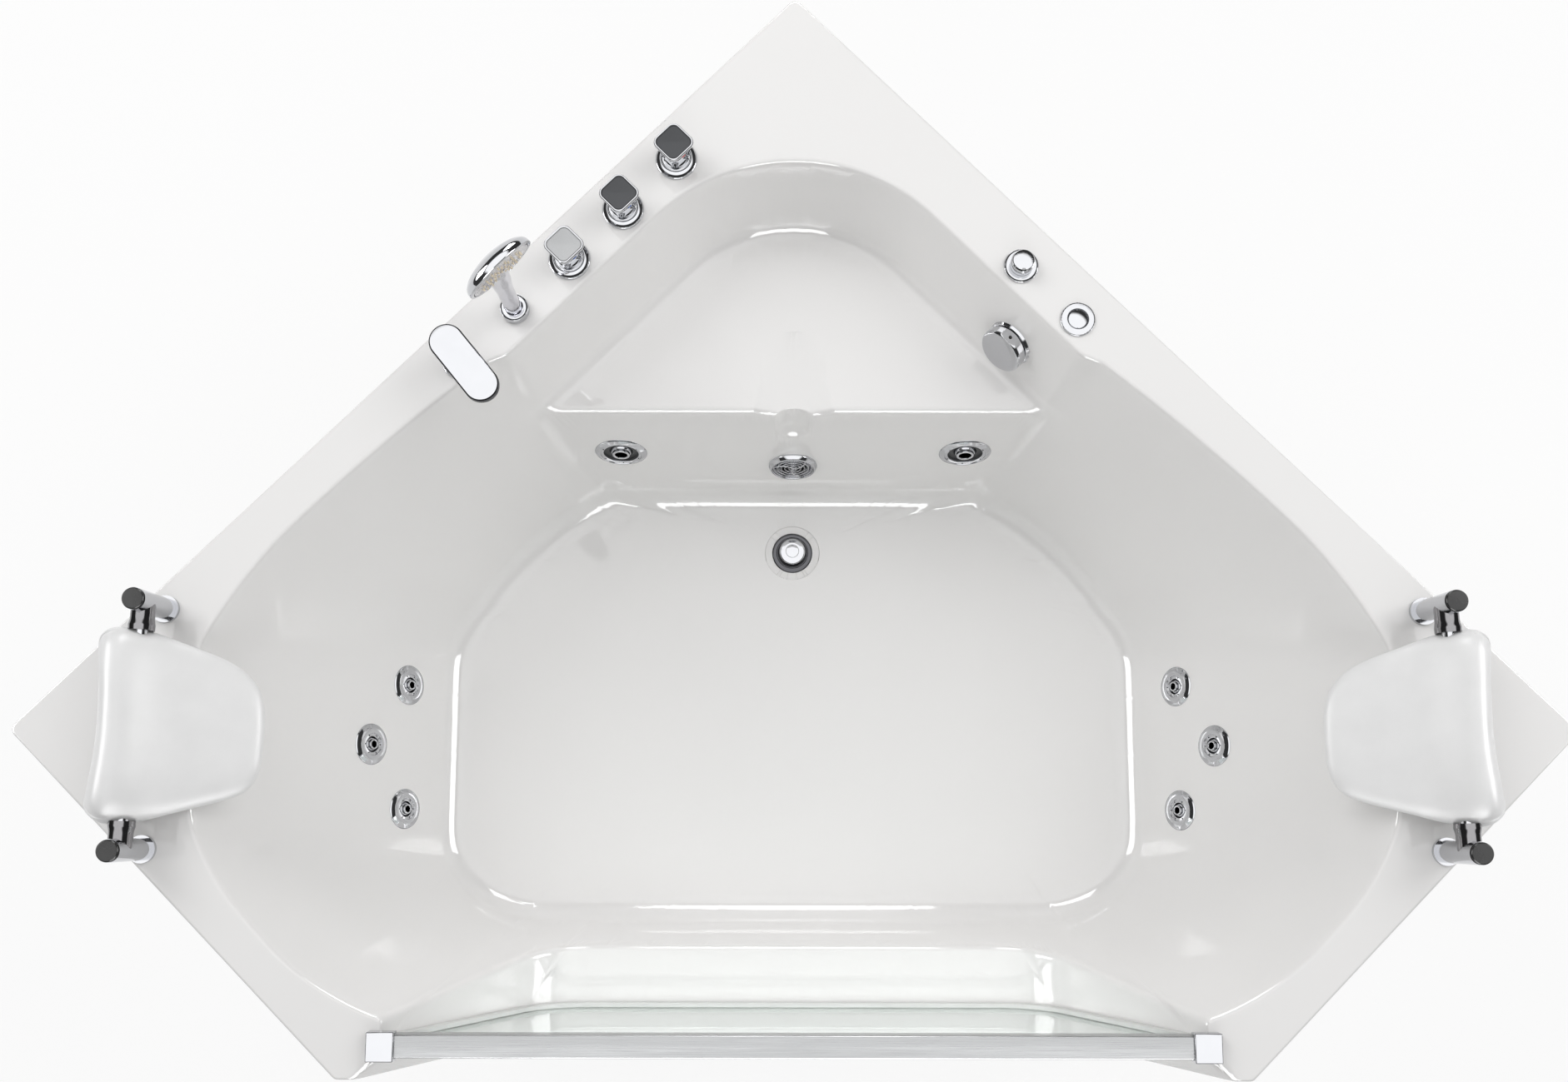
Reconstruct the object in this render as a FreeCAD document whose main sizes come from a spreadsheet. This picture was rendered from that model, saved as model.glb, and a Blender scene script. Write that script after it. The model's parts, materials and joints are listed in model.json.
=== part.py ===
import FreeCAD, Part
import math
import os
import Sketcher

# A corner jetted tub for two, seen in plan as a square that stands on its corner, with the front
# corner cut off and closed by a window.
# Plan places are measured from the line between the two side corners, heights from the deck.
# The part's own origin is at the middle of its footprint, on the ground.

SIZES = {
    # Tub as a whole
    "wall_side": 1500,
    "front_reach": 459,
    "corner_radius": 11,
    "deck_height": 620,
    "wall": 6,
    "lip_height": 45,
    "cut_overrun": 12,
    # Basin
    "end_deck": 249.66,
    "rim_rear_reach": 520.6,
    "front_deck": 76,
    "floor_half_length": 576,
    "floor_rear_reach": 440,
    "floor_front_reach": 282,
    "basin_depth": 450,
    "floor_fillet": 52,
    "rim_round": 8,
    # Seat in the rear corner
    "side_deck": 95.926,
    "seat_wall_lean": 47,
    "seat_rim_radius": 275,
    "seat_floor_radius": 232,
    "seat_depth": 150,
    "seat_front_overlap": 55.6,
    "seat_fillet": 24,
    "seat_nose_radius": 12,
    "seat_nose_half_width": 350,
    "seat_dip_radius": 150,
    "seat_dip_depth": 13,
    "seat_dip_reach": 126,
    # Recess let into the riser over the suction
    "scoop_radius": 40,
    "scoop_depth": 12,
    "scoop_top_z": 120,
    "scoop_low_z": 200,
    # Front window
    "window_half_width": 543,
    "window_side_slope": 28.2,
    "window_depth": 297,
    "window_corner_radius": 120,
    "window_reach_in": 83,
    "glass_setback": 45,
    "glass_thickness": 12,
    "glass_edge": 5,
    "glass_top_drop": 6,
    "flare_depth": 30,
    "flare": 30,
    "seal_width": 14,
    "seal_depth": 26,
    # Top rail and its brackets
    "rail_width": 30,
    "rail_height": 24,
    "rail_wall": 2,
    "rail_end_gap": 6,
    "rail_slot_clearance": 0.3,
    "bracket_length": 22,
    "bracket_wall": 4,
    "bracket_foot": 14,
    "bracket_gap": 0.2,
    # Skirts
    "panel_thickness": 8,
    "panel_recess": 1,
    "panel_gap": 0.5,
    "panel_ground_gap": 12,
    "panel_end_gap": 3,
    "window_panel_gap": 4,
    # Frame under the tub
    "board_thickness": 18,
    "board_half_length": 470,
    "board_rear": 350,
    "board_front": 225,
    "board_hole_radius": 66,
    "frame_tube": 40,
    "frame_tube_wall": 2.5,
    "post_tube": 25,
    "side_post_x": 930,
    "side_post_y": 30,
    "front_post_x": 723,
    "front_post_y": 295,
    "rear_post_y": 940,
    "long_rail_x": 200,
    "seat_rail_y": 520,
    # Levelling feet
    "foot_pad_radius": 26,
    "foot_pad_height": 12,
    "foot_stud_radius": 6,
    "foot_nut_size": 19,
    "foot_nut_height": 10,
    "foot_clearance": 0.1,
    # Side jets in the two backrests
    "jet_high_z": 281,
    "jet_low_z": 349,
    "jet_middle_y": -3,
    "jet_spread": 101,
    # Jet parts
    "side_jet_radius": 32.5,
    "seat_jet_radius": 42,
    "jet_face_height": 5,
    "jet_face_rim": 1.2,
    "side_jet_mouth": 12.5,
    "seat_jet_mouth": 28,
    "side_jet_ball": 13,
    "seat_jet_ball": 18,
    "jet_ball_gap": 0.4,
    "side_nozzle_tube": 8,
    "seat_nozzle_tube": 14,
    "side_nozzle_bore": 5.3,
    "seat_nozzle_bore": 10,
    "nozzle_stand": 14,
    "nozzle_depth": 9,
    "side_ball_depth": 7,
    "seat_ball_depth": 8,
    "jet_seat_start": 2,
    "jet_seat_end": 22,
    "jet_bevel": 6,
    "jet_nut_width": 6,
    "jet_end_wall": 4,
    "jet_neck_wall": 3,
    "jet_hole_gap": 1,
    "jet_nut_height": 8,
    "jet_body_length": 58,
    "jet_ring_width": 5,
    "jet_ring_height": 1.5,
    # Jets and suction in the riser under the seat
    "seat_jet_x": 278,
    "seat_jet_z": 280,
    "suction_z": 325,
    "suction_radius": 40,
    "suction_height": 9,
    "suction_rim": 4,
    "suction_neck_radius": 27,
    "suction_body_length": 55,
    "grille_radius": 33,
    "grille_height": 2.5,
    "grille_ring_pitch": 6.2,
    "grille_ring_width": 2.6,
    "grille_spoke_width": 3,
    "grille_clearance": 0.2,
    # Drain in the floor
    "drain_y": 342,
    "drain_recess_radius": 47,
    "drain_recess_depth": 2.5,
    "drain_flange_radius": 35,
    "drain_flange_height": 2.2,
    "drain_ring_radius": 26.5,
    "drain_ring_height": 2,
    "drain_bore_radius": 20,
    "drain_neck_radius": 24,
    "drain_neck_length": 34,
    "drain_hole_gap": 1,
    "plug_radius": 22.5,
    "plug_height": 5,
    "plug_dome": 4,
    "plug_lift": 9,
    "plug_stem_radius": 4,
    "plug_stem_length": 40,
    "plug_guide_radius": 8,
    "plug_guide_wall": 2,
    "plug_guide_gap": 0.08,
    # Trap and waste
    "trap_radius": 52,
    "trap_height": 82,
    "trap_wall": 3,
    "waste_radius": 20,
    "waste_length": 118,
    "waste_collar_radius": 27,
    "waste_collar_length": 12,
    "pipe_wall": 2.5,
    # Overflow with the pop-up control
    "overflow_along": 185,
    "overflow_z": 90,
    "overflow_flange_radius": 36.5,
    "overflow_flange_height": 5,
    "overflow_neck_radius": 22,
    "overflow_body_length": 46,
    "overflow_knob_radius": 35,
    "overflow_knob_height": 19,
    "overflow_knob_gap": 0.6,
    "overflow_knob_facet": 25,
    "overflow_knob_facet_depth": 3,
    "overflow_spindle_radius": 5,
    "overflow_spindle_gap": 0.06,
    "overflow_pipe_radius": 16,
    "cable_radius": 3.5,
    "cable_bend": 26,
    "cable_drop": 150,
    "cable_low_x": 240,
    # Fittings on the deck's left edge
    "fitting_rim_gap": 9.426,
    "first_tap_along": 455,
    "tap_pitch": 105,
    "tap_flange_radius": 29.5,
    "tap_flange_height": 9,
    "tap_dome_height": 6,
    "tap_neck_radius": 15,
    "tap_neck_height": 14,
    "tap_running_gap": 0.06,
    "tap_handle_base": 31,
    "tap_handle_top": 45,
    "tap_handle_corner": 11,
    "tap_handle_height": 34,
    "tap_handle_gap": 0.3,
    "tap_handle_turn": 45,
    "tap_button_height": 1.5,
    "valve_radius": 15.5,
    "valve_length": 62,
    "deck_hole_radius": 16,
    "supply_radius": 7.5,
    "supply_tail": 250,
    # Spout
    "spout_base_radius": 26,
    "spout_base_height": 8,
    "spout_column_radius": 15,
    "spout_height": 70,
    "spout_length": 124,
    "spout_width": 48,
    "spout_thickness": 11,
    "spout_turn": 6,
    "spout_back_reach": 27,
    "spout_mouth_width": 30,
    "spout_mouth_height": 4,
    "spout_mouth_depth": 26,
    # Hand shower and its holder
    "holder_radius": 20,
    "holder_height": 14,
    "holder_bore_radius": 12.4,
    "holder_length": 48,
    "shower_grip_radius": 12,
    "shower_grip_drop": 40,
    "shower_head_z": 165,
    "shower_head_forward": 26,
    "shower_head_radius": 52,
    "shower_head_height": 15,
    "shower_head_dome": 9,
    "shower_face_radius": 46,
    "shower_face_height": 4,
    "shower_nozzle_radius": 1.6,
    "shower_nozzle_height": 1.5,
    "shower_nozzle_pitch": 11,
    "shower_tilt": 18,
    "shower_neck_radius": 9,
    "shower_holder_gap": 0.4,
    # Air control and on and off button, deck's right edge
    "air_knob_along": 238,
    "air_button_along": 128,
    "air_ring_radius": 24.5,
    "air_ring_height": 6,
    "air_knob_radius": 16.5,
    "air_knob_height": 15,
    "air_knob_gap": 0.4,
    "air_spindle_radius": 6,
    "air_spindle_gap": 0.05,
    "air_notch": 4,
    "air_body_radius": 14,
    "air_body_length": 42,
    "button_radius": 14,
    "button_height": 4,
    "button_travel": 3,
    "button_gap": 0.3,
    "button_stem_radius": 4,
    "button_ring_height": 4,
    # Head pillows and their posts
    "post_rear_y": 164,
    "post_rear_inset": 28.751,
    "post_front_y": -160,
    "post_front_inset": 22.387,
    "post_radius": 15,
    "post_height": 84,
    "post_base_radius": 18.7,
    "post_base_height": 5,
    "post_cap_radius": 14.4,
    "post_cap_height": 4,
    "stub_radius": 8,
    "stub_z": 58,
    "stub_reach": 22,
    "pillow_length": 262,
    "pillow_outward": 42,
    "pillow_inward": 105,
    "pillow_roll_height": 62,
    "pillow_edge_height": 27,
    "pillow_inner_z": -2,
    "pillow_end_draw": 15,
    "pillow_bore_gap": 0.3,
    # Pump and pipes
    "motor_radius": 72,
    "motor_length": 180,
    "motor_x": 45,
    "motor_y": 634,
    "motor_ground_gap": 23,
    "motor_fin_depth": 5,
    "motor_fin_count": 18,
    "volute_radius": 82,
    "volute_length": 60,
    "pump_base_length": 150,
    "pump_base_width": 120,
    "pump_base_height": 35,
    "cradle_gap": 0.3,
    "pump_port_radius": 22,
    "pump_port_length": 24,
    "water_pipe_radius": 20,
    "air_pipe_radius": 9,
    "pipe_bend": 60,
    "air_bend": 35,
    "jet_pipe_depth": 40,
    "pipe_front_y": 140,
    "pipe_turn_y": 190,
    "water_rear_y": 505,
    "water_rear_x": 420,
    "branch_radius": 11,
    "air_corner_x": 600,
    "air_corner_y": 420,
    "air_rear_y": 552,
    "air_rear_x": 470,
    "air_branch_radius": 6,
    "air_drop_z": 170,
    "air_drop_x": 150,
    "suction_pipe_y": 600,
    "suction_pipe_x": 345,
    "overflow_drop": 125,
    "overflow_low_x": 200,
    "overflow_low_y": 590,
    "trap_inlet_rise": 26,
    "small_bend": 26,
    "pipe_touch": 0.5,
}

FULL_TURN = 360
RIGHT_ANGLE = 90
DIAGONAL = math.sqrt(0.5)

# Shares of the half length and of the rear or front reach, from the riser round to the front wall
rim_shares = (
    (0.518, 1.0), (0.651, 0.83), (0.866, 0.515), (0.945, 0.355), (1.0, 0.215),
    (1.0, -0.292), (0.955, -0.5), (0.888, -0.676), (0.79, -0.865), (0.66, -1.0),
)
floor_shares = (
    (0.538, 1.0), (0.72, 0.86), (0.905, 0.585), (0.975, 0.455), (1.0, 0.33),
    (1.0, -0.53), (0.975, -0.7), (0.905, -0.87), (0.81, -0.965), (0.7, -1.0),
)
# Shares of a quarter turn at which a rounded edge or fillet has a level
round_shares = (0, 0.4, 0.75)
fillet_shares = (0.33, 0.66, 1)


class Length:
    """A number together with the sheet expression that gives it."""

    def __init__(self, value, text):
        self.value = value
        self.text = text

    def __float__(self):
        return float(self.value)

    def joined(self, sign, other, value):
        words = other.text if isinstance(other, Length) else str(other)
        return Length(value, f"({self.text} {sign} {words})")

    def __add__(self, other):
        return self.joined("+", other, self.value + float(other))

    def __sub__(self, other):
        return self.joined("-", other, self.value - float(other))

    def __mul__(self, other):
        return self.joined("*", other, self.value * float(other))

    def __truediv__(self, other):
        return self.joined("/", other, self.value / float(other))

    def __neg__(self):
        return Length(-self.value, f"(-{self.text})")


class SizeSet:
    """The sheet's sizes, one attribute each."""


document = FreeCAD.newDocument("jetted_bathtub")
sheet = document.addObject("Spreadsheet::Sheet", "sizes")
for row, (name, value) in enumerate(SIZES.items(), start=1):
    sheet.set(f"A{row}", name)
    sheet.set(f"B{row}", str(value))
    sheet.setAlias(f"B{row}", name)
document.recompute()
size = SizeSet()
for name in SIZES:
    setattr(size, name, Length(float(sheet.get(name)), f"sizes.{name}"))

# Sizes that follow from others: reaches from the line between the side corners
size.half_diagonal = size.wall_side * DIAGONAL
size.rim_half_length = size.half_diagonal - size.end_deck
size.rim_front_reach = size.front_reach - size.front_deck
size.seat_rim_reach = size.half_diagonal - size.side_deck / DIAGONAL
size.seat_floor_reach = size.seat_rim_reach - size.seat_wall_lean
size.seat_front = size.rim_rear_reach - size.seat_front_overlap
size.window_inner_reach = size.rim_front_reach - size.window_reach_in
size.glass_reach = size.front_reach - size.glass_setback
size.flare_start_reach = size.front_reach - size.flare_depth
# The fittings' lines beside the wall sides: clear of the alcove's rim by one gap
size.deck_line_inset = size.side_deck - size.tap_flange_radius - size.fitting_rim_gap
size.control_line_inset = size.side_deck - size.air_ring_radius - size.fitting_rim_gap
# The pillow posts stand at the short sides' edges, and the pillows hang between them
size.post_rear_x = size.half_diagonal - size.post_rear_y - size.post_rear_inset / DIAGONAL
size.post_front_x = size.half_diagonal + size.post_front_y - size.post_front_inset / DIAGONAL
size.pillow_outer_x = size.post_front_x + size.pillow_outward
size.pillow_inner_x = size.post_rear_x - size.pillow_inward

HALF_DIAGONAL = float(size.half_diagonal)
APEX = HALF_DIAGONAL - float(size.corner_radius) * (math.sqrt(2) - 1)
MIDDLE = (APEX - float(size.front_reach)) / 2
DECK = float(size.deck_height)

UP = FreeCAD.Vector(0, 0, 1)
DOWN = FreeCAD.Vector(0, 0, -1)
parts = []


# Places

def at(x, y, z):
    """Point in the part's frame from plan distances and the height above the deck."""
    return FreeCAD.Vector(float(x), float(y) - MIDDLE, float(z) + DECK)


def placed(point, direction=UP, turn=0):
    """Placement that turns a piece about its own axis, then points that axis along the direction."""
    aim = FreeCAD.Rotation(UP, direction)
    return FreeCAD.Placement(point, aim * FreeCAD.Rotation(UP, turn))


def backrest_slope():
    """Angle of the backrests from the vertical, in radians."""
    return math.atan2(float(size.rim_half_length - size.floor_half_length), float(size.basin_depth))


def riser_slope():
    """Angle of the riser under the seat from the vertical, in radians."""
    return math.atan2(float(size.rim_rear_reach - size.floor_rear_reach), float(size.basin_depth))


def seat_wall_slope():
    """Angle of the alcove's side walls from the vertical, in radians."""
    return math.atan2(float(size.seat_rim_reach - size.seat_floor_reach) * DIAGONAL, float(size.seat_depth))


def on_backrest(side, y, depth):
    """Point and inward normal on a backrest, side 1 right or -1 left, at a depth below the deck."""
    slope = backrest_slope()
    x = float(size.rim_half_length) - math.tan(slope) * float(depth)
    return at(side * x, y, -depth), FreeCAD.Vector(-side * math.cos(slope), 0, math.sin(slope))


def on_riser(x, depth):
    """Point and inward normal on the riser under the seat."""
    slope = riser_slope()
    y = float(size.rim_rear_reach) - math.tan(slope) * float(depth)
    return at(x, y, -depth), FreeCAD.Vector(0, -math.cos(slope), math.sin(slope))


def on_seat_wall(along, depth):
    """Point and inward normal on the alcove's right wall, a distance along it from the middle line."""
    slope = seat_wall_slope()
    reach = float(size.seat_rim_reach) - math.tan(slope) * float(depth) / DIAGONAL
    half = reach / 2
    x = half - float(along) * DIAGONAL
    normal = FreeCAD.Vector(-math.cos(slope) * DIAGONAL, -math.cos(slope) * DIAGONAL, math.sin(slope))
    return at(x, reach - x, -depth), normal


def on_deck_edge(side, inset, along):
    """Point on the deck beside a wall side, a distance towards the rear from the side's own middle."""
    line = HALF_DIAGONAL - float(inset) / DIAGONAL
    x = line / 2 - float(along) * DIAGONAL
    return at(side * x, line - x, 0)


def moved_along(point, direction, distance):
    """A point moved along a direction."""
    return point + direction * float(distance)


# Solids made from the sheet's sizes

def bind(item, prop, length):
    """Sets one property of an object from the sheet."""
    setattr(item, prop, float(length))
    item.setExpression(prop, length.text)


def primitive(kind, label, place, **lengths):
    """A solid of one of the simple kinds, with every size bound to the sheet."""
    item = document.addObject(f"Part::{kind}", label)
    item.Label = label
    for prop, length in lengths.items():
        bind(item, prop, length)
    item.Placement = place
    return item


def cut(label, base, tool):
    """The base less the tool."""
    item = document.addObject("Part::Cut", label)
    item.Label = label
    item.Base = base
    item.Tool = tool
    return item


def fused(label, items):
    """The items joined as one solid."""
    item = document.addObject("Part::MultiFuse", label)
    item.Label = label
    item.Shapes = items
    return item


def common(label, items):
    """What the items have in common."""
    item = document.addObject("Part::MultiCommon", label)
    item.Label = label
    item.Shapes = items
    return item


def formed(label, shape, place=None):
    """An object of its own for a shape that is worked out from the sheet."""
    item = document.addObject("Part::Feature", label)
    item.Label = label
    item.Shape = shape
    if place is not None:
        item.Placement = place
    return item


def keep(item):
    """Marks an object as one of the tub's pieces."""
    parts.append(item)
    return item


def origin_plane(body, role):
    """One of a body's own origin planes."""
    return [plane for plane in body.Origin.OriginFeatures if plane.Role == role][0]


def hold(sketch, kind, corner, length):
    """Holds one corner of a sketch at a sheet distance, or on the axis where the distance is zero."""
    if not isinstance(length, Length):
        axis = -2 if kind == "DistanceX" else -1
        sketch.addConstraint(Sketcher.Constraint("PointOnObject", corner, 1, axis))
        return
    index = sketch.addConstraint(Sketcher.Constraint(kind, -1, 1, corner, 1, float(length)))
    sketch.setExpression(f"Constraints[{index}]", length.text)


def outline_sketch(body, role, corners):
    """A closed outline of straight sides, each corner held by its two distances."""
    sketch = body.newObject("Sketcher::SketchObject", f"{body.Name}_outline")
    sketch.AttachmentSupport = [(origin_plane(body, role), "")]
    sketch.MapMode = "FlatFace"
    points = [FreeCAD.Vector(float(x), float(y), 0) for x, y in corners]
    for here, there in zip(points, points[1:] + points[:1]):
        sketch.addGeometry(Part.LineSegment(here, there), False)
    for index in range(len(points)):
        following = (index + 1) % len(points)
        sketch.addConstraint(Sketcher.Constraint("Coincident", index, 2, following, 1))
    for index, (x, y) in enumerate(corners):
        hold(sketch, "DistanceX", index, x)
        hold(sketch, "DistanceY", index, y)
    return sketch


def turned(label, profile, place=None):
    """A body turned about its own upright axis from a profile of radius and height."""
    body = document.addObject("PartDesign::Body", label)
    body.Label = label
    sketch = outline_sketch(body, "XZ_Plane", profile)
    turn = body.newObject("PartDesign::Revolution", f"{label}_turn")
    turn.Profile = sketch
    turn.ReferenceAxis = (sketch, ["V_Axis"])
    turn.Angle = FULL_TURN
    if place is not None:
        body.Placement = place
    return body


def copies(label, item, places):
    """Like pieces at several places, as separate solids of one node."""
    document.recompute()
    shapes = []
    for place in places:
        shape = item.Shape.copy()
        shape.Placement = place
        shapes.append(shape)
    return formed(label, Part.makeCompound(shapes))


# Outlines

def grown(points, growth):
    """The corners of a clockwise outline moved out so that each side moves by the growth."""
    moved = []
    count = len(points)
    for index, here in enumerate(points):
        entering = (here - points[index - 1]).normalize()
        leaving = (points[(index + 1) % count] - here).normalize()
        first = FreeCAD.Vector(-entering.y, entering.x, 0)
        second = FreeCAD.Vector(-leaving.y, leaving.x, 0)
        share = float(growth) / (1 + first.dot(second))
        moved.append(here + (first + second) * share)
    return moved


def rounded_wire(points, radius):
    """A closed outline of straight sides with every corner rounded by a tangent arc."""
    edges = []
    starts = []
    ends = []
    middles = []
    count = len(points)
    for index, here in enumerate(points):
        back = (points[index - 1] - here).normalize()
        ahead = (points[(index + 1) % count] - here).normalize()
        half = back.getAngle(ahead) / 2
        reach = float(radius) / math.tan(half)
        bisector = (back + ahead).normalize()
        starts.append(here + back * reach)
        ends.append(here + ahead * reach)
        middles.append(here + bisector * (float(radius) / math.sin(half) - float(radius)))
    for index in range(count):
        edges.append(Part.Arc(starts[index], middles[index], ends[index]).toShape())
        edges.append(Part.makeLine(ends[index], starts[(index + 1) % count]))
    return Part.Wire(edges)


def prism(wire, direction, length):
    """A wire's flat area carried a distance along a direction."""
    return Part.Face(wire).extrude(direction * float(length))


def mirrored_points(points):
    """The points followed by their mirror images in reverse order."""
    return points + [FreeCAD.Vector(-point.x, point.y, point.z) for point in reversed(points)]


def plan_outline(growth):
    """The tub's plan, clockwise from the rear corner, moved out by the growth."""
    front = float(size.front_reach)
    points = [
        at(0, HALF_DIAGONAL, 0),
        at(HALF_DIAGONAL, 0, 0),
        at(HALF_DIAGONAL - front, -front, 0),
        at(front - HALF_DIAGONAL, -front, 0),
        at(-HALF_DIAGONAL, 0, 0),
    ]
    return grown(points, growth)


def basin_section(depth, growth):
    """The basin's outline at a depth, between its rim and floor outlines, moved out by the growth."""
    share = depth / float(size.basin_depth)
    points = []
    for (rim_x, rim_y), (floor_x, floor_y) in zip(rim_shares, floor_shares):
        rim_reach = size.rim_rear_reach if rim_y > 0 else size.rim_front_reach
        floor_reach = size.floor_rear_reach if floor_y > 0 else size.floor_front_reach
        x = rim_x * float(size.rim_half_length) * (1 - share) + floor_x * float(size.floor_half_length) * share
        y = rim_y * float(rim_reach) * (1 - share) + floor_y * float(floor_reach) * share
        points.append(at(x, y, -depth))
    p = grown(mirrored_points(points), growth)
    arcs = ((0, 1, 2), (2, 3, 4), (5, 6, 7), (7, 8, 9), (10, 11, 12), (12, 13, 14), (15, 16, 17), (17, 18, 19))
    edges = []
    for first, middle, last in arcs:
        edges.append(Part.Arc(p[first], p[middle], p[last]).toShape())
        if last in (4, 9, 14, 19):
            edges.append(Part.makeLine(p[last], p[(last + 1) % len(p)]))
    return Part.Wire(edges)


def seat_section(depth, growth):
    """The alcove's outline at a depth, moved out by the growth, and open towards the basin."""
    share = depth / float(size.seat_depth)
    rim_reach = float(size.seat_rim_reach)
    reach = rim_reach + (float(size.seat_floor_reach) - rim_reach) * share + growth / DIAGONAL
    rim_radius = float(size.seat_rim_radius)
    radius = rim_radius + (float(size.seat_floor_radius) - rim_radius) * share + growth
    front = float(size.seat_front)
    corner = reach - front
    side = radius * DIAGONAL
    edges = [
        Part.makeLine(at(-corner, front, -depth), at(-side, reach - side, -depth)),
        Part.Arc(
            at(-side, reach - side, -depth),
            at(0, reach - radius * (math.sqrt(2) - 1), -depth),
            at(side, reach - side, -depth),
        ).toShape(),
        Part.makeLine(at(side, reach - side, -depth), at(corner, front, -depth)),
        Part.makeLine(at(corner, front, -depth), at(-corner, front, -depth)),
    ]
    return Part.Wire(edges)


def hollow_levels(depth, fillet, growth):
    """Depths and growths of a hollow's sections: its rounded rim, its wall and its bottom fillet."""
    levels = []
    if growth:
        levels.append((float(size.wall) / 2, growth))
    else:
        rim = float(size.rim_round)
        for share in round_shares:
            turn = share * math.pi / 2
            levels.append((rim * math.sin(turn), rim * (1 - math.sin(turn)) ** 2))
    bend = fillet + growth
    levels.append((depth - fillet, growth))
    for share in fillet_shares:
        turn = share * math.pi / 2
        levels.append((depth + growth - bend * (1 - math.sin(turn)), growth - bend * (1 - math.cos(turn))))
    return levels


def hollow(section, depth, fillet, growth):
    """A hollow's solid, lofted through its sections."""
    levels = hollow_levels(float(depth), float(fillet), growth)
    return Part.makeLoft([section(level, spread) for level, spread in levels], True, True)


def window_wire(y, top, growth):
    """The window's outline on an upright plane, with its top edge at a height and moved out by the growth."""
    slope = math.radians(float(size.window_side_slope))
    bottom = -float(size.window_depth) - growth
    spread = growth / math.cos(slope)

    def half_width(height):
        return float(size.window_half_width) + spread + height * math.tan(slope)

    radius = float(size.window_corner_radius) + growth
    tangent = radius * math.tan((math.pi / 2 - slope) / 2)
    low = half_width(bottom)
    centre_x = low - tangent
    side_x = low + tangent * math.sin(slope)
    side_z = bottom + tangent * math.cos(slope)
    mid_turn = (math.pi / 2 - slope) / 2
    mid_x = centre_x + radius * math.sin(mid_turn)
    mid_z = bottom + radius * (1 - math.cos(mid_turn))
    edges = [
        Part.makeLine(at(-half_width(top), y, top), at(half_width(top), y, top)),
        Part.makeLine(at(half_width(top), y, top), at(side_x, y, side_z)),
        Part.Arc(at(side_x, y, side_z), at(mid_x, y, mid_z), at(centre_x, y, bottom)).toShape(),
        Part.makeLine(at(centre_x, y, bottom), at(-centre_x, y, bottom)),
        Part.Arc(at(-centre_x, y, bottom), at(-mid_x, y, mid_z), at(-side_x, y, side_z)).toShape(),
        Part.makeLine(at(-side_x, y, side_z), at(-half_width(top), y, top)),
    ]
    return Part.Wire(edges)


def window_tunnel(growth, top, end):
    """The window's way through the front: straight from the basin to the glass, then flared to the front."""
    levels = [
        (-float(size.window_inner_reach), 0),
        (-float(size.flare_start_reach), 0),
        (-float(size.front_reach), float(size.flare)),
    ]
    if end:
        levels.append((-float(size.front_reach) - end, float(size.flare)))
    return Part.makeLoft([window_wire(y, top, growth + spread) for y, spread in levels], True, True)


def post_shape(radius, start, direction, length):
    """A round solid along a direction."""
    return Part.makeCylinder(float(radius), float(length), start, direction)


# Jet, suction, drain and fitting places

def side_jet_places():
    """Places of the six side jets: rear, middle and front on the left, then on the right."""
    places = []
    for side in (-1, 1):
        for step in (1, 0, -1):
            depth = size.jet_low_z if step else size.jet_high_z
            y = float(size.jet_middle_y) + step * float(size.jet_spread)
            places.append(placed(*on_backrest(side, y, float(depth))))
    return places


def seat_jet_places():
    """Places of the two jets in the riser."""
    return [placed(*on_riser(side * float(size.seat_jet_x), size.seat_jet_z)) for side in (-1, 1)]


def drain_point():
    """The middle of the drain, on the basin's floor."""
    return at(0, size.drain_y, -size.basin_depth)


def axis_of(place):
    """The direction that a placement points its piece."""
    return place.Rotation.multVec(UP)


def fitting_points():
    """The five fittings on the deck's left edge, from the rear on: three taps, hand shower and spout."""
    points = []
    for step in range(5):
        along = size.first_tap_along - size.tap_pitch * step
        points.append(on_deck_edge(-1, size.deck_line_inset, along))
    return points


side_jets = side_jet_places()
seat_jets = seat_jet_places()
suction = placed(*on_riser(0, size.suction_z))
overflow = placed(*on_seat_wall(size.overflow_along, size.overflow_z))
*taps, shower_point, spout_point = fitting_points()
air_knob_point = on_deck_edge(1, size.control_line_inset, size.air_knob_along)
air_button_point = on_deck_edge(1, size.control_line_inset, size.air_button_along)


# Moulded shell: deck with its turned-down lip, basin, rear seat and window reveal

def deck_slab():
    """The flat deck and the lip that turns down along its edge."""
    wall = size.wall
    outer = rounded_wire(plan_outline(0), size.corner_radius)
    inner = rounded_wire(plan_outline(-wall), size.corner_radius - wall)
    slab = prism(outer, DOWN, wall)
    lip = prism(outer, DOWN, size.lip_height).cut(prism(inner, DOWN, size.lip_height))
    return slab.fuse(lip)


def seat_nose():
    """The space taken off the seat's front edge so that it is rounded."""
    radius = float(size.seat_nose_radius)
    half = float(size.seat_nose_half_width)
    depth = float(size.seat_depth)
    slope = riser_slope()
    edge_y = float(size.rim_rear_reach) - math.tan(slope) * depth
    low_y = edge_y - math.tan(slope) * radius
    corner = at(-half, edge_y, -depth)
    rear = at(-half, edge_y + radius, -depth)
    low = at(-half, low_y, -depth - radius)
    share = 1 - DIAGONAL
    middle = at(-half, edge_y + radius * share, -depth - radius * share)
    front = at(-half, edge_y - radius, -depth)
    front_top = at(-half, edge_y - radius, -depth + radius)
    rear_top = at(-half, edge_y + radius, -depth + radius)
    edges = [
        Part.Arc(rear, middle, low).toShape(),
        Part.makeLine(low, front),
        Part.makeLine(front, front_top),
        Part.makeLine(front_top, rear_top),
        Part.makeLine(rear_top, rear),
    ]
    return prism(Part.Wire(edges), FreeCAD.Vector(1, 0, 0), 2 * half)


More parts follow.
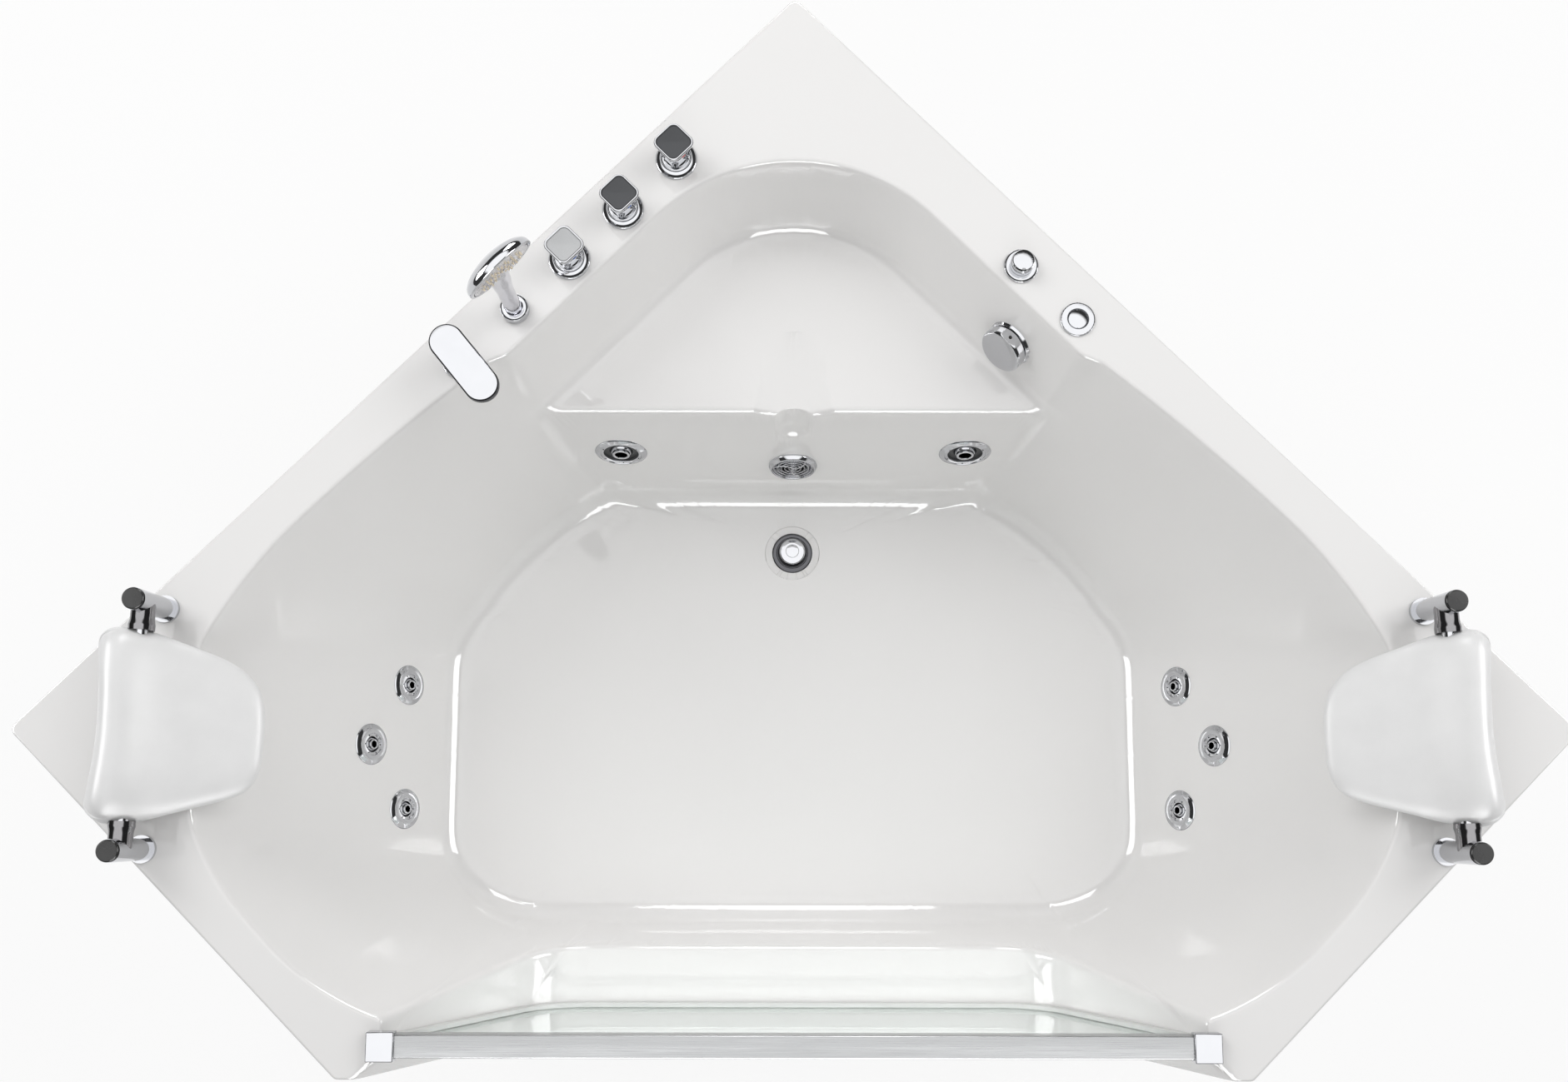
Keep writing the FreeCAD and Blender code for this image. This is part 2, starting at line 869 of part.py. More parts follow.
def seat_dip(growth):
    """The shallow trough in the middle of the seat's front edge, which runs out towards the rear."""
    radius = float(size.seat_dip_radius) + growth
    edge_y = float(size.rim_rear_reach) - math.tan(riser_slope()) * float(size.seat_depth)
    start_y = float(size.seat_front)
    slope = float(size.seat_dip_depth) / float(size.seat_dip_reach)
    centre_z = float(size.seat_dip_radius - size.seat_dip_depth - size.seat_depth) - slope * (edge_y - start_y)
    reach = radius * DIAGONAL
    left = at(-reach, start_y, centre_z - reach)
    right = at(reach, start_y, centre_z - reach)
    edges = [Part.Arc(left, at(0, start_y, centre_z - radius), right).toShape(), Part.makeLine(right, left)]
    length = edge_y - start_y + float(size.seat_dip_reach + size.cut_overrun)
    return Part.Face(Part.Wire(edges)).extrude(FreeCAD.Vector(0, length, length * slope))


def riser_scoop(growth):
    """The round-bottomed recess down the middle of the riser, its axis along the riser and in front of it."""
    radius = float(size.scoop_radius) + growth
    inset = size.scoop_radius - size.scoop_depth
    high, normal = on_riser(0, size.scoop_top_z)
    low, normal = on_riser(0, size.scoop_low_z)
    top = moved_along(high, normal, inset)
    bottom = moved_along(low, normal, inset)
    trunk = Part.makeCylinder(radius, (bottom - top).Length, top, bottom - top)
    return trunk.fuse(Part.makeSphere(radius, bottom))


def shell_holes():
    """Everything that is bored through the shell for the fittings."""
    over = float(size.cut_overrun)
    holes = []
    for places, radius in (
        (side_jets, size.side_jet_mouth + size.jet_neck_wall + size.jet_hole_gap),
        (seat_jets, size.seat_jet_mouth + size.jet_neck_wall + size.jet_hole_gap),
        ([suction], size.suction_neck_radius + size.jet_hole_gap),
        ([overflow], size.overflow_neck_radius + size.jet_hole_gap),
    ):
        for place in places:
            axis = axis_of(place)
            start = moved_along(place.Base, axis, -2 * over)
            holes.append(post_shape(radius, start, axis, 3 * over))
    recess_start = moved_along(drain_point(), UP, -size.drain_recess_depth)
    holes.append(post_shape(size.drain_recess_radius, recess_start, UP, over))
    drain_start = moved_along(drain_point(), UP, -2 * over)
    holes.append(post_shape(size.drain_neck_radius + size.drain_hole_gap, drain_start, UP, 3 * over))
    for point in taps + [shower_point, spout_point, air_knob_point, air_button_point]:
        holes.append(post_shape(size.deck_hole_radius, moved_along(point, DOWN, over), UP, 2 * over))
    return holes


def tub_shell():
    """The shell: a slab and lip with three hollows let into it, each of the same wall thickness."""
    wall = float(size.wall)
    over = float(size.cut_overrun)
    solid = deck_slab()
    body = solid.fuse([
        hollow(basin_section, size.basin_depth, size.floor_fillet, wall),
        hollow(seat_section, size.seat_depth, size.seat_fillet, wall),
        window_tunnel(wall, -wall / 2, 0),
        seat_dip(wall),
        riser_scoop(wall),
    ])
    spaces = [
        hollow(basin_section, size.basin_depth, size.floor_fillet, 0),
        hollow(seat_section, size.seat_depth, size.seat_fillet, 0),
        window_tunnel(0, over, over),
        seat_nose(),
        seat_dip(0),
        riser_scoop(0),
    ]
    for space in spaces + shell_holes():
        body = body.cut(space)
    return keep(formed("tub_shell", body))


# Window, its seal, the top rail and the rail's brackets

def window_pane(growth, top, middle_y, thickness):
    """A flat plate of the window's outline, set on an upright plane."""
    start = float(middle_y) - float(thickness) / 2
    wire = window_wire(-start, float(top), float(growth))
    return prism(wire, FreeCAD.Vector(0, -1, 0), thickness)


def window_parts():
    """The glass and the channel seal that holds its sides and foot."""
    top = -size.glass_top_drop
    glass = window_pane(-size.glass_edge, top, size.glass_reach, size.glass_thickness)
    seal_outer = window_pane(-size.rail_slot_clearance, top, size.glass_reach, size.seal_depth)
    seal_inner = window_pane(-size.seal_width, size.cut_overrun, size.glass_reach, size.seal_depth + size.cut_overrun)
    seal = seal_outer.cut(seal_inner).cut(glass)
    keep(formed("window_glass", glass))
    keep(formed("window_seal", seal))


def rail_half_length():
    """Half the rail's length: it ends just inside the brackets' closed ends."""
    return size.window_half_width - size.bracket_wall - size.rail_end_gap


def top_rail():
    """Brushed channel over the glass, open below, with its upper corners rounded."""
    half = rail_half_length()
    body = document.addObject("PartDesign::Body", "top_rail")
    body.Label = "top_rail"
    out = size.rail_width / 2
    inner = size.rail_width / 2 - size.rail_wall
    top = size.rail_height / 2
    roof = size.rail_height / 2 - size.rail_wall
    corners = [(-out, -top), (-out, top), (out, top), (out, -top), (inner, -top), (inner, roof), (-inner, roof), (-inner, -top)]
    sketch = outline_sketch(body, "YZ_Plane", corners)
    pad = body.newObject("PartDesign::Pad", "top_rail_length")
    pad.Profile = sketch
    pad.Midplane = True
    bind(pad, "Length", half * 2)
    document.recompute()
    edges = []
    for index, edge in enumerate(body.Shape.Edges, start=1):
        ends = [vertex.Point for vertex in edge.Vertexes]
        along = abs(ends[0].x - ends[1].x) > float(half)
        corner = all(point.z > float(roof) and abs(point.y) > float(inner) for point in ends)
        if along and corner:
            edges.append(f"Edge{index}")
    rounding = body.newObject("PartDesign::Fillet", "top_rail_rounding")
    rounding.Base = (pad, edges)
    bind(rounding, "Radius", size.rail_wall * 1)
    body.Tip = rounding
    body.Placement = placed(at(0, -size.glass_reach, 0))
    return keep(body)


def rail_brackets():
    """Two chrome channels whose feet stand on the pillars, and which take the rail's ends."""
    shapes = []
    width = float(size.rail_width + size.bracket_gap * 2)
    wall = float(size.bracket_wall)
    length = float(size.bracket_length)
    height = float(size.rail_height / 2 + size.bracket_gap)
    edge = float(size.window_half_width)
    outer_y = -float(size.glass_reach) - width / 2 - wall
    outer = Part.makeBox(length + float(size.bracket_foot), width + 2 * wall, height + wall, at(edge - length, outer_y, 0))
    slot = Part.makeBox(length, width, height, at(edge - length, outer_y + wall, 0))
    shape = outer.cut(slot)
    shapes.append(shape)
    shapes.append(shape.mirror(FreeCAD.Vector(0, 0, 0), FreeCAD.Vector(1, 0, 0)))
    return keep(formed("rail_brackets", Part.makeCompound(shapes)))


# Skirts, base board, frame and levelling feet

def side_panels():
    """The two flat skirts under the short sides, from the side corners to the front corners."""
    mitre = math.tan(math.pi / 8)
    start = size.panel_end_gap + size.panel_thickness * mitre
    length = size.front_reach / DIAGONAL - start * 2
    height = size.deck_height - size.lip_height - size.panel_gap - size.panel_ground_gap
    front = float(size.front_reach)
    bottom = float(size.panel_ground_gap - size.deck_height)
    corner = HALF_DIAGONAL - front
    for name, x, y, turn in (("right_panel", corner, -front, 45), ("left_panel", -HALF_DIAGONAL, 0, -45)):
        along = FreeCAD.Rotation(UP, turn).multVec(FreeCAD.Vector(1, 0, 0))
        inward = FreeCAD.Rotation(UP, turn + RIGHT_ANGLE).multVec(FreeCAD.Vector(1, 0, 0))
        point = at(x, y, bottom) + along * float(start) + inward * float(size.panel_recess)
        place = FreeCAD.Placement(point, FreeCAD.Rotation(UP, turn))
        keep(primitive("Box", name, place, Length=length, Width=size.panel_thickness, Height=height))


def front_panel():
    """The front skirt, cut out round the window's reveal."""
    front = float(size.front_reach)
    thickness = float(size.panel_thickness)
    half = HALF_DIAGONAL - front - float(size.panel_end_gap) - thickness * math.tan(math.pi / 8)
    bottom = float(size.panel_ground_gap - size.deck_height)
    top = -float(size.lip_height + size.panel_gap)
    plate = Part.makeBox(2 * half, thickness, top - bottom, at(-half, float(size.panel_recess) - front, bottom))
    growth = size.flare + size.wall + size.window_panel_gap
    opening = window_pane(growth, size.cut_overrun, size.front_reach, size.cut_overrun * 3)
    return keep(formed("front_panel", plate.cut(opening)))


def base_board():
    """Board bonded under the basin's floor, cut round the drain."""
    top = -float(size.basin_depth + size.wall)
    corner = at(-size.board_half_length, -size.board_front, top - float(size.board_thickness))
    board = primitive(
        "Box", "board_blank", placed(corner),
        Length=size.board_half_length * 2, Width=size.board_rear + size.board_front, Height=size.board_thickness,
    )
    below = moved_along(drain_point(), DOWN, size.board_thickness + size.wall)
    hole = primitive(
        "Cylinder", "board_hole", placed(moved_along(below, DOWN, size.wall)),
        Radius=size.board_hole_radius, Height=size.board_thickness + size.cut_overrun * 2,
    )
    return keep(cut("base_board", board, hole))


def square_tube(start, direction, length, side):
    """A square steel tube, open at both ends, whose axis runs from the start point."""
    wall = float(size.frame_tube_wall)
    across = float(side)

    def bar(width):
        box = Part.makeBox(width, width, float(length), FreeCAD.Vector(-width / 2, -width / 2, 0))
        turn = 0 if abs(direction.z) else RIGHT_ANGLE if abs(direction.x) else 0
        box.Placement = FreeCAD.Placement(start, FreeCAD.Rotation(UP, direction) * FreeCAD.Rotation(UP, turn))
        return box

    return bar(across).cut(bar(across - 2 * wall))


def frame_top():
    """Height of the frame's top face, under the base board."""
    return -float(size.basin_depth + size.wall + size.board_thickness)


def support_frame():
    """Welded frame of square tube: three cross rails, long rails between them and posts up to the deck."""
    half = float(size.frame_tube) / 2
    level = frame_top() - half
    post_half = float(size.post_tube) / 2
    east = FreeCAD.Vector(1, 0, 0)
    north = FreeCAD.Vector(0, 1, 0)
    front_y = -float(size.front_post_y)
    side_y = float(size.side_post_y)
    seat_y = float(size.seat_rail_y)
    rear_y = float(size.rear_post_y)
    rails = []
    for y, x in (
        (front_y, size.front_post_x),
        (side_y, size.side_post_x + size.post_tube / 2),
        (seat_y, size.long_rail_x + size.frame_tube / 2),
    ):
        rails.append(square_tube(at(-x, y, level), east, x * 2, size.frame_tube))
    for side in (-1, 1):
        x = side * float(size.long_rail_x)
        for start, end in ((front_y, side_y), (side_y, seat_y)):
            rails.append(square_tube(at(x, start + half, level), north, end - start - 2 * half, size.frame_tube))
    reach = rear_y + post_half - seat_y - half
    rails.append(square_tube(at(0, seat_y + half, level), north, reach, size.frame_tube))
    height = -frame_top() - float(size.wall)
    for x, y in post_places():
        rails.append(square_tube(at(x, y, frame_top()), UP, height, size.post_tube))
    return keep(formed("support_frame", rails[0].fuse(rails[1:])))


def post_places():
    """Plan places of the five posts that carry the deck."""
    side = float(size.side_post_x)
    front = float(size.front_post_x)
    return [
        (-side, float(size.side_post_y)),
        (side, float(size.side_post_y)),
        (-front, -float(size.front_post_y)),
        (front, -float(size.front_post_y)),
        (0, float(size.rear_post_y)),
    ]


def levelling_feet():
    """Rubber pads, studs and lock nuts under the posts and the rear cross rail."""
    ground = -float(size.deck_height)
    places = post_places()
    for side in (-1, 1):
        places.append((side * float(size.long_rail_x), float(size.seat_rail_y)))
    under = frame_top() - float(size.frame_tube)
    pad = primitive(
        "Cone", "foot_pad_pattern", placed(FreeCAD.Vector()),
        Radius1=size.foot_pad_radius, Radius2=size.foot_stud_radius * 2, Height=size.foot_pad_height,
    )
    stud_length = under - ground - float(size.foot_pad_height)
    stud = Part.makeCylinder(float(size.foot_stud_radius), stud_length)
    nut_height = float(size.foot_nut_height)
    corners = []
    reach = float(size.foot_nut_size) / 2 / math.cos(math.pi / 6)
    for step in range(6):
        angle = -step * math.pi / 3
        corners.append(FreeCAD.Vector(reach * math.cos(angle), reach * math.sin(angle), 0))
    nut = Part.Face(Part.makePolygon(corners + corners[:1])).extrude(UP * nut_height)
    nut = nut.cut(Part.makeCylinder(float(size.foot_stud_radius + size.foot_clearance), nut_height))
    stud_pattern = formed("foot_stud_pattern", stud)
    nut_pattern = formed("foot_nut_pattern", nut)
    keep(copies("foot_pads", pad, [placed(at(x, y, ground)) for x, y in places]))
    stud_foot = ground + float(size.foot_pad_height)
    keep(copies("foot_studs", stud_pattern, [placed(at(x, y, stud_foot)) for x, y in places]))
    keep(copies("foot_nuts", nut_pattern, [placed(at(x, y, under - nut_height)) for x, y in places]))


# Jets

def jet_face(label, radius, mouth):
    """Bevelled chrome ring round a jet, with a lower step next to its mouth."""
    step = mouth + size.jet_ring_width
    low = size.jet_face_height - size.jet_ring_height
    return turned(label, [
        (mouth, 0), (radius, 0), (radius, size.jet_face_rim), (radius - size.jet_bevel, size.jet_face_height),
        (step, size.jet_face_height), (step, low), (mouth, low),
    ])


def jet_body(label, mouth, ball):
    """Body behind the wall: neck, clamping nut, the nozzle's round seat and a closed water chamber."""
    neck = mouth + size.jet_neck_wall
    nut = neck + size.jet_nut_width
    seat = ball + size.jet_ball_gap
    chamber = mouth - size.jet_end_wall / 4
    nut_end = size.wall + size.jet_nut_height
    inner_end = size.jet_body_length - size.jet_end_wall
    return turned(label, [
        (mouth, 0), (neck, 0), (neck, -size.wall), (nut, -size.wall),
        (nut, -nut_end), (neck, -nut_end), (neck, -size.jet_body_length), (0, -size.jet_body_length),
        (0, -inner_end), (chamber, -inner_end), (chamber, -size.jet_seat_end), (seat, -size.jet_seat_end),
        (seat, -size.jet_seat_start), (mouth, -size.jet_seat_start),
    ])


def jet_nozzle(label, ball, tube, bore):
    """Ball nozzle: a sphere cut flat in front and behind, with a short tube in front and a bore through both."""
    sphere = primitive("Sphere", f"{label}_ball", placed(FreeCAD.Vector()), Radius=ball)
    base = placed(FreeCAD.Vector(0, 0, -float(size.nozzle_depth)))
    slab = primitive("Cylinder", f"{label}_slab", base, Radius=ball, Height=size.nozzle_depth * 2)
    middle = common(f"{label}_middle", [sphere, slab])
    front = primitive("Cylinder", f"{label}_tube", placed(FreeCAD.Vector()), Radius=tube, Height=size.nozzle_stand)
    body = fused(f"{label}_body", [middle, front])
    hole_place = placed(FreeCAD.Vector(0, 0, -float(size.nozzle_depth + size.cut_overrun)))
    hole = primitive(
        "Cylinder", f"{label}_bore", hole_place,
        Radius=bore, Height=size.nozzle_depth + size.nozzle_stand + size.cut_overrun * 2,
    )
    return cut(label, body, hole)


def jets(group, places, names, radius, mouth, ball, tube, bore, ball_depth):
    """One size of jet at all its places: rings, bodies and one nozzle node each."""
    face = jet_face(f"{group}_face_pattern", radius, mouth)
    body = jet_body(f"{group}_body_pattern", mouth, ball)
    nozzle = jet_nozzle(f"{group}_nozzle_pattern", ball, tube, bore)
    keep(copies(f"{group}_faces", face, places))
    keep(copies(f"{group}_bodies", body, places))
    document.recompute()
    for name, place in zip(names, places):
        centre = moved_along(place.Base, axis_of(place), -ball_depth)
        keep(formed(f"{name}_nozzle", nozzle.Shape.copy(), FreeCAD.Placement(centre, place.Rotation)))


# Suction fitting in the riser

def suction_fitting():
    """Threaded body with a rounded rim, and the ring grille on three curved spokes inside it."""
    rim = size.suction_radius
    neck = size.suction_neck_radius
    bore = neck - size.suction_rim
    floor = size.suction_height - size.grille_height * 2
    well = size.grille_radius + size.grille_clearance
    body = turned("suction_body", [
        (bore, -size.suction_body_length), (neck, -size.suction_body_length), (neck, 0), (rim, 0),
        (rim, size.suction_height / 3), (rim - size.suction_rim, size.suction_height),
        (well, size.suction_height), (well, floor), (bore, floor),
    ], suction)
    keep(body)
    height = float(size.grille_height)
    width = float(size.grille_ring_width)
    rings = []
    radius = float(size.grille_radius)
    while radius > float(size.grille_ring_pitch):
        ring = Part.makeCylinder(radius, height).cut(Part.makeCylinder(radius - width, height))
        rings.append(ring)
        radius -= float(size.grille_ring_pitch)
    hub = Part.makeCylinder(radius, height)
    spokes = []
    spoke = float(size.grille_spoke_width)
    bend = float(size.grille_radius) * 2 / 3
    for step in range(3):
        arm = Part.makeCylinder(bend + spoke / 2, height, FreeCAD.Vector(0, bend, 0))
        arm = arm.cut(Part.makeCylinder(bend - spoke / 2, height, FreeCAD.Vector(0, bend, 0)))
        half = Part.makeBox(2 * bend, 4 * bend, height, FreeCAD.Vector(0, -bend, 0))
        arm = arm.common(half).common(Part.makeCylinder(float(size.grille_radius), height))
        arm.rotate(FreeCAD.Vector(), UP, step * FULL_TURN / 3)
        spokes.append(arm)
    grille = hub.fuse(rings + spokes)
    seat = moved_along(suction.Base, axis_of(suction), floor)
    return keep(formed("suction_grille", grille, FreeCAD.Placement(seat, suction.Rotation)))


# Drain, plug, trap and waste

def drain_parts():
    """Flange in the floor's recess, lifting plug, its guide, the trap under the floor and the waste outlet."""
    bottom = placed(moved_along(drain_point(), DOWN, size.drain_recess_depth))
    height = size.drain_flange_height
    top = size.drain_flange_height + size.drain_ring_height
    guide_bore = size.plug_stem_radius + size.plug_guide_gap
    flange = turned("drain_flange_ring", [
        (size.drain_bore_radius, -size.drain_neck_length), (size.drain_neck_radius, -size.drain_neck_length),
        (size.drain_neck_radius, 0), (size.drain_flange_radius, 0), (size.drain_flange_radius, height / 2),
        (size.drain_ring_radius, height), (size.drain_ring_radius, top),
        (size.plug_radius + size.drain_ring_height, top), (size.drain_bore_radius, height),
    ], bottom)
    spider_radius = (size.drain_bore_radius + size.drain_neck_radius) / 2
    spider = Part.makeCylinder(float(spider_radius), float(size.plug_guide_wall) * 2)
    spider = spider.cut(Part.makeCylinder(float(guide_bore), float(size.plug_guide_wall) * 2))
    for step in range(3):
        angle = step * 2 * math.pi / 3
        reach = float(size.drain_bore_radius + size.plug_stem_radius) / 2
        centre = FreeCAD.Vector(reach * math.cos(angle), reach * math.sin(angle), 0)
        window_radius = float(size.drain_bore_radius - size.plug_guide_radius) / 2
        spider = spider.cut(Part.makeCylinder(window_radius, float(size.plug_guide_wall) * 2, centre))
    guide_point = moved_along(bottom.Base, DOWN, size.drain_neck_length - size.plug_guide_radius)
    guide = formed("plug_guide", spider, placed(guide_point))
    keep(fused("drain_flange", [flange, guide]))
    cap_foot = size.drain_flange_height + size.plug_lift
    keep(turned("drain_plug", [
        (0, -size.plug_stem_length), (size.plug_stem_radius, -size.plug_stem_length),
        (size.plug_stem_radius, 0), (size.plug_radius - size.plug_dome, 0), (size.plug_radius, size.plug_dome / 2),
        (size.plug_radius, size.plug_height / 2 + size.plug_dome / 4),
        (size.plug_radius * 0.8, size.plug_height), (size.plug_radius * 0.45, size.plug_height + size.plug_dome / 2),
        (0, size.plug_height + size.plug_dome * 0.7),
    ], placed(moved_along(bottom.Base, UP, cap_foot))))
    trap_top = moved_along(bottom.Base, DOWN, size.drain_neck_length)
    inner = size.trap_radius - size.trap_wall
    bowl = turned("trap_bowl", [
        (size.drain_bore_radius, -size.trap_wall), (size.drain_bore_radius, 0), (size.trap_radius * 0.6, 0),
        (size.trap_radius, -size.trap_wall * 3), (size.trap_radius, -size.trap_height), (0, -size.trap_height),
        (0, size.trap_wall - size.trap_height), (inner, size.trap_wall - size.trap_height),
        (inner, -size.trap_wall * 4), (size.trap_radius * 0.6, -size.trap_wall),
    ], placed(trap_top))
    level = size.trap_height - size.waste_radius - size.trap_wall
    start = moved_along(moved_along(trap_top, DOWN, level), FreeCAD.Vector(-1, 0, 0), inner)
    outlet = turned("trap_outlet", [
        (size.waste_radius - size.pipe_wall, 0), (size.waste_collar_radius, 0),
        (size.waste_collar_radius, size.waste_collar_length), (size.waste_radius, size.waste_collar_length),
        (size.waste_radius, size.waste_length),
        (size.waste_radius - size.pipe_wall, size.waste_length),
    ], placed(start, FreeCAD.Vector(-1, 0, 0)))
    keep(fused("drain_trap", [bowl, outlet]))


# Overflow and its knob

def overflow_parts():
    """Overflow body through the seat's side wall, and the large knob that lifts the drain plug."""
    neck = size.overflow_neck_radius
    bore = neck - size.pipe_wall
    spindle_bore = size.overflow_spindle_radius + size.overflow_spindle_gap
    back = size.overflow_body_length
    keep(turned("overflow_body", [
        (spindle_bore, -back), (neck, -back), (neck, 0), (size.overflow_flange_radius, 0),
        (size.overflow_flange_radius - size.pipe_wall, size.overflow_flange_height),
        (bore, size.overflow_flange_height), (bore, size.pipe_wall * 2 - back), (spindle_bore, size.pipe_wall * 2 - back),
    ], overflow))
    foot = moved_along(overflow.Base, axis_of(overflow), size.overflow_flange_height + size.overflow_knob_gap)
    radius = size.overflow_knob_radius
    height = size.overflow_knob_height
    spindle = -(size.overflow_flange_height + size.overflow_knob_gap + back)
    knob = turned("overflow_knob_blank", [
        (0, spindle), (size.overflow_spindle_radius, spindle), (size.overflow_spindle_radius, 0),
        (radius - size.pipe_wall, 0), (radius, size.pipe_wall), (radius, height - size.pipe_wall * 1.5),
        (radius - size.pipe_wall * 1.5, height), (0, height),
    ])
    facet_side = size.overflow_knob_facet
    corner = FreeCAD.Vector(-float(facet_side) / 2, float(radius - size.overflow_knob_facet_depth), 0)
    low = placed(moved_along(corner, DOWN, size.cut_overrun))
    facet = primitive(
        "Box", "overflow_knob_flat", low,
        Length=facet_side, Width=size.cut_overrun, Height=height + size.cut_overrun * 2,
    )
    knob = cut("overflow_knob", knob, facet)
    aim = FreeCAD.Rotation(FreeCAD.Vector(1, -1, 0), FreeCAD.Vector(0, 0, 1), axis_of(overflow), "ZXY")
    knob.Placement = FreeCAD.Placement(foot, aim)
    return keep(knob)


# Taps, spout and hand shower on the deck's left edge

def tap_parts():
    """Three like taps: domed flanges, tapered square handles and the valve bodies under the deck."""
    neck = size.tap_neck_radius
    height = size.tap_flange_height
    flange = turned("tap_flange_pattern", [
        (size.deck_hole_radius * 0.5, 0), (size.tap_flange_radius, 0), (size.tap_flange_radius, height * 0.35),
        (size.tap_flange_radius * 0.93, height * 0.75), (size.tap_flange_radius * 0.78, height),
        (neck, height), (neck, size.tap_neck_height), (size.deck_hole_radius * 0.5, size.tap_neck_height),
    ])
    keep(copies("tap_flanges", flange, [placed(point) for point in taps]))
    valve = turned("valve_pattern", [
        (0, -size.valve_length), (size.valve_radius, -size.valve_length), (size.valve_radius, 0),
        (size.deck_hole_radius * 0.5 - size.tap_running_gap, 0),
        (size.deck_hole_radius * 0.5 - size.tap_running_gap, size.tap_neck_height), (0, size.tap_neck_height),
    ])
    keep(copies("valve_bodies", valve, [placed(point) for point in taps]))
    for name, point in zip(("hot_tap_handle", "cold_tap_handle", "diverter_handle"), taps):
        start = moved_along(point, UP, size.tap_neck_height + size.tap_handle_gap)
        levels = (
            (0, size.tap_handle_base), (size.tap_handle_height * 0.55, size.tap_handle_base * 1.16),
            (size.tap_handle_height - size.tap_button_height * 2, size.tap_handle_top),
            (size.tap_handle_height, size.tap_handle_top - size.tap_button_height),
        )
        wires = [square_wire(side, size.tap_handle_corner, level) for level, side in levels]
        handle = Part.makeLoft(wires, True, True)
        keep(formed(name, handle, placed(start, UP, float(size.tap_handle_turn))))


def square_wire(side, corner, level):
    """A square outline with rounded corners, at a height."""
    half = float(side) / 2
    z = float(level)
    points = [
        FreeCAD.Vector(-half, half, z), FreeCAD.Vector(half, half, z),
        FreeCAD.Vector(half, -half, z), FreeCAD.Vector(-half, -half, z),
    ]
    return rounded_wire(points, corner)


def mixer_pipe():
    """Pipe that joins the valves, the spout and the hand shower under the deck, with two house inlets."""
    direction = (spout_point - taps[0]).normalize()
    radius = size.supply_radius
    level = size.valve_length + radius
    start = moved_along(moved_along(taps[0], DOWN, level), direction, -size.supply_radius)
    length = (spout_point - taps[0]).Length + 2 * float(radius)
    shapes = [tube_solid(start, direction, radius, length)]
    for point in taps[:2]:
        top = moved_along(point, DOWN, level + radius)
        shapes.append(tube_solid(top, DOWN, radius, size.supply_tail))
    return keep(formed("mixer_pipe", Part.makeCompound(shapes)))


def tube_solid(start, direction, radius, length):
    """A straight pipe with its bore."""
    bore = float(radius) - min(float(size.pipe_wall), float(radius) / 3)
    outer = Part.makeCylinder(float(radius), float(length), start, direction)
    return outer.cut(Part.makeCylinder(bore, float(length), start, direction))


def spout_parts():
    """Round base and column with a flat oblong spout on top, open along the foot of its front end."""
    base = turned("spout_base", [
        (0, -size.valve_length), (size.valve_radius, -size.valve_length), (size.valve_radius, 0),
        (size.spout_base_radius, 0), (size.spout_base_radius, size.spout_base_height / 2),
        (size.spout_base_radius * 0.9, size.spout_base_height), (0, size.spout_base_height),
    ], placed(spout_point))
    keep(base)
    half = (size.spout_length - size.spout_width) / 2
    radius = float(size.spout_width) / 2
    bottom = float(size.spout_height - size.spout_thickness)
    reach = float(half)
    forward = float(half * 2 + size.spout_width / 2 - size.spout_back_reach) - reach
    edges = [
        Part.makeLine(FreeCAD.Vector(-reach, radius, 0), FreeCAD.Vector(reach, radius, 0)),
        Part.Arc(
            FreeCAD.Vector(reach, radius, 0), FreeCAD.Vector(reach + radius, 0, 0), FreeCAD.Vector(reach, -radius, 0),
        ).toShape(),
        Part.makeLine(FreeCAD.Vector(reach, -radius, 0), FreeCAD.Vector(-reach, -radius, 0)),
        Part.Arc(
            FreeCAD.Vector(-reach, -radius, 0), FreeCAD.Vector(-reach - radius, 0, 0), FreeCAD.Vector(-reach, radius, 0),
        ).toShape(),
    ]
    plate = prism(Part.Wire(edges), UP, size.spout_thickness)
    plate.translate(FreeCAD.Vector(forward, 0, bottom))
    mouth_low = (float(size.spout_thickness) - float(size.spout_mouth_height)) / 2 + bottom
    width = float(size.spout_mouth_width)
    front = forward + reach + radius - float(size.spout_mouth_depth)
    mouth = Part.makeBox(
        float(size.spout_mouth_depth + size.cut_overrun), width, float(size.spout_mouth_height),
        FreeCAD.Vector(front, -width / 2, mouth_low),
    )
    column = Part.makeCylinder(
        float(size.spout_column_radius), bottom - float(size.spout_base_height),
        FreeCAD.Vector(0, 0, float(size.spout_base_height)),
    )
    shape = plate.cut(mouth).fuse(column)
    place = FreeCAD.Placement(spout_point, FreeCAD.Rotation(UP, -45 - float(size.spout_turn)))
    return keep(formed("spout", shape, place))


def shower_direction():
    """The way the hand shower faces: square to the wall side and tilted down."""
    tilt = math.radians(float(size.shower_tilt))
    return FreeCAD.Vector(math.cos(tilt) * DIAGONAL, -math.cos(tilt) * DIAGONAL, -math.sin(tilt))


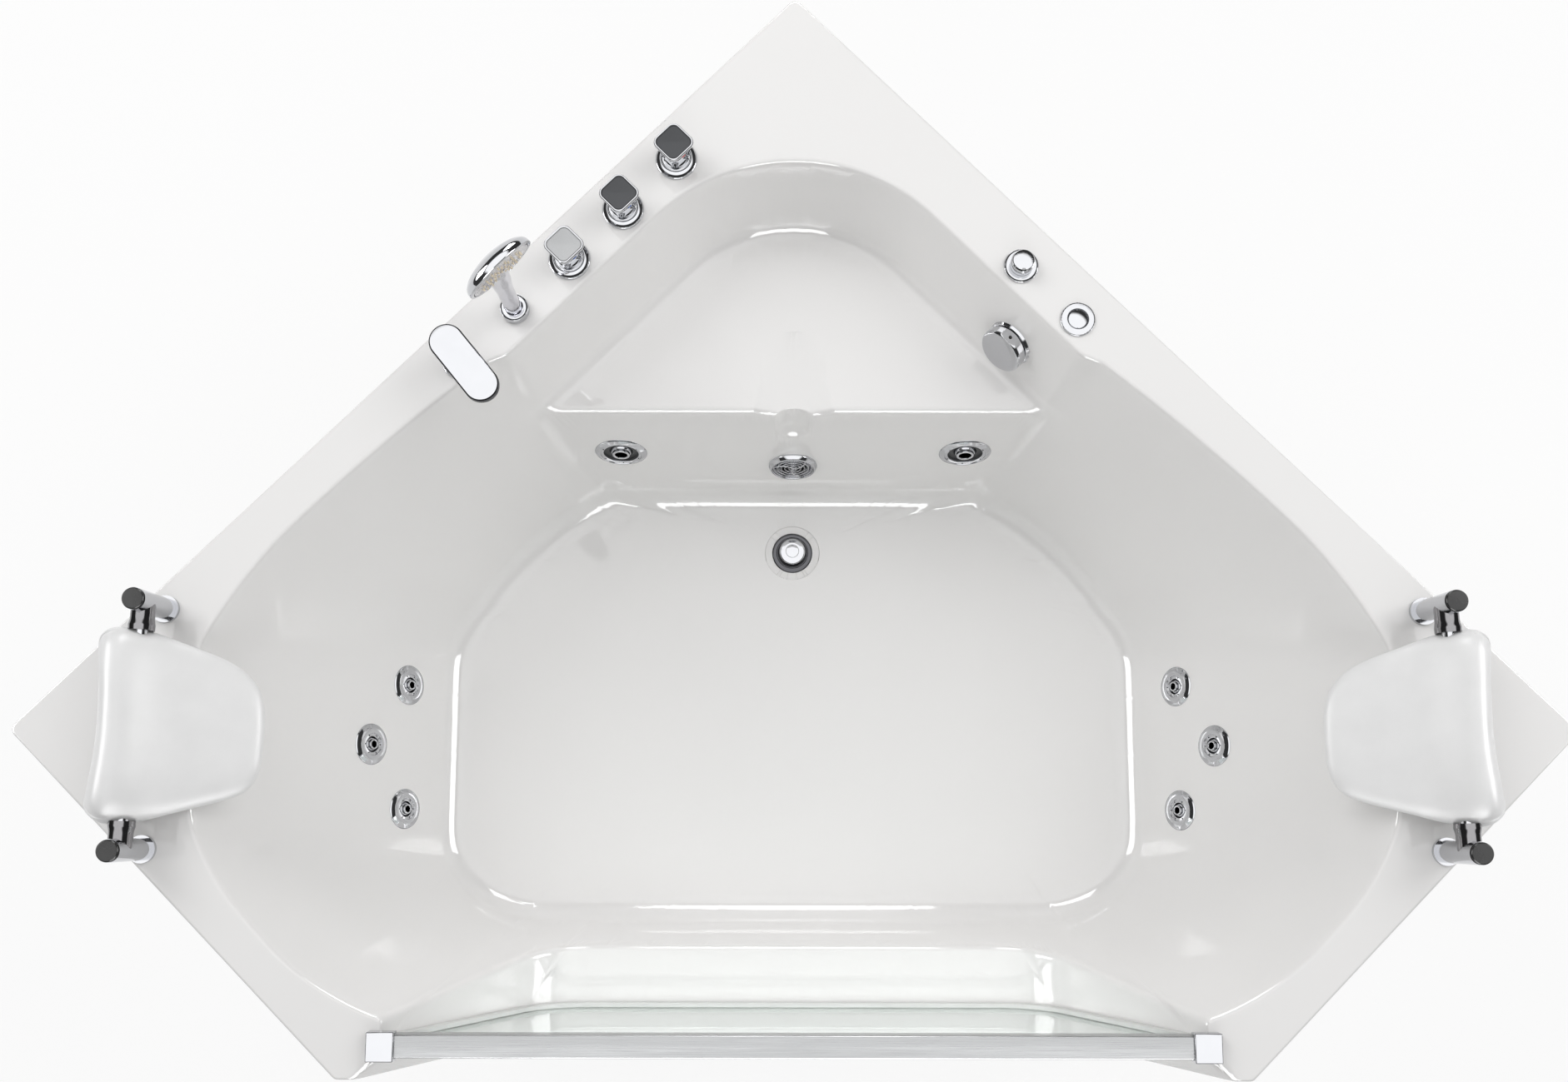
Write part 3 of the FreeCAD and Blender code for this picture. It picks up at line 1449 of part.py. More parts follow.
def shower_parts():
    """Deck holder, the hand shower's grip and head in one piece, and its spray face."""
    bore = size.holder_bore_radius
    keep(turned("shower_holder", [
        (bore, -size.holder_length), (size.valve_radius, -size.holder_length), (size.valve_radius, 0),
        (size.holder_radius, 0), (size.holder_radius, size.holder_height * 0.8),
        (size.holder_radius * 0.88, size.holder_height), (bore, size.holder_height),
    ], placed(shower_point)))
    facing = shower_direction()
    level = FreeCAD.Vector(facing.x, facing.y, 0).normalize()
    middle = moved_along(moved_along(shower_point, UP, size.shower_head_z), level, size.shower_head_forward)
    radius = size.shower_head_radius
    depth = size.shower_head_height
    dome = size.shower_head_dome
    head = turned("shower_head_blank", [
        (0, -(depth + dome)), (radius * 0.45, -(depth + dome * 0.8)), (radius * 0.8, -(depth + dome * 0.2)),
        (radius * 0.96, -(depth * 0.7)), (radius, -(depth * 0.4)), (radius, 0), (0, 0),
    ], placed(middle, facing))
    bottom = moved_along(shower_point, DOWN, size.shower_grip_drop)
    grip = primitive(
        "Cone", "shower_grip", placed(bottom),
        Radius1=size.shower_grip_radius, Radius2=size.shower_neck_radius,
        Height=size.shower_head_z + size.shower_grip_drop + size.shower_neck_radius,
    )
    joined = fused("shower_blank", [head, grip])
    recess_depth = size.shower_face_height
    recess_start = moved_along(middle, facing, -recess_depth)
    recess = primitive(
        "Cylinder", "shower_recess", placed(recess_start, facing),
        Radius=size.shower_face_radius + size.shower_holder_gap, Height=recess_depth + size.cut_overrun,
    )
    keep(cut("hand_shower", joined, recess))
    plate = Part.makeCylinder(float(size.shower_face_radius), float(recess_depth))
    nozzles = [spray_stud(FreeCAD.Vector())]
    for ring in range(1, 4):
        for step in range(6 * ring):
            angle = 2 * math.pi * step / (6 * ring)
            reach = ring * float(size.shower_nozzle_pitch)
            centre = FreeCAD.Vector(reach * math.cos(angle), reach * math.sin(angle), 0)
            nozzles.append(spray_stud(centre))
    for nozzle in nozzles:
        nozzle.translate(UP * float(recess_depth))
    return keep(formed("shower_spray_face", plate.fuse(nozzles), placed(recess_start, facing)))


def spray_stud(centre):
    """One six-sided spray nozzle, standing at a point of the spray face's own plane."""
    radius = float(size.shower_nozzle_radius)
    corners = []
    for step in range(7):
        angle = step * math.pi / 3
        corners.append(centre + FreeCAD.Vector(radius * math.cos(angle), radius * math.sin(angle), 0))
    return prism(Part.makePolygon(corners), UP, size.shower_nozzle_height)


# Air control and the on and off button on the deck's right edge

def air_parts():
    """Air control: fixed ring with its body, and a notched cap that turns. Button: ring, plunger and body."""
    bore = size.air_spindle_radius + size.air_spindle_gap
    keep(turned("air_control_base", [
        (bore, -size.air_body_length), (size.air_body_radius, -size.air_body_length), (size.air_body_radius, 0),
        (size.air_ring_radius, 0), (size.air_ring_radius, size.air_ring_height * 0.5),
        (size.air_ring_radius * 0.9, size.air_ring_height), (bore, size.air_ring_height),
    ], placed(air_knob_point)))
    radius = size.air_knob_radius
    height = size.air_knob_height
    spindle = -(size.air_knob_gap + size.air_ring_height + size.air_body_length)
    cap_place = placed(moved_along(air_knob_point, UP, size.air_ring_height + size.air_knob_gap))
    cap = turned("air_knob_blank", [
        (0, spindle), (size.air_spindle_radius, spindle), (size.air_spindle_radius, 0), (radius, 0),
        (radius, height * 0.8), (radius * 0.88, height), (radius * 0.5, height + size.air_notch * 0.3),
        (0, height + size.air_notch * 0.4),
    ])
    half = float(size.air_notch) / 2
    notch_corner = FreeCAD.Vector(-half, -float(radius + size.cut_overrun), float(height * 0.45))
    notch = primitive(
        "Box", "air_knob_notch", placed(notch_corner),
        Length=size.air_notch, Width=size.cut_overrun + size.air_notch, Height=height,
    )
    knob = cut("air_knob", cap, notch)
    knob.Placement = cap_place
    keep(knob)
    well = size.button_radius + size.button_gap
    stem_bore = size.button_stem_radius + size.air_spindle_gap
    floor = size.button_ring_height - size.button_height - size.button_gap
    well_floor = floor - size.button_travel
    keep(turned("air_button_housing", [
        (stem_bore, -size.air_body_length), (size.air_body_radius, -size.air_body_length),
        (size.deck_hole_radius - size.button_gap, 0),
        (size.air_ring_radius, 0), (size.air_ring_radius, size.button_ring_height * 0.6),
        (size.air_ring_radius * 0.94, size.button_ring_height), (well, size.button_ring_height),
        (well, well_floor), (stem_bore, well_floor),
    ], placed(air_button_point)))
    button_foot = moved_along(air_button_point, UP, floor)
    keep(turned("air_button", [
        (0, -(size.air_body_length + floor)), (size.button_stem_radius, -(size.air_body_length + floor)),
        (size.button_stem_radius, 0), (size.button_radius, 0), (size.button_radius, size.button_height * 0.8),
        (size.button_radius * 0.9, size.button_height), (0, size.button_height),
    ], placed(button_foot)))


# Head pillows and their posts

def post_points(side):
    """The rear and front post of one pillow."""
    return (
        at(side * float(size.post_rear_x), size.post_rear_y, 0),
        at(side * float(size.post_front_x), size.post_front_y, 0),
    )


def pillow_posts():
    """Four chrome posts, each with a base ring and a stub that reaches into its pillow's end."""
    shapes = []
    caps = []
    stub_length = size.post_rear_y - size.post_front_y - size.pillow_length
    for side in (-1, 1):
        rear, front = post_points(side)
        for here, there in ((rear, front), (front, rear)):
            direction = (there - here).normalize()
            post = Part.makeCylinder(float(size.post_radius), float(size.post_height), here)
            ring = Part.makeCylinder(float(size.post_base_radius), float(size.post_base_height), here)
            length = float(stub_length) / 2 + float(size.stub_reach)
            stub_start = moved_along(here, UP, size.stub_z)
            stub = Part.makeCylinder(float(size.stub_radius), length, stub_start, direction)
            shapes.append(post.fuse([ring, stub]))
            caps.append(Part.makeCylinder(
                float(size.post_cap_radius), float(size.post_cap_height), moved_along(here, UP, size.post_height),
            ))
    keep(formed("pillow_posts", Part.makeCompound(shapes)))
    keep(formed("post_caps", Part.makeCompound(caps)))


# Shares along the pillow, and how full its section is there
pillow_full_shares = (
    (-0.5, 0.5), (-0.48, 0.74), (-0.42, 0.9), (-0.25, 0.98), (0, 1),
    (0.25, 0.98), (0.42, 0.9), (0.48, 0.74), (0.5, 0.5),
)
# Section shares: across from the outer to the inner edge, and of the roll's height above the deck
pillow_section_shares = (
    (0, 0.6), (0.05, 0.9), (0.22, 1.0),
    (0.6, 0.76), (0.94, 0.36),
    (1.0, 0.2), (0.93, 0.0),
    (0.55, 0.11), (0.2, 0.24),
    (0.04, 0.36),
)
pillow_arcs = ((0, 1, 2), (2, 3, 4), (4, 5, 6), (6, 7, 8), (8, 9, 0))


def pillow_section(y, fullness):
    """One closed section of a pillow, drawn in towards its middle."""
    across = float(size.pillow_outer_x - size.pillow_inner_x)
    axis_x = (float(size.post_rear_x) + float(size.post_front_x)) / 2
    outer = -(float(size.pillow_outer_x) - axis_x)
    top = float(size.pillow_roll_height + size.pillow_edge_height)
    low = float(size.pillow_inner_z)
    centre_x = outer + across * 0.36
    centre_z = (low + top) * 0.6
    points = []
    for share_x, share_z in pillow_section_shares:
        x = outer + share_x * across
        z = low + share_z * (top - low)
        points.append(FreeCAD.Vector(centre_x + (x - centre_x) * fullness, y, centre_z + (z - centre_z) * fullness))
    edges = [Part.Arc(points[a], points[b], points[c]).toShape() for a, b, c in pillow_arcs]
    return Part.Wire(edges)


def pillows():
    """Two moulded pillows: a fat roll along the outside that thins towards the basin, full in the middle."""
    length = float(size.pillow_length)
    wires = [pillow_section(share * length, fullness) for share, fullness in pillow_full_shares]
    blank = Part.makeLoft(wires, True, True)
    bore = float(size.stub_radius + size.pillow_bore_gap)
    depth = float(size.stub_reach + size.pillow_bore_gap * 2)
    for end in (-1, 1):
        start = FreeCAD.Vector(0, end * (length / 2 + float(size.cut_overrun)), float(size.stub_z))
        direction = FreeCAD.Vector(0, -end, 0)
        blank = blank.cut(Part.makeCylinder(bore, depth + float(size.cut_overrun), start, direction))
    for side, name in ((-1, "left_pillow"), (1, "right_pillow")):
        shape = blank
        if side > 0:
            shape = blank.mirror(FreeCAD.Vector(), FreeCAD.Vector(1, 0, 0))
        rear, front = post_points(side)
        middle = (rear + front) / 2
        turn = FreeCAD.Rotation(FreeCAD.Vector(0, 1, 0), rear - front)
        keep(formed(name, shape, FreeCAD.Placement(middle, turn)))


# Pump under the rear seat

def pump_parts():
    """Motor with cooling ribs, volute with its two ports, and the cradle they lie in."""
    ground = size.motor_radius + size.motor_ground_gap - size.deck_height
    west = FreeCAD.Vector(-1, 0, 0)
    start = at(-size.motor_x, size.motor_y, ground)
    core = Part.makeCylinder(float(size.motor_radius - size.motor_fin_depth), float(size.motor_length), start, west)
    shapes = []
    fin_width = float(size.motor_radius) * math.pi / float(size.motor_fin_count) / 2
    for step in range(int(float(size.motor_fin_count))):
        fin = Part.makeBox(
            float(size.motor_radius), fin_width, float(size.motor_length) * 0.8,
            FreeCAD.Vector(0, -fin_width / 2, float(size.motor_length) * 0.1),
        )
        fin.rotate(FreeCAD.Vector(), UP, step * FULL_TURN / float(size.motor_fin_count))
        fin.Placement = FreeCAD.Placement(start, FreeCAD.Rotation(UP, west)) * fin.Placement
        shapes.append(fin)
    keep(formed("pump_motor", core.fuse(shapes)))
    front = moved_along(start, west, size.motor_length)
    volute = Part.makeCylinder(float(size.volute_radius), float(size.volute_length), front, west)
    inlet_start = moved_along(front, west, size.volute_length)
    inlet = Part.makeCylinder(float(size.pump_port_radius), float(size.pump_port_length), inlet_start, west)
    middle = moved_along(front, west, size.volute_length / 2)
    outlet_length = size.volute_radius + size.pump_port_length
    outlet = Part.makeCylinder(float(size.pump_port_radius), float(outlet_length), middle, UP)
    keep(formed("pump_volute", volute.fuse([inlet, outlet])))
    cradle_x = -float(size.motor_x) - (float(size.motor_length) + float(size.pump_base_length)) / 2
    cradle_y = float(size.motor_y) - float(size.pump_base_width) / 2
    block = Part.makeBox(
        float(size.pump_base_length), float(size.pump_base_width), float(size.pump_base_height),
        at(cradle_x, cradle_y, -size.deck_height),
    )
    bed = Part.makeCylinder(float(size.motor_radius + size.cradle_gap), float(size.motor_length), start, west)
    keep(formed("pump_cradle", block.cut(bed)))
    return moved_along(inlet_start, west, size.pump_port_length), moved_along(middle, UP, outlet_length)


# Pipes

def pipe(points, radius, bend):
    """A round pipe along straight runs joined by tangent arcs."""
    edges = []
    last = points[0]
    for before, here, after in zip(points, points[1:], points[2:]):
        back = (before - here).normalize()
        ahead = (after - here).normalize()
        half = back.getAngle(ahead) / 2
        reach = float(bend) / math.tan(half)
        start = here + back * reach
        end = here + ahead * reach
        middle = here + (back + ahead).normalize() * (float(bend) / math.sin(half) - float(bend))
        edges.append(Part.makeLine(last, start))
        edges.append(Part.Arc(start, middle, end).toShape())
        last = end
    edges.append(Part.makeLine(last, points[-1]))
    path = Part.Wire(edges)
    direction = (points[1] - points[0]).normalize()
    ring = Part.Wire([Part.makeCircle(float(radius), points[0], direction)])
    return path.makePipeShell([ring], True, False)


def jet_line(side, depth, slope_offset, y):
    """A point on a line behind a backrest, beside the jet barrels of a depth."""
    point, normal = on_backrest(side, y, float(depth))
    down_slope = FreeCAD.Vector(-side * math.sin(backrest_slope()), 0, -math.cos(backrest_slope()))
    return point - normal * float(size.jet_pipe_depth) + down_slope * float(slope_offset)


def water_pipe():
    """Ring pipe from the left jets round the back to the right jets, with a branch to each high jet."""
    barrel = size.side_jet_mouth + size.jet_neck_wall
    offset = barrel + size.water_pipe_radius
    points = []
    for side in (-1, 1):
        front = jet_line(side, size.jet_low_z, offset, -float(size.pipe_front_y))
        turn = jet_line(side, size.jet_low_z, offset, size.pipe_turn_y)
        corner = FreeCAD.Vector(side * float(size.water_rear_x), float(size.water_rear_y) - MIDDLE, front.z)
        ends = [front, turn, corner]
        points.extend(ends if side < 0 else reversed(ends))
    shapes = [pipe(points, size.water_pipe_radius, size.pipe_bend)]
    for side in (-1, 1):
        low = jet_line(side, size.jet_low_z, barrel, size.jet_middle_y)
        high = jet_line(side, size.jet_high_z, barrel, size.jet_middle_y)
        way = (high - low).normalize()
        shapes.append(Part.makeCylinder(float(size.branch_radius), (high - low).Length, low, way))
    riser_barrel = size.seat_jet_mouth + size.jet_neck_wall
    for place in seat_jets:
        axis = axis_of(place)
        top = place.Base - axis * (float(size.water_rear_y - size.rim_rear_reach) + math.tan(riser_slope())
                                   * float(size.seat_jet_z)) / math.cos(riser_slope())
        top = FreeCAD.Vector(top.x, float(size.water_rear_y) - MIDDLE, top.z - float(riser_barrel) * 1.1)
        foot = FreeCAD.Vector(top.x, top.y, points[0].z + float(size.water_pipe_radius))
        shapes.append(Part.makeCylinder(float(size.branch_radius), top.z - foot.z, foot, UP))
    keep(formed("water_pipe", Part.makeCompound(shapes)))
    return points


def air_pipe():
    """Small ring pipe over the high jets, with drops to the low jets and a feed from the air control."""
    barrel = size.side_jet_mouth + size.jet_neck_wall
    offset = -(barrel + size.air_pipe_radius)
    points = []
    for side in (-1, 1):
        front = jet_line(side, size.jet_high_z, offset, -float(size.pipe_front_y))
        turn = jet_line(side, size.jet_high_z, offset, size.pipe_turn_y)
        level = front.z
        corner = FreeCAD.Vector(side * float(size.air_corner_x), float(size.air_corner_y) - MIDDLE, level)
        rear = FreeCAD.Vector(side * float(size.air_rear_x), float(size.air_rear_y) - MIDDLE, level)
        ends = [front, turn, corner, rear]
        points.extend(ends if side < 0 else reversed(ends))
    shapes = [pipe(points, size.air_pipe_radius, size.air_bend)]
    for side in (-1, 1):
        for step in (-1, 1):
            y = float(size.jet_middle_y) + step * float(size.jet_spread)
            high = jet_line(side, size.jet_high_z, -barrel, y)
            low = jet_line(side, size.jet_low_z, -barrel, y)
            way = (low - high).normalize()
            shapes.append(Part.makeCylinder(float(size.air_branch_radius), (low - high).Length, high, way))
    for place in seat_jets:
        back = moved_along(place.Base, axis_of(place), -size.jet_body_length)
        rise = points[0].z - back.z + float(size.air_branch_radius)
        start = FreeCAD.Vector(back.x, back.y + math.tan(riser_slope()) * rise, points[0].z)
        gap = float(size.air_rear_y) - MIDDLE - float(size.air_pipe_radius) - start.y
        shapes.append(Part.makeCylinder(float(size.air_branch_radius), gap, start, FreeCAD.Vector(0, 1, 0)))
    top = moved_along(air_knob_point, DOWN, size.air_body_length)
    knee = moved_along(air_knob_point, DOWN, size.air_drop_z)
    ring = FreeCAD.Vector(float(size.air_drop_x), float(size.air_rear_y) - MIDDLE, points[0].z)
    way = (ring - knee).normalize()
    end = ring - way * float(size.air_pipe_radius * 2)
    shapes.append(pipe([top, knee, end], size.air_pipe_radius, size.air_bend))
    return keep(formed("air_pipe", Part.makeCompound(shapes)))


def pump_pipes(inlet, outlet, ring):
    """Suction pipe from the riser fitting to the pump, and the short pipe from the pump to the ring pipe."""
    radius = size.pump_port_radius
    back = moved_along(suction.Base, axis_of(suction), -size.suction_body_length)
    rear = FreeCAD.Vector(back.x, float(size.suction_pipe_y) - MIDDLE, back.z)
    rear.z = back.z - math.tan(riser_slope()) * (rear.y - back.y)
    over = FreeCAD.Vector(-float(size.suction_pipe_x), inlet.y, rear.z)
    down = FreeCAD.Vector(over.x, inlet.y, inlet.z)
    keep(formed("suction_pipe", pipe([back, rear, over, down, inlet], radius, size.small_bend)))
    bend_top = FreeCAD.Vector(outlet.x, outlet.y, ring[0].z)
    ring_side = FreeCAD.Vector(outlet.x, float(size.water_rear_y) - MIDDLE + float(size.water_pipe_radius), ring[0].z)
    keep(formed("pump_outlet_pipe", pipe([outlet, bend_top, ring_side], size.branch_radius, size.branch_radius * 1.5)))


def overflow_pipes():
    """Pipe from the overflow body down to the trap, and the pop-up cable beside it."""
    back = moved_along(overflow.Base, axis_of(overflow), -size.overflow_body_length / 2)
    barrel_start = moved_along(overflow.Base, axis_of(overflow), -size.overflow_body_length)
    barrel = post_shape(size.overflow_neck_radius, barrel_start, axis_of(overflow), size.overflow_body_length)
    knee = moved_along(back, DOWN, size.overflow_drop)
    trap_level = drain_point().z - float(size.drain_recess_depth + size.drain_neck_length + size.trap_height)
    inlet_z = trap_level + float(size.trap_inlet_rise)
    low = at(size.overflow_low_x, size.overflow_low_y, inlet_z - DECK)
    centre = FreeCAD.Vector(0, drain_point().y, inlet_z)
    end = centre + (low - centre).normalize() * float(size.trap_radius + size.pipe_touch)
    drop = pipe([back, knee, low, end], size.overflow_pipe_radius, size.pipe_bend / 2)
    keep(formed("overflow_pipe", drop.cut(barrel)))
    rear = moved_along(barrel_start, axis_of(overflow), -size.pipe_touch)
    out = moved_along(rear, axis_of(overflow), -size.cable_bend)
    fall = moved_along(out, DOWN, size.cable_drop)
    behind = at(size.cable_low_x, size.seat_rail_y + size.frame_tube, frame_top() + float(size.cable_radius * 2))
    front = FreeCAD.Vector(behind.x / 2, float(size.seat_rail_y - size.frame_tube * 2) - MIDDLE, behind.z)
    height = centre.z + float(size.overflow_pipe_radius + size.cable_radius * 3)
    aim = FreeCAD.Vector(front.x, front.y, height)
    middle = FreeCAD.Vector(0, centre.y, height)
    finish = middle + (aim - middle).normalize() * float(size.trap_radius + size.cable_radius)
    route = [rear, out, fall, behind, front, finish]
    keep(formed("popup_cable", pipe(route, size.cable_radius, size.cable_bend / 2)))


tub_shell()
window_parts()
top_rail()
rail_brackets()
side_panels()
front_panel()
base_board()
support_frame()
levelling_feet()
side_names = [f"{side}_{row}_jet" for side in ("left", "right") for row in ("rear", "middle", "front")]
jets("side_jet", side_jets, side_names, size.side_jet_radius, size.side_jet_mouth, size.side_jet_ball,
     size.side_nozzle_tube, size.side_nozzle_bore, size.side_ball_depth)
jets("seat_jet", seat_jets, ["seat_left_jet", "seat_right_jet"], size.seat_jet_radius, size.seat_jet_mouth,
     size.seat_jet_ball, size.seat_nozzle_tube, size.seat_nozzle_bore, size.seat_ball_depth)
suction_fitting()
drain_parts()
overflow_parts()
tap_parts()
mixer_pipe()
spout_parts()
shower_parts()
air_parts()
pillow_posts()
pillows()
pump_inlet, pump_outlet = pump_parts()
ring_points = water_pipe()
air_pipe()
pump_pipes(pump_inlet, pump_outlet, ring_points)
overflow_pipes()

document.recompute()
for item in document.Objects:
    if "Invalid" in item.State or "Error" in item.State:
        raise RuntimeError(f"{item.Label} failed: {item.State}")
for item in parts:
    if item.Shape.isNull() or not item.Shape.isValid():
        raise RuntimeError(f"{item.Label} has no valid shape")

os.makedirs("parts", exist_ok=True)
for item in parts:
    item.Shape.exportStep(f"parts/{item.Label}.step")
    print(item.Label, len(item.Shape.Solids), "solids", round(item.Shape.Volume), "mm3")
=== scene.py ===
"""Looks of a jetted corner bathtub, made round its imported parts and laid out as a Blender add-on."""

import json
import math

import bmesh
import bpy
import numpy as np
from bpy.props import FloatProperty, FloatVectorProperty, IntProperty, PointerProperty
from mathutils import Matrix, Vector

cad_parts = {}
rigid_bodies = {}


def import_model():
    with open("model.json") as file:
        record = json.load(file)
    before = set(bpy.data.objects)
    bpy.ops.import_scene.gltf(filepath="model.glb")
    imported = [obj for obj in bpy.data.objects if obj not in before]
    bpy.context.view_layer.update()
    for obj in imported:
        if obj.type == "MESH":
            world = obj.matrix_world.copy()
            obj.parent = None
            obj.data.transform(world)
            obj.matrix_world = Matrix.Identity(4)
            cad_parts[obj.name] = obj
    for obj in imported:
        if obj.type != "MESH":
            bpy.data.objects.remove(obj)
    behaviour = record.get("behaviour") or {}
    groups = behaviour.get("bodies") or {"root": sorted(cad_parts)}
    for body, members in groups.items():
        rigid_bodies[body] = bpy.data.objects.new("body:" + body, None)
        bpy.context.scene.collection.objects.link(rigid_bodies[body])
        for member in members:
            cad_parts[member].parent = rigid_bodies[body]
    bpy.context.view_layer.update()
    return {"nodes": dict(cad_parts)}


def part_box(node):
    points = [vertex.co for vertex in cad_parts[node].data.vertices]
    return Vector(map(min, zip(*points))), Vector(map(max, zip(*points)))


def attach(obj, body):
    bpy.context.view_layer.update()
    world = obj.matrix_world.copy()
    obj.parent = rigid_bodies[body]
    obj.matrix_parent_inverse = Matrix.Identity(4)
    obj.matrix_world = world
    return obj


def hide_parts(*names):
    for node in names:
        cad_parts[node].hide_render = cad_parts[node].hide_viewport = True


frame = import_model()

bl_info = {
    "name": "Jetted corner bathtub",
    "version": (1, 0, 0),
    "blender": (4, 5, 0),
    "location": "View3D > Sidebar > Bathtub",
    "description": "Moulded shell, chrome fittings, pillows and finishes of a jetted corner bathtub",
    "category": "Add Mesh",
}

DIAGONAL = math.sqrt(0.5)
UP = np.array((0.0, 0.0, 1.0))
FULL_TURN = 2 * math.pi
EDGE_ANGLE = math.radians(32)  # sharper edges of a copied part are broken and shaded sharp
FLOOR_GLOW = 0.86  # share of the floor that shines by itself to the camera and in reflections
BORE_RUN = 0.03  # how far a bore starts behind a wall, in metres
# The two darker chromes in this list paint in dark reflections by their base colour.
MIRRORS = ("polished_chrome", "painted_dark_reflection_chrome", "painted_dark_reflection_sleeve_chrome")  # shown no lamps, only the room

# Corners of the basin's outline at its rim and at its floor, as shares of half length and reach
RIM_SHARES = np.array((
    (0.518, 1.0), (0.651, 0.83), (0.866, 0.515), (0.945, 0.355), (1.0, 0.215),
    (1.0, -0.292), (0.955, -0.5), (0.888, -0.676), (0.79, -0.865), (0.66, -1.0),
))
FLOOR_SHARES = np.array((
    (0.538, 1.0), (0.72, 0.86), (0.905, 0.585), (0.975, 0.455), (1.0, 0.33),
    (1.0, -0.53), (0.975, -0.7), (0.905, -0.87), (0.81, -0.965), (0.7, -1.0),
))

# Plan outline of the left pillow in metres: across and along from the middle of the side corners' line
PILLOW_PLAN = np.array((
    (-0.9224, 0.120), (-0.9052, 0.131), (-0.8800, 0.132), (-0.8536, 0.128), (-0.8250, 0.118), (-0.7992, 0.107),
    (-0.7686, 0.096), (-0.7428, 0.079), (-0.7266, 0.059), (-0.7189, 0.036), (-0.7170, 0.0), (-0.7189, -0.036),
    (-0.7209, -0.055), (-0.7304, -0.078), (-0.7495, -0.092), (-0.7934, -0.105), (-0.8240, -0.115),
    (-0.8546, -0.124), (-0.8800, -0.128), (-0.8994, -0.126), (-0.9243, -0.113), (-0.9300, -0.101),
    (-0.9262, -0.060), (-0.9185, -0.010), (-0.9176, 0.030), (-0.9195, 0.080), (-0.9212, 0.104),
))


# Sizes and colours a user may change

def length(label, default, description):
    """A length property, in metres."""
    return FloatProperty(name=label, description=description, default=default, unit="LENGTH", precision=4)


def colour(label, default, description):
    """A colour property, from an sRGB hex value."""
    return FloatVectorProperty(
        name=label, description=description, default=linear(default)[:3], subtype="COLOR", size=3, min=0, max=1,
    )


def linear(text):
    """Linear RGBA of an sRGB hex colour such as #C8CACC."""
    parts = np.array([int(text[i:i + 2], 16) for i in (1, 3, 5)]) / 255
    values = np.where(parts <= 0.04045, parts / 12.92, ((parts + 0.055) / 1.055) ** 2.4)
    return (*[float(value) for value in values], 1.0)


class BathtubShellSizes(bpy.types.PropertyGroup):
    """Sizes of the moulded shell."""

    wall_side: length("Wall side", 1.5, "Length of each side that stands against a wall")
    front_reach: length("Front reach", 0.459, "From the line of the side corners to the glass front")
    corner_radius: length("Corner radius", 0.011, "Radius of the deck's corners in plan")
    edge_radius: length("Edge radius", 0.004, "Radius of the deck's outer edge")
    deck_height: length("Deck height", 0.62, "Height of the deck above the floor")
    wall: length("Wall", 0.006, "Thickness of the moulded sheet")
    lip_height: length("Lip", 0.045, "Height of the lip along the deck's edge")
    rim_half_length: length("Half length at the rim", 0.811, "Half the basin's length at its rim")
    rim_rear_reach: length("Rear reach at the rim", 0.5206, "Basin's reach to the rear at its rim")
    rim_front_reach: length("Front reach at the rim", 0.383, "Basin's reach to the front at its rim")
    floor_half_length: length("Half length at the floor", 0.576, "Half the basin's length at its floor")
    floor_rear_reach: length("Rear reach at the floor", 0.44, "Basin's reach to the rear at its floor")
    floor_front_reach: length("Front reach at the floor", 0.282, "Basin's reach to the front at its floor")
    basin_depth: length("Basin depth", 0.45, "Depth of the basin's floor below the deck")
    floor_fillet: length("Floor fillet", 0.052, "Radius between the basin's wall and floor")
    rim_round: length("Rim radius", 0.008, "Radius of the rim round the hollows")
    seat_rim_reach: length("Seat reach at the rim", 0.925, "Where the alcove's walls meet, at the rim")
    seat_floor_reach: length("Seat reach at the seat", 0.878, "Where the alcove's walls meet, at the seat")
    seat_rim_radius: length("Seat corner at the rim", 0.275, "Radius of the alcove's rear corner at the rim")
    seat_floor_radius: length("Seat corner at the seat", 0.232, "Radius of the alcove's rear corner at the seat")
    seat_depth: length("Seat depth", 0.15, "Depth of the rear seat below the deck")
    seat_front: length("Seat front", 0.465, "Where the alcove opens into the basin")
    seat_fillet: length("Seat fillet", 0.024, "Radius between the alcove's walls and the seat")
    seat_nose: length("Seat nose", 0.012, "Radius of the seat's front edge")
    scoop_radius: length("Scoop radius", 0.04, "Radius of the scoop in the riser's upper part")
    scoop_cut: length("Scoop depth", 0.012, "How deep the scoop goes into the riser")
    scoop_top: length("Scoop top", 0.12, "Depth of the scoop's upper centre below the deck")
    scoop_low: length("Scoop foot", 0.2, "Depth of the scoop's lower centre below the deck")
    dip_radius: length("Seat dip radius", 0.15, "Radius of the dip in the seat's front")
    dip_depth: length("Seat dip", 0.013, "Depth of the dip at the seat's front edge")
    dip_reach: length("Seat dip reach", 0.126, "How far the dip runs back from the seat's edge")
    window_half_width: length("Window half width", 0.543, "Half the window's width at the deck")
    window_depth: length("Window depth", 0.297, "Depth of the window's sill below the deck")
    window_corner: length("Window corner", 0.12, "Radius of the window's lower corners")
    window_inner: length("Window inner reach", 0.3, "Where the window's reveal leaves the basin")
    flare_start: length("Flare start", 0.429, "Where the reveal starts to widen towards the front")
    flare: length("Flare", 0.03, "How much the reveal widens at the front")
    drain_y: length("Drain", 0.342, "The drain's distance behind the line of the side corners")
    drain_recess_radius: length("Drain recess", 0.047, "Radius of the recess round the drain")
    drain_recess_depth: length("Drain recess depth", 0.0025, "Depth of the recess round the drain")
    window_slope: FloatProperty(
        name="Window side slope", description="Slope of the window's sides from the vertical",
        default=math.radians(28.2), subtype="ANGLE",
    )
    rays: IntProperty(name="Rays", description="Rays of the shell's grid over half the tub", default=330)
    rings: IntProperty(name="Rings", description="Rings of the shell's grid", default=102)


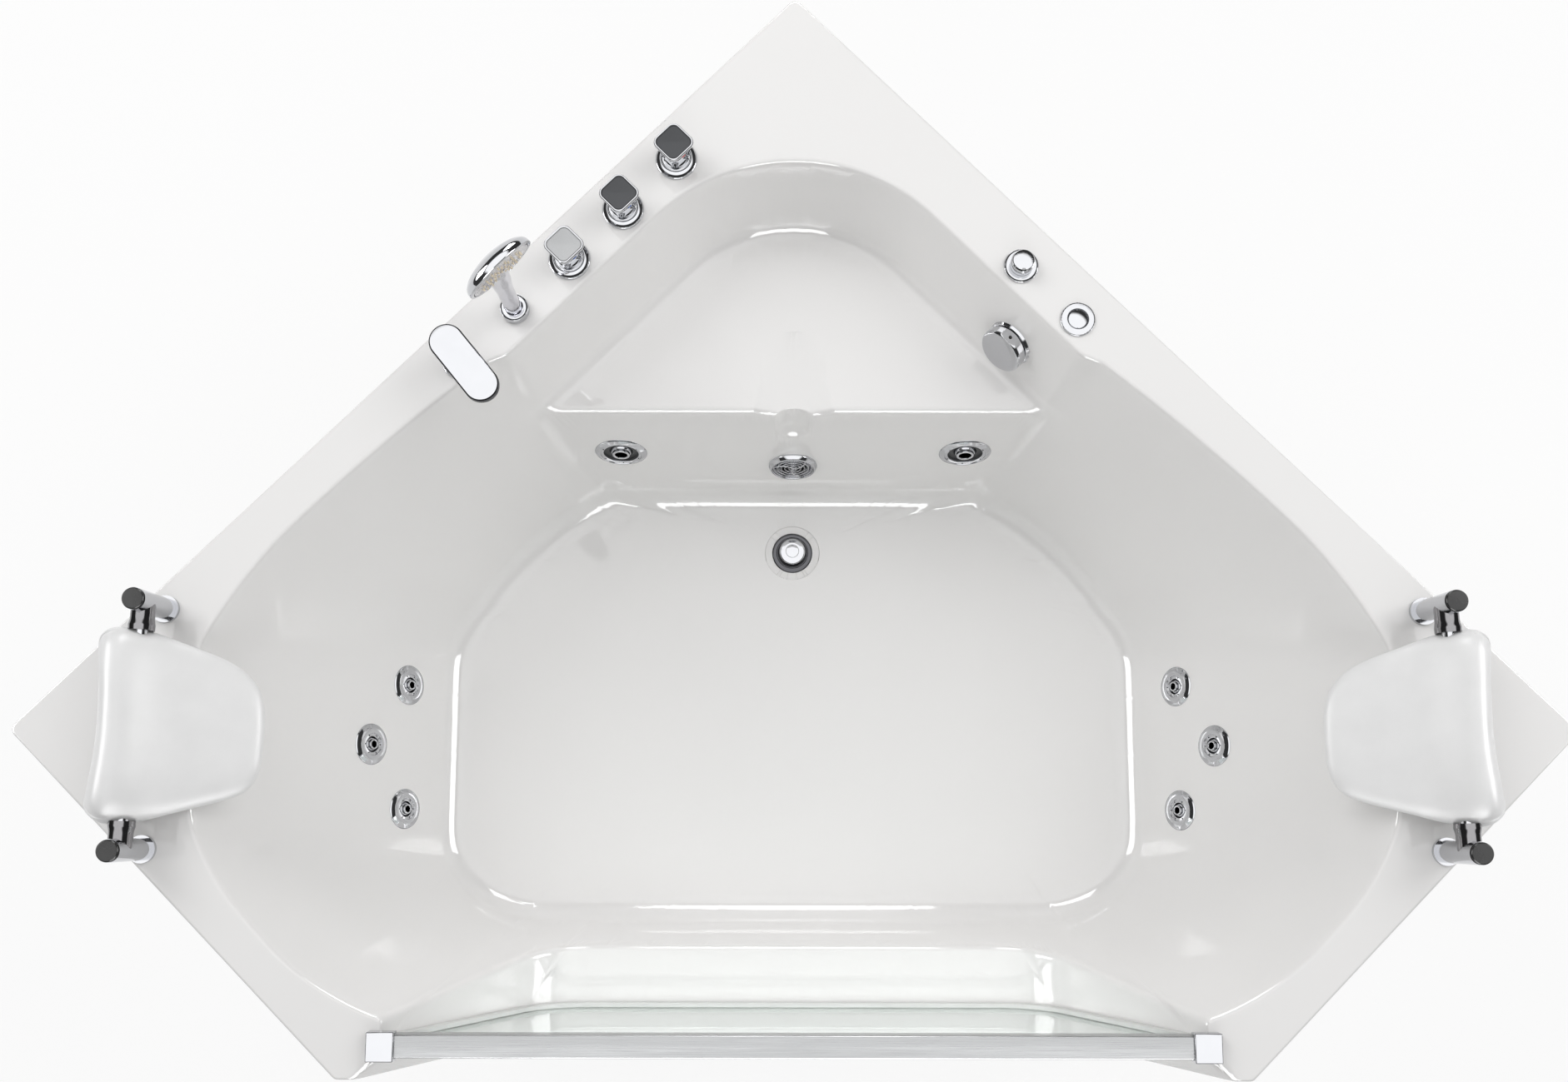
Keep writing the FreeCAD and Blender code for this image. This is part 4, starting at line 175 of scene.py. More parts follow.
class BathtubFittingSizes(bpy.types.PropertyGroup):
    """Sizes of the jets, taps, knobs and other chrome fittings."""

    jet_middle_y: length("Jet row middle", -0.003, "Where the middle jet of a side row stands")
    jet_spread: length("Jet spread", 0.101, "From the middle jet of a side row to the next")
    jet_high: length("Middle jet depth", 0.281, "Depth of the middle jet below the deck")
    jet_low: length("Outer jet depth", 0.349, "Depth of the outer jets below the deck")
    seat_jet_x: length("Riser jet offset", 0.278, "A riser jet's distance from the middle")
    seat_jet_depth: length("Riser jet depth", 0.28, "Depth of the riser jets below the deck")
    suction_depth: length("Suction depth", 0.325, "Depth of the suction fitting below the deck")
    overflow_along: length("Overflow place", 0.185, "The overflow's distance along the alcove's wall")
    overflow_depth: length("Overflow depth", 0.09, "Depth of the overflow below the deck")
    side_jet_radius: length("Side jet radius", 0.0325, "Radius of a side jet's ring")
    riser_jet_radius: length("Riser jet radius", 0.042, "Radius of a riser jet's ring")
    suction_radius: length("Suction radius", 0.04, "Radius of the suction fitting's rim")
    overflow_radius: length("Overflow knob radius", 0.035, "Radius of the overflow's knob")
    flange_radius: length("Tap flange radius", 0.0295, "Radius of a tap's flange")
    handle_base: length("Handle foot", 0.031, "Side of a tap handle at its foot")
    handle_top: length("Handle top", 0.045, "Side of a tap handle at its top")
    handle_height: length("Handle height", 0.034, "Height of a tap handle")
    post_rear_x: length("Rear post across", 0.856, "A rear pillow post's distance from the middle")
    post_rear_y: length("Rear post along", 0.164, "A rear pillow post's distance behind the side corners")
    post_front_x: length("Front post across", 0.869, "A front pillow post's distance from the middle")
    post_front_y: length("Front post along", -0.160, "A front pillow post's distance behind the side corners")
    sleeve_height: length("Sleeve height", 0.058, "Height of the pillows' sleeves above the deck")
    sleeve_radius: length("Sleeve radius", 0.0148, "Radius of the sleeves between post and pillow")


class BathtubColours(bpy.types.PropertyGroup):
    """Colours of the finishes."""

    acrylic: colour("Acrylic", "#F0EFEE", "Sanitary acrylic of the shell and its panels")
    chrome: colour("Chrome", "#C9CACD", "Polished chrome of the fittings")
    satin: colour("Satin cap", "#545557", "Satin tops of the two water taps")
    rail: colour("Brushed rail", "#A6A7A8", "Brushed stainless rail over the glass")
    pillow: colour("Pillow skin", "#ECECEC", "Moulded skin of the pillows")
    glass: colour("Glass", "#F1F6F4", "Toughened glass of the window")
    hot_dot: colour("Hot mark", "#C8433C", "Mark on the hot tap's handle")
    cold_dot: colour("Cold mark", "#3F66B0", "Mark on the cold tap's and diverter's handles")


# Nodes and materials

def add_node(tree, kind, inputs=None, **settings):
    """Adds a shader node, sets its settings, and fills its inputs from values or other nodes' outputs."""
    node = tree.nodes.new(kind)
    for name, value in settings.items():
        setattr(node, name, value)
    for name, value in (inputs or {}).items():
        socket = node.inputs[name]
        if isinstance(value, bpy.types.NodeSocket):
            tree.links.new(value, socket)
        else:
            socket.default_value = value
    return node


def new_material(name):
    """An empty material's node tree with its object coordinates."""
    material = bpy.data.materials.new(name)
    material.use_nodes = True
    tree = material.node_tree
    tree.nodes.clear()
    place = add_node(tree, "ShaderNodeTexCoord").outputs["Object"]
    return material, tree, place


def close_material(tree, inputs):
    """Ends a node tree in one Principled shader and the material output."""
    shader = add_node(tree, "ShaderNodeBsdfPrincipled", inputs)
    add_node(tree, "ShaderNodeOutputMaterial", {"Surface": shader.outputs["BSDF"]})
    return shader


def stretched(tree, place, x, y, z):
    """Object coordinates multiplied by one number an axis, which squeezes a pattern along it."""
    return add_node(tree, "ShaderNodeMapping", {"Vector": place, "Scale": (x, y, z)}).outputs["Vector"]


def speckle(tree, place, grain, detail=3.0, rough=0.5):
    """Noise whose grains are about one size in metres."""
    noise = add_node(
        tree, "ShaderNodeTexNoise", {"Vector": place, "Scale": 1 / grain, "Detail": detail, "Roughness": rough},
    )
    return noise.outputs["Fac"]


def spread(tree, value, low, high, start=0.3, end=0.7):
    """A noise value carried to a range of numbers."""
    node = add_node(
        tree, "ShaderNodeMapRange",
        {"Value": value, "From Min": start, "From Max": end, "To Min": low, "To Max": high},
    )
    return node.outputs["Result"]


def tinted(tree, value, first, second):
    """A mix of two linear colours by a value."""
    node = add_node(tree, "ShaderNodeMix", {"Factor": value}, data_type="RGBA")
    node.inputs["A"].default_value = first
    node.inputs["B"].default_value = second
    return node.outputs["Result"]


def bumped(tree, height, distance, strength):
    """A bump of a height in metres."""
    inputs = {"Height": height, "Distance": distance, "Strength": strength}
    return add_node(tree, "ShaderNodeBump", inputs).outputs["Normal"]


def combined(tree, operation, first, second):
    """Two values joined by one sum, product or comparison."""
    return add_node(tree, "ShaderNodeMath", {0: first, 1: second}, operation=operation).outputs[0]


def mottled(tree, value, rgb, low, high):
    """A colour that a noise value carries between two shares of its lightness."""
    return tinted(tree, spread(tree, value, 0, 1), shaded(rgb, low), shaded(rgb, high))


def shaded(rgb, share):
    """A linear colour made darker or lighter by a share, as RGBA."""
    return (*[min(1.0, float(part) * share) for part in rgb[:3]], 1.0)


def acrylic_material():
    """Vacuum-formed sanitary acrylic: a deep even gloss over white, with the faint waviness of a drawn sheet."""
    material, tree, place = new_material("sanitary_acrylic")
    base = bpy.context.scene.bathtub_colours.acrylic
    cloud = speckle(tree, place, 0.35, 1.0)
    waves = speckle(tree, place, 0.06, 1.0)
    wipe = speckle(tree, place, 0.018, 4.0)
    close_material(tree, {
        "Base Color": mottled(tree, cloud, base, 0.985, 1.0),
        "Roughness": spread(tree, wipe, 0.04, 0.075),
        "Normal": bumped(tree, waves, 0.0003, 0.25),
        "IOR": 1.49,
        "Coat Weight": 0.3,
        "Coat Roughness": 0.03,
    })
    return material


def laminate_material():
    """Rough fibre-reinforced backing of the shell: matted glass strands, 40 mm long, rolled into pale resin."""
    material, tree, place = new_material("fibre_reinforced_backing")
    lengthwise = speckle(tree, stretched(tree, place, 0.12, 1, 1), 0.004, 4.0, 0.7)
    crosswise = speckle(tree, stretched(tree, place, 1, 0.12, 1), 0.004, 4.0, 0.7)
    upright = speckle(tree, stretched(tree, place, 1, 1, 0.12), 0.004, 4.0, 0.7)
    strands = combined(tree, "MAXIMUM", combined(tree, "MAXIMUM", lengthwise, crosswise), upright)
    close_material(tree, {
        "Base Color": tinted(tree, spread(tree, strands, 0, 1, 0.45, 0.75), linear("#B9B39C"), linear("#DAD5C2")),
        "Roughness": spread(tree, strands, 0.75, 0.5),
        "Normal": bumped(tree, strands, 0.0012, 0.9),
        "IOR": 1.55,
    })
    return material


def panel_material():
    """White acrylic sheet of the skirt: glossy and flat, with finer waviness than the drawn shell."""
    material, tree, place = new_material("acrylic_skirt_sheet")
    base = bpy.context.scene.bathtub_colours.acrylic
    close_material(tree, {
        "Base Color": mottled(tree, speckle(tree, place, 0.2), base, 0.96, 0.99),
        "Roughness": spread(tree, speckle(tree, place, 0.012, 4.0), 0.14, 0.22),
        "Normal": bumped(tree, speckle(tree, place, 0.03, 1.0), 0.0002, 0.3),
        "IOR": 1.49,
        "Coat Weight": 0.25,
        "Coat Roughness": 0.08,
    })
    return material


def chrome_material():
    """Polished chrome plate on brass: a hard bright mirror with faint wipe marks, 30 mm wide."""
    material, tree, place = new_material("polished_chrome")
    base = bpy.context.scene.bathtub_colours.chrome
    wipes = speckle(tree, place, 0.03, 2.0)
    close_material(tree, {
        "Base Color": mottled(tree, wipes, base, 0.97, 1.0),
        "Metallic": 1.0,
        "Roughness": spread(tree, wipes, 0.06, 0.09),
    })
    return material


def satin_material(name, base, low, high):
    """Satin metal, bead-blasted and then plated: soft wide reflections over a grain of about 0.3 mm."""
    material, tree, place = new_material(name)
    grain = speckle(tree, place, 0.0006, 2.0)
    close_material(tree, {
        "Base Color": mottled(tree, grain, base, 0.92, 1.05),
        "Metallic": 1.0,
        "Roughness": spread(tree, grain, low, high),
        "Normal": bumped(tree, grain, 0.00004, 0.5),
    })
    return material


def brushed_material():
    """Stainless tube brushed along its length: fine lines across the light, 0.4 mm apart and 60 mm long."""
    material, tree, place = new_material("brushed_stainless")
    base = bpy.context.scene.bathtub_colours.rail
    lines = speckle(tree, stretched(tree, place, 0.008, 1, 1), 0.0008, 3.0, 0.6)
    close_material(tree, {
        "Base Color": mottled(tree, lines, base, 0.86, 1.08),
        "Metallic": 1.0,
        "Roughness": spread(tree, lines, 0.24, 0.36),
        "Anisotropic": 0.5,
        "Normal": bumped(tree, lines, 0.00005, 0.6),
    })
    return material


def moulded_material(name, base, low, high, grain=0.0012, depth=0.00006, wear=0.94):
    """Injection-moulded plastic or rubber: an even colour, fine spark texture, and gloss that varies a little."""
    material, tree, place = new_material(name)
    texture = speckle(tree, place, grain, 3.0)
    handled = speckle(tree, place, 0.03, 3.0)
    close_material(tree, {
        "Base Color": mottled(tree, handled, base, wear, 1.0),
        "Roughness": spread(tree, handled, low, high),
        "Normal": bumped(tree, texture, depth, 0.6),
        "IOR": 1.5,
    })
    return material


def glass_material():
    """Toughened float glass, 12 mm: clear, with the cool green that its thickness gives, and clean edges."""
    material, tree, place = new_material("toughened_glass")
    base = bpy.context.scene.bathtub_colours.glass
    smear = speckle(tree, place, 0.05, 4.0)
    shader = add_node(tree, "ShaderNodeBsdfPrincipled", {
        "Base Color": mottled(tree, smear, base, 0.985, 1.0),
        "Roughness": spread(tree, smear, 0.0, 0.02),
        "Transmission Weight": 1.0,
        "IOR": 1.5,
    })
    clear = add_node(tree, "ShaderNodeBsdfTransparent", {"Color": shaded(base, 0.97)})
    shadow = add_node(tree, "ShaderNodeLightPath").outputs["Is Shadow Ray"]
    mixed = add_node(tree, "ShaderNodeMixShader", {0: shadow, 1: shader.outputs[0], 2: clear.outputs[0]})
    add_node(tree, "ShaderNodeOutputMaterial", {"Surface": mixed.outputs[0]})
    return material


def spray_material():
    """Clear polycarbonate spray face: pale smoky plastic that shows light through its thickness."""
    material, tree, place = new_material("clear_polycarbonate")
    cloud = speckle(tree, place, 0.008, 2.0)
    close_material(tree, {
        "Base Color": tinted(tree, spread(tree, cloud, 0, 1), linear("#E2E0E4"), linear("#EFEDF0")),
        "Roughness": spread(tree, cloud, 0.14, 0.24),
        "Transmission Weight": 0.35,
        "IOR": 1.58,
        "Coat Weight": 0.4,
    })
    return material


def pillow_material():
    """Self-skinning polyurethane foam: satin white skin with a fine moulded leather grain, drawn 1.6 mm wide."""
    material, tree, place = new_material("moulded_polyurethane_skin")
    base = bpy.context.scene.bathtub_colours.pillow
    cells = add_node(
        tree, "ShaderNodeTexVoronoi", {"Vector": place, "Scale": 1 / 0.0016}, feature="DISTANCE_TO_EDGE",
    ).outputs["Distance"]
    grain = spread(tree, cells, 0, 1, 0.0, 0.12)
    handled = speckle(tree, place, 0.04, 3.0)
    close_material(tree, {
        "Base Color": mottled(tree, handled, base, 0.965, 1.0),
        "Roughness": spread(tree, handled, 0.34, 0.44),
        "Normal": bumped(tree, grain, 0.00008, 0.35),
        "IOR": 1.45,
        "Sheen Weight": 0.15,
        "Sheen Roughness": 0.5,
        "Coat Weight": 0.12,
        "Coat Roughness": 0.3,
    })
    return material


def painted_material(name, base):
    """Powder-coated or painted metal: orange-peel of about 1.5 mm and a soft half gloss."""
    material, tree, place = new_material(name)
    peel = speckle(tree, place, 0.0015, 2.0)
    dirt = speckle(tree, place, 0.05, 5.0)
    close_material(tree, {
        "Base Color": mottled(tree, dirt, base, 0.85, 1.05),
        "Roughness": spread(tree, dirt, 0.38, 0.52),
        "Normal": bumped(tree, peel, 0.00008, 0.5),
        "IOR": 1.5,
    })
    return material


def board_material():
    """Raw chipboard: pressed wood flakes 3 to 8 mm wide in several browns, matt."""
    material, tree, place = new_material("raw_chipboard")
    flakes = add_node(
        tree, "ShaderNodeTexVoronoi", {"Vector": stretched(tree, place, 1, 0.6, 1), "Scale": 1 / 0.007},
    )
    tone = add_node(tree, "ShaderNodeSeparateColor", {"Color": flakes.outputs["Color"]}).outputs[0]
    fibre = speckle(tree, stretched(tree, place, 1, 0.15, 1), 0.0015, 3.0)
    mixed = combined(tree, "MULTIPLY", tone, fibre)
    close_material(tree, {
        "Base Color": tinted(tree, spread(tree, mixed, 0, 1, 0.05, 0.6), linear("#8E6B45"), linear("#C9AA7E")),
        "Roughness": 0.85,
        "Normal": bumped(tree, tone, 0.0003, 0.5),
    })
    return material


def metal_material(name, dark, light, low, high, grain=0.004):
    """Bare or plated metal with the mottled bright and dull patches of its own surface."""
    material, tree, place = new_material(name)
    patches = speckle(tree, place, grain, 5.0)
    close_material(tree, {
        "Base Color": tinted(tree, spread(tree, patches, 0, 1), linear(dark), linear(light)),
        "Metallic": 1.0,
        "Roughness": spread(tree, patches, low, high),
        "Normal": bumped(tree, patches, 0.00008, 0.4),
    })
    return material


MATERIALS = {}


def finish_of(name):
    """The material of a finish, made the first time that a piece asks for it."""
    colours = bpy.context.scene.bathtub_colours
    makers = {
        "acrylic": acrylic_material,
        "laminate": laminate_material,
        "skirt": panel_material,
        "chrome": chrome_material,
        "satin_dark": lambda: satin_material("satin_graphite_plate", colours.satin, 0.30, 0.42),
        "satin_light": lambda: satin_material("satin_nickel_plate", linear("#ABACAD"), 0.26, 0.38),
        # Chrome with a darker base colour: it paints in the dark reflections on the spout plate's side and the drain
        # flange's ring, a painted reflection rather than another metal.
        "dark_reflection_chrome": lambda: satin_material("painted_dark_reflection_chrome", linear("#5A5A5D"), 0.10, 0.16),
        # Chrome with a darker base colour for the pillow sleeves: it paints in their dark reflections, which the plain
        # chrome would show bright.
        "dark_reflection_sleeve_chrome": lambda: satin_material("painted_dark_reflection_sleeve_chrome", linear("#8C8B8D"), 0.08, 0.13),
        "silver": lambda: satin_material("silver_plated_plastic", linear("#D3D3D8"), 0.10, 0.18),
        "rail": brushed_material,
        "glass": glass_material,
        "seal": lambda: moulded_material("silicone_seal", linear("#D3D4D2"), 0.32, 0.46),
        "black": lambda: moulded_material("black_gloss_abs", linear("#141414"), 0.22, 0.32),
        "well": lambda: moulded_material("dark_grey_abs", linear("#2B2C2E"), 0.35, 0.5),
        "spray": spray_material,
        "amber": lambda: moulded_material("amber_silicone_nozzle", linear("#DDD0B8"), 0.3, 0.45, 0.0008),
        "hot_dot": lambda: moulded_material("red_enamel_dot", colours.hot_dot, 0.2, 0.3),
        "cold_dot": lambda: moulded_material("blue_enamel_dot", colours.cold_dot, 0.2, 0.3),
        "pillow": pillow_material,
        "frame": lambda: painted_material("powder_coated_steel", linear("#7D8083")),
        "motor": lambda: painted_material("painted_cast_aluminium", linear("#3A4046")),
        "board": board_material,
        "rubber": lambda: moulded_material("black_foot_rubber", linear("#202020"), 0.6, 0.8, 0.002, 0.0001),
        "zinc": lambda: metal_material("zinc_plated_steel", "#9C9C93", "#C2C1B6", 0.28, 0.45),
        "brass": lambda: metal_material("raw_cast_brass", "#9C7B35", "#D3AE5E", 0.25, 0.42),
        "copper": lambda: metal_material("drawn_copper", "#8A4F30", "#C97F55", 0.2, 0.4, 0.012),
        "pipe": lambda: moulded_material("white_pressure_pipe", linear("#E2E2DD"), 0.22, 0.34),
        "hose": lambda: moulded_material("grey_vinyl_air_hose", linear("#BFC6C9"), 0.2, 0.32),
        "sheath": lambda: moulded_material("black_cable_sheath", linear("#232324"), 0.4, 0.55),
        "pump": lambda: moulded_material("black_glass_filled_nylon", linear("#26272A"), 0.45, 0.6, 0.0016, 0.0001),
    }
    if name not in MATERIALS:
        MATERIALS[name] = makers[name]()
    return MATERIALS[name]


# Meshes from grids of points

def linked(name, data):
    """An object of a mesh, a lamp or a camera, in the scene."""
    item = bpy.data.objects.new(name, data)
    bpy.context.scene.collection.objects.link(item)
    return item


def grid_faces(rows, columns):
    """Four corner indices of each face of a grid of points, rows by columns, with each row closed to a ring."""
    index = np.arange(rows * columns).reshape(rows, columns)
    index = np.concatenate((index, index[:, :1]), axis=1)
    faces = np.stack((index[:-1, :-1], index[:-1, 1:], index[1:, 1:], index[1:, :-1]), axis=-1)
    return faces.reshape(-1, 4)


def piece(name, grids, finishes, angle=38.0, merge=0.00001):
    """One object from grids of points: one finish each, doubles merged, faces outward, sharp edges by angle."""
    vertices, faces, slots = [], [], []
    start = 0
    names = list(dict.fromkeys(finishes))
    for grid, finish in zip(grids, finishes):
        rows, columns = grid.shape[:2]
        vertices.append(grid.reshape(-1, 3))
        made = grid_faces(rows, columns) + start
        faces.append(made)
        slots.append(np.full(len(made), names.index(finish)))
        start += rows * columns
    mesh = bpy.data.meshes.new(name)
    points = np.concatenate(vertices)
    corners = np.concatenate(faces)
    mesh.vertices.add(len(points))
    mesh.vertices.foreach_set("co", points.astype(np.float32).ravel())
    mesh.loops.add(corners.size)
    mesh.loops.foreach_set("vertex_index", corners.astype(np.int32).ravel())
    mesh.polygons.add(len(corners))
    mesh.polygons.foreach_set("loop_start", np.arange(0, corners.size, 4, dtype=np.int32))
    mesh.update(calc_edges=True)
    mesh.polygons.foreach_set("material_index", np.concatenate(slots).astype(np.int32))
    tidy_mesh(mesh, merge)
    mesh.shade_smooth()
    mesh.set_sharp_from_angle(angle=math.radians(angle))
    for finish in names:
        mesh.materials.append(finish_of(finish))
    return linked(name, mesh)


def tidy_mesh(mesh, merge):
    """Merges doubles, drops faces without area and turns the faces outward."""
    work = bmesh.new()
    work.from_mesh(mesh)
    bmesh.ops.remove_doubles(work, verts=work.verts, dist=merge)
    bmesh.ops.dissolve_degenerate(work, dist=merge / 10, edges=work.edges)
    bmesh.ops.recalc_face_normals(work, faces=work.faces)
    work.to_mesh(mesh)
    work.free()
    mesh.update()


def kept(item, body, slot, *nodes):
    """Lets a piece ride on its body and stand for its nodes, which it hides. The slot is not used."""
    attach(item, body)
    if nodes:
        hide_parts(*nodes)
    return item


def eased(corners, steps=5):
    """Profile of straight runs with soft corners: each corner gives way to a parabola that touches both runs."""
    points = np.array([corner[:2] for corner in corners], float)
    soft = np.array([corner[2] if len(corner) > 2 else 0.0 for corner in corners], float)
    back = np.roll(points, 1, axis=0) - points
    ahead = np.roll(points, -1, axis=0) - points
    back_length = np.maximum(np.linalg.norm(back, axis=1), 1e-9)
    ahead_length = np.maximum(np.linalg.norm(ahead, axis=1), 1e-9)
    soft = np.minimum(soft, 0.49 * np.minimum(back_length, ahead_length))
    first = points + back * (soft / back_length)[:, None]
    last = points + ahead * (soft / ahead_length)[:, None]
    share = np.linspace(0, 1, steps)[None, :, None]
    curve = first[:, None] * (1 - share) ** 2 + 2 * points[:, None] * share * (1 - share) + last[:, None] * share ** 2
    return curve.reshape(-1, 2)


def lathe(profile, segments=72):
    """Points of a profile of radius and height turned once about the upright axis."""
    profile = np.asarray(profile, float)
    turn = np.linspace(0, FULL_TURN, segments, endpoint=False)
    radius = profile[:, 0][:, None]
    height = np.broadcast_to(profile[:, 1][:, None], (len(profile), segments))
    return np.stack((radius * np.cos(turn), radius * np.sin(turn), height), axis=-1)


def rounded_square(half, corner, segments):
    """Outline of a square with rounded corners: a short arc about each corner's centre, equal steps of turn."""
    turn = np.linspace(0, FULL_TURN, segments, endpoint=False) + math.pi / segments
    middle = np.floor(turn / (math.pi / 2)) * math.pi / 2 + math.pi / 4
    centre = (half - corner) * math.sqrt(2)
    x = centre * np.cos(middle) + corner * np.cos(turn)
    y = centre * np.sin(middle) + corner * np.sin(turn)
    return np.stack((x, y), axis=-1)


def carried(grid, origin, normal=UP, rear=(0, 1, 0)):
    """Points of a fitting's own axes set on a place: its third axis on the normal, its second towards the rear."""
    normal = np.asarray(normal, float) / np.linalg.norm(normal)
    second = np.asarray(rear, float) - normal * np.dot(rear, normal)
    second = second / np.linalg.norm(second)
    first = np.cross(second, normal)
    return np.asarray(origin) + grid @ np.stack((first, second, normal))


def tube(path, radius, segments):
    """Round skin along a path, closed at both ends: at each point a circle across the path's own direction."""
    path = np.asarray(path, float)
    along = np.gradient(path, axis=0)
    along /= np.linalg.norm(along, axis=1)[:, None]
    side = np.cross(along, np.broadcast_to(UP + 1e-3, along.shape))
    side /= np.linalg.norm(side, axis=1)[:, None]
    top = np.cross(side, along)
    turn = np.linspace(0, FULL_TURN, segments, endpoint=False)[None, :, None]
    reach = np.broadcast_to(np.asarray(radius, float), (len(path),))[:, None, None]
    skin = path[:, None] + reach * (side[:, None] * np.cos(turn) + top[:, None] * np.sin(turn))
    first, last = [np.broadcast_to(point, (1, segments, 3)) for point in (path[0], path[-1])]
    return np.concatenate((first, skin, last))


def smooth_copy(node, name, finish, slot, bevel, body="root"):
    """A smoothed copy of a part: loose triangles merged, flat areas joined, and its sharp edges slightly broken."""
    mesh = frame["nodes"][node].data.copy()
    mesh.materials.clear()
    work = bmesh.new()
    work.from_mesh(mesh)
    bmesh.ops.remove_doubles(work, verts=work.verts, dist=0.00001)
    bmesh.ops.dissolve_limit(
        work, angle_limit=math.radians(0.4), verts=work.verts, edges=work.edges, use_dissolve_boundaries=False,
    )
    work.to_mesh(mesh)
    work.free()
    mesh.shade_smooth()
    mesh.set_sharp_from_angle(angle=EDGE_ANGLE)
    mesh.materials.append(finish_of(finish))
    item = linked(name, mesh)
    if bevel:
        edge = item.modifiers.new("broken_edge", "BEVEL")
        edge.width = bevel
        edge.segments = 2
        edge.limit_method = "ANGLE"
        edge.angle_limit = EDGE_ANGLE
    return kept(item, body, slot, node)


def smooth_copies(*rows):
    """Smoothed copies that stay with the root: node, name, finish, slot and bevel a row."""
    for row in rows:
        smooth_copy(*row)


# Places in the frame

def half_diagonal(sizes):
    """From the line of the side corners to the rear corner."""
    return sizes.wall_side * DIAGONAL


def plan_point(sizes, x, y, z):
    """Point in the frame from plan distances and the height above the deck."""
    apex = half_diagonal(sizes) - sizes.corner_radius * (math.sqrt(2) - 1)
    return np.array((x, y - (apex - sizes.front_reach) / 2, z + sizes.deck_height))


def on_backrest(sizes, side, y, depth):
    """Point and inward normal on a backrest, a depth below the deck."""
    slope = math.atan2(sizes.rim_half_length - sizes.floor_half_length, sizes.basin_depth)
    x = sizes.rim_half_length - math.tan(slope) * depth
    return plan_point(sizes, side * x, y, -depth), np.array((-side * math.cos(slope), 0, math.sin(slope)))


def on_riser(sizes, x, depth):
    """Point and inward normal on the riser under the seat."""
    slope = math.atan2(sizes.rim_rear_reach - sizes.floor_rear_reach, sizes.basin_depth)
    y = sizes.rim_rear_reach - math.tan(slope) * depth
    return plan_point(sizes, x, y, -depth), np.array((0, -math.cos(slope), math.sin(slope)))


def on_seat_wall(sizes, along, depth):
    """Point and inward normal on the alcove's right wall."""
    slope = math.atan2((sizes.seat_rim_reach - sizes.seat_floor_reach) * DIAGONAL, sizes.seat_depth)
    reach = sizes.seat_rim_reach - math.tan(slope) * depth / DIAGONAL
    x = reach / 2 - along * DIAGONAL
    flat = math.cos(slope) * DIAGONAL
    return plan_point(sizes, x, reach - x, -depth), np.array((-flat, -flat, math.sin(slope)))


def side_jet_places(sizes, fittings):
    """Place and normal of the six side jets, from the left rear to the right front."""
    places = []
    for side in (-1, 1):
        for step in (1, 0, -1):
            depth = fittings.jet_low if step else fittings.jet_high
            places.append(on_backrest(sizes, side, fittings.jet_middle_y + step * fittings.jet_spread, depth))
    return places


def seat_jet_places(sizes, fittings):
    """Place and normal of the two jets in the riser."""
    return [on_riser(sizes, side * fittings.seat_jet_x, fittings.seat_jet_depth) for side in (-1, 1)]


def node_foot(node):
    """Middle of a node's box and the height of its foot."""
    low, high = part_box(node)
    return np.array(((low.x + high.x) / 2, (low.y + high.y) / 2, low.z))


# Shape of the moulded shell

def rounded_both(first, second, radius, cosine=0.0):
    """Distance to the space within two planes, their edge rounded: past the edge's centre line along both
    normals it is the distance from that line less the radius, and elsewhere the larger plane distance."""
    u = first + radius
    v = second + radius
    sine = 1 - cosine ** 2
    s = (u - v * cosine) / sine
    t = (v - u * cosine) / sine
    reach = np.sqrt(np.maximum(s ** 2 + t ** 2 + 2 * s * t * cosine, 0))
    return np.where((s > 0) & (t > 0), reach - radius, np.maximum(first, second))


def rounded_either(first, second, radius, cosine=0.0):
    """Distance to the space within either of two shapes, the edge between them rounded."""
    return -rounded_both(-first, -second, radius, cosine)


def arc_points(first, middle, last, count):
    """Points of the circle through three points: its centre lies on two chords' bisectors."""
    chord = middle - first
    span = last - first
    cross = 2 * (chord[:, 0] * span[:, 1] - chord[:, 1] * span[:, 0])
    chord_square = (chord ** 2).sum(1)
    span_square = (span ** 2).sum(1)
    centre = first + np.stack((
        (span[:, 1] * chord_square - chord[:, 1] * span_square) / cross,
        (chord[:, 0] * span_square - span[:, 0] * chord_square) / cross,
    ), axis=1)
    start = np.arctan2(*(first - centre)[:, ::-1].T)
    end = np.arctan2(*(last - centre)[:, ::-1].T)
    turn = np.where(cross > 0, (end - start) % FULL_TURN, -((start - end) % FULL_TURN))
    radius = np.linalg.norm(first - centre, axis=1)[:, None, None]
    angle = start[:, None] + turn[:, None] * np.linspace(0, 1, count)
    return centre[:, None] + radius * np.stack((np.cos(angle), np.sin(angle)), axis=-1)


def basin_outlines(sizes, heights):
    """Plan outline of the basin at each height: corners between rim and floor, joined by arcs and lines."""
    share = -heights[:, None] / sizes.basin_depth
    rim = RIM_SHARES * (sizes.rim_half_length, 1)
    floor = FLOOR_SHARES * (sizes.floor_half_length, 1)
    rim[:, 1] *= np.where(rim[:, 1] > 0, sizes.rim_rear_reach, sizes.rim_front_reach)
    floor[:, 1] *= np.where(floor[:, 1] > 0, sizes.floor_rear_reach, sizes.floor_front_reach)
    points = rim[None] * (1 - share[..., None]) + floor[None] * share[..., None]
    arcs = [arc_points(points[:, a], points[:, a + 1], points[:, a + 2], 40) for a in (0, 2, 5, 7)]
    right = np.concatenate(arcs, axis=1)
    return np.concatenate((right, right[:, ::-1] * (-1, 1)), axis=1)


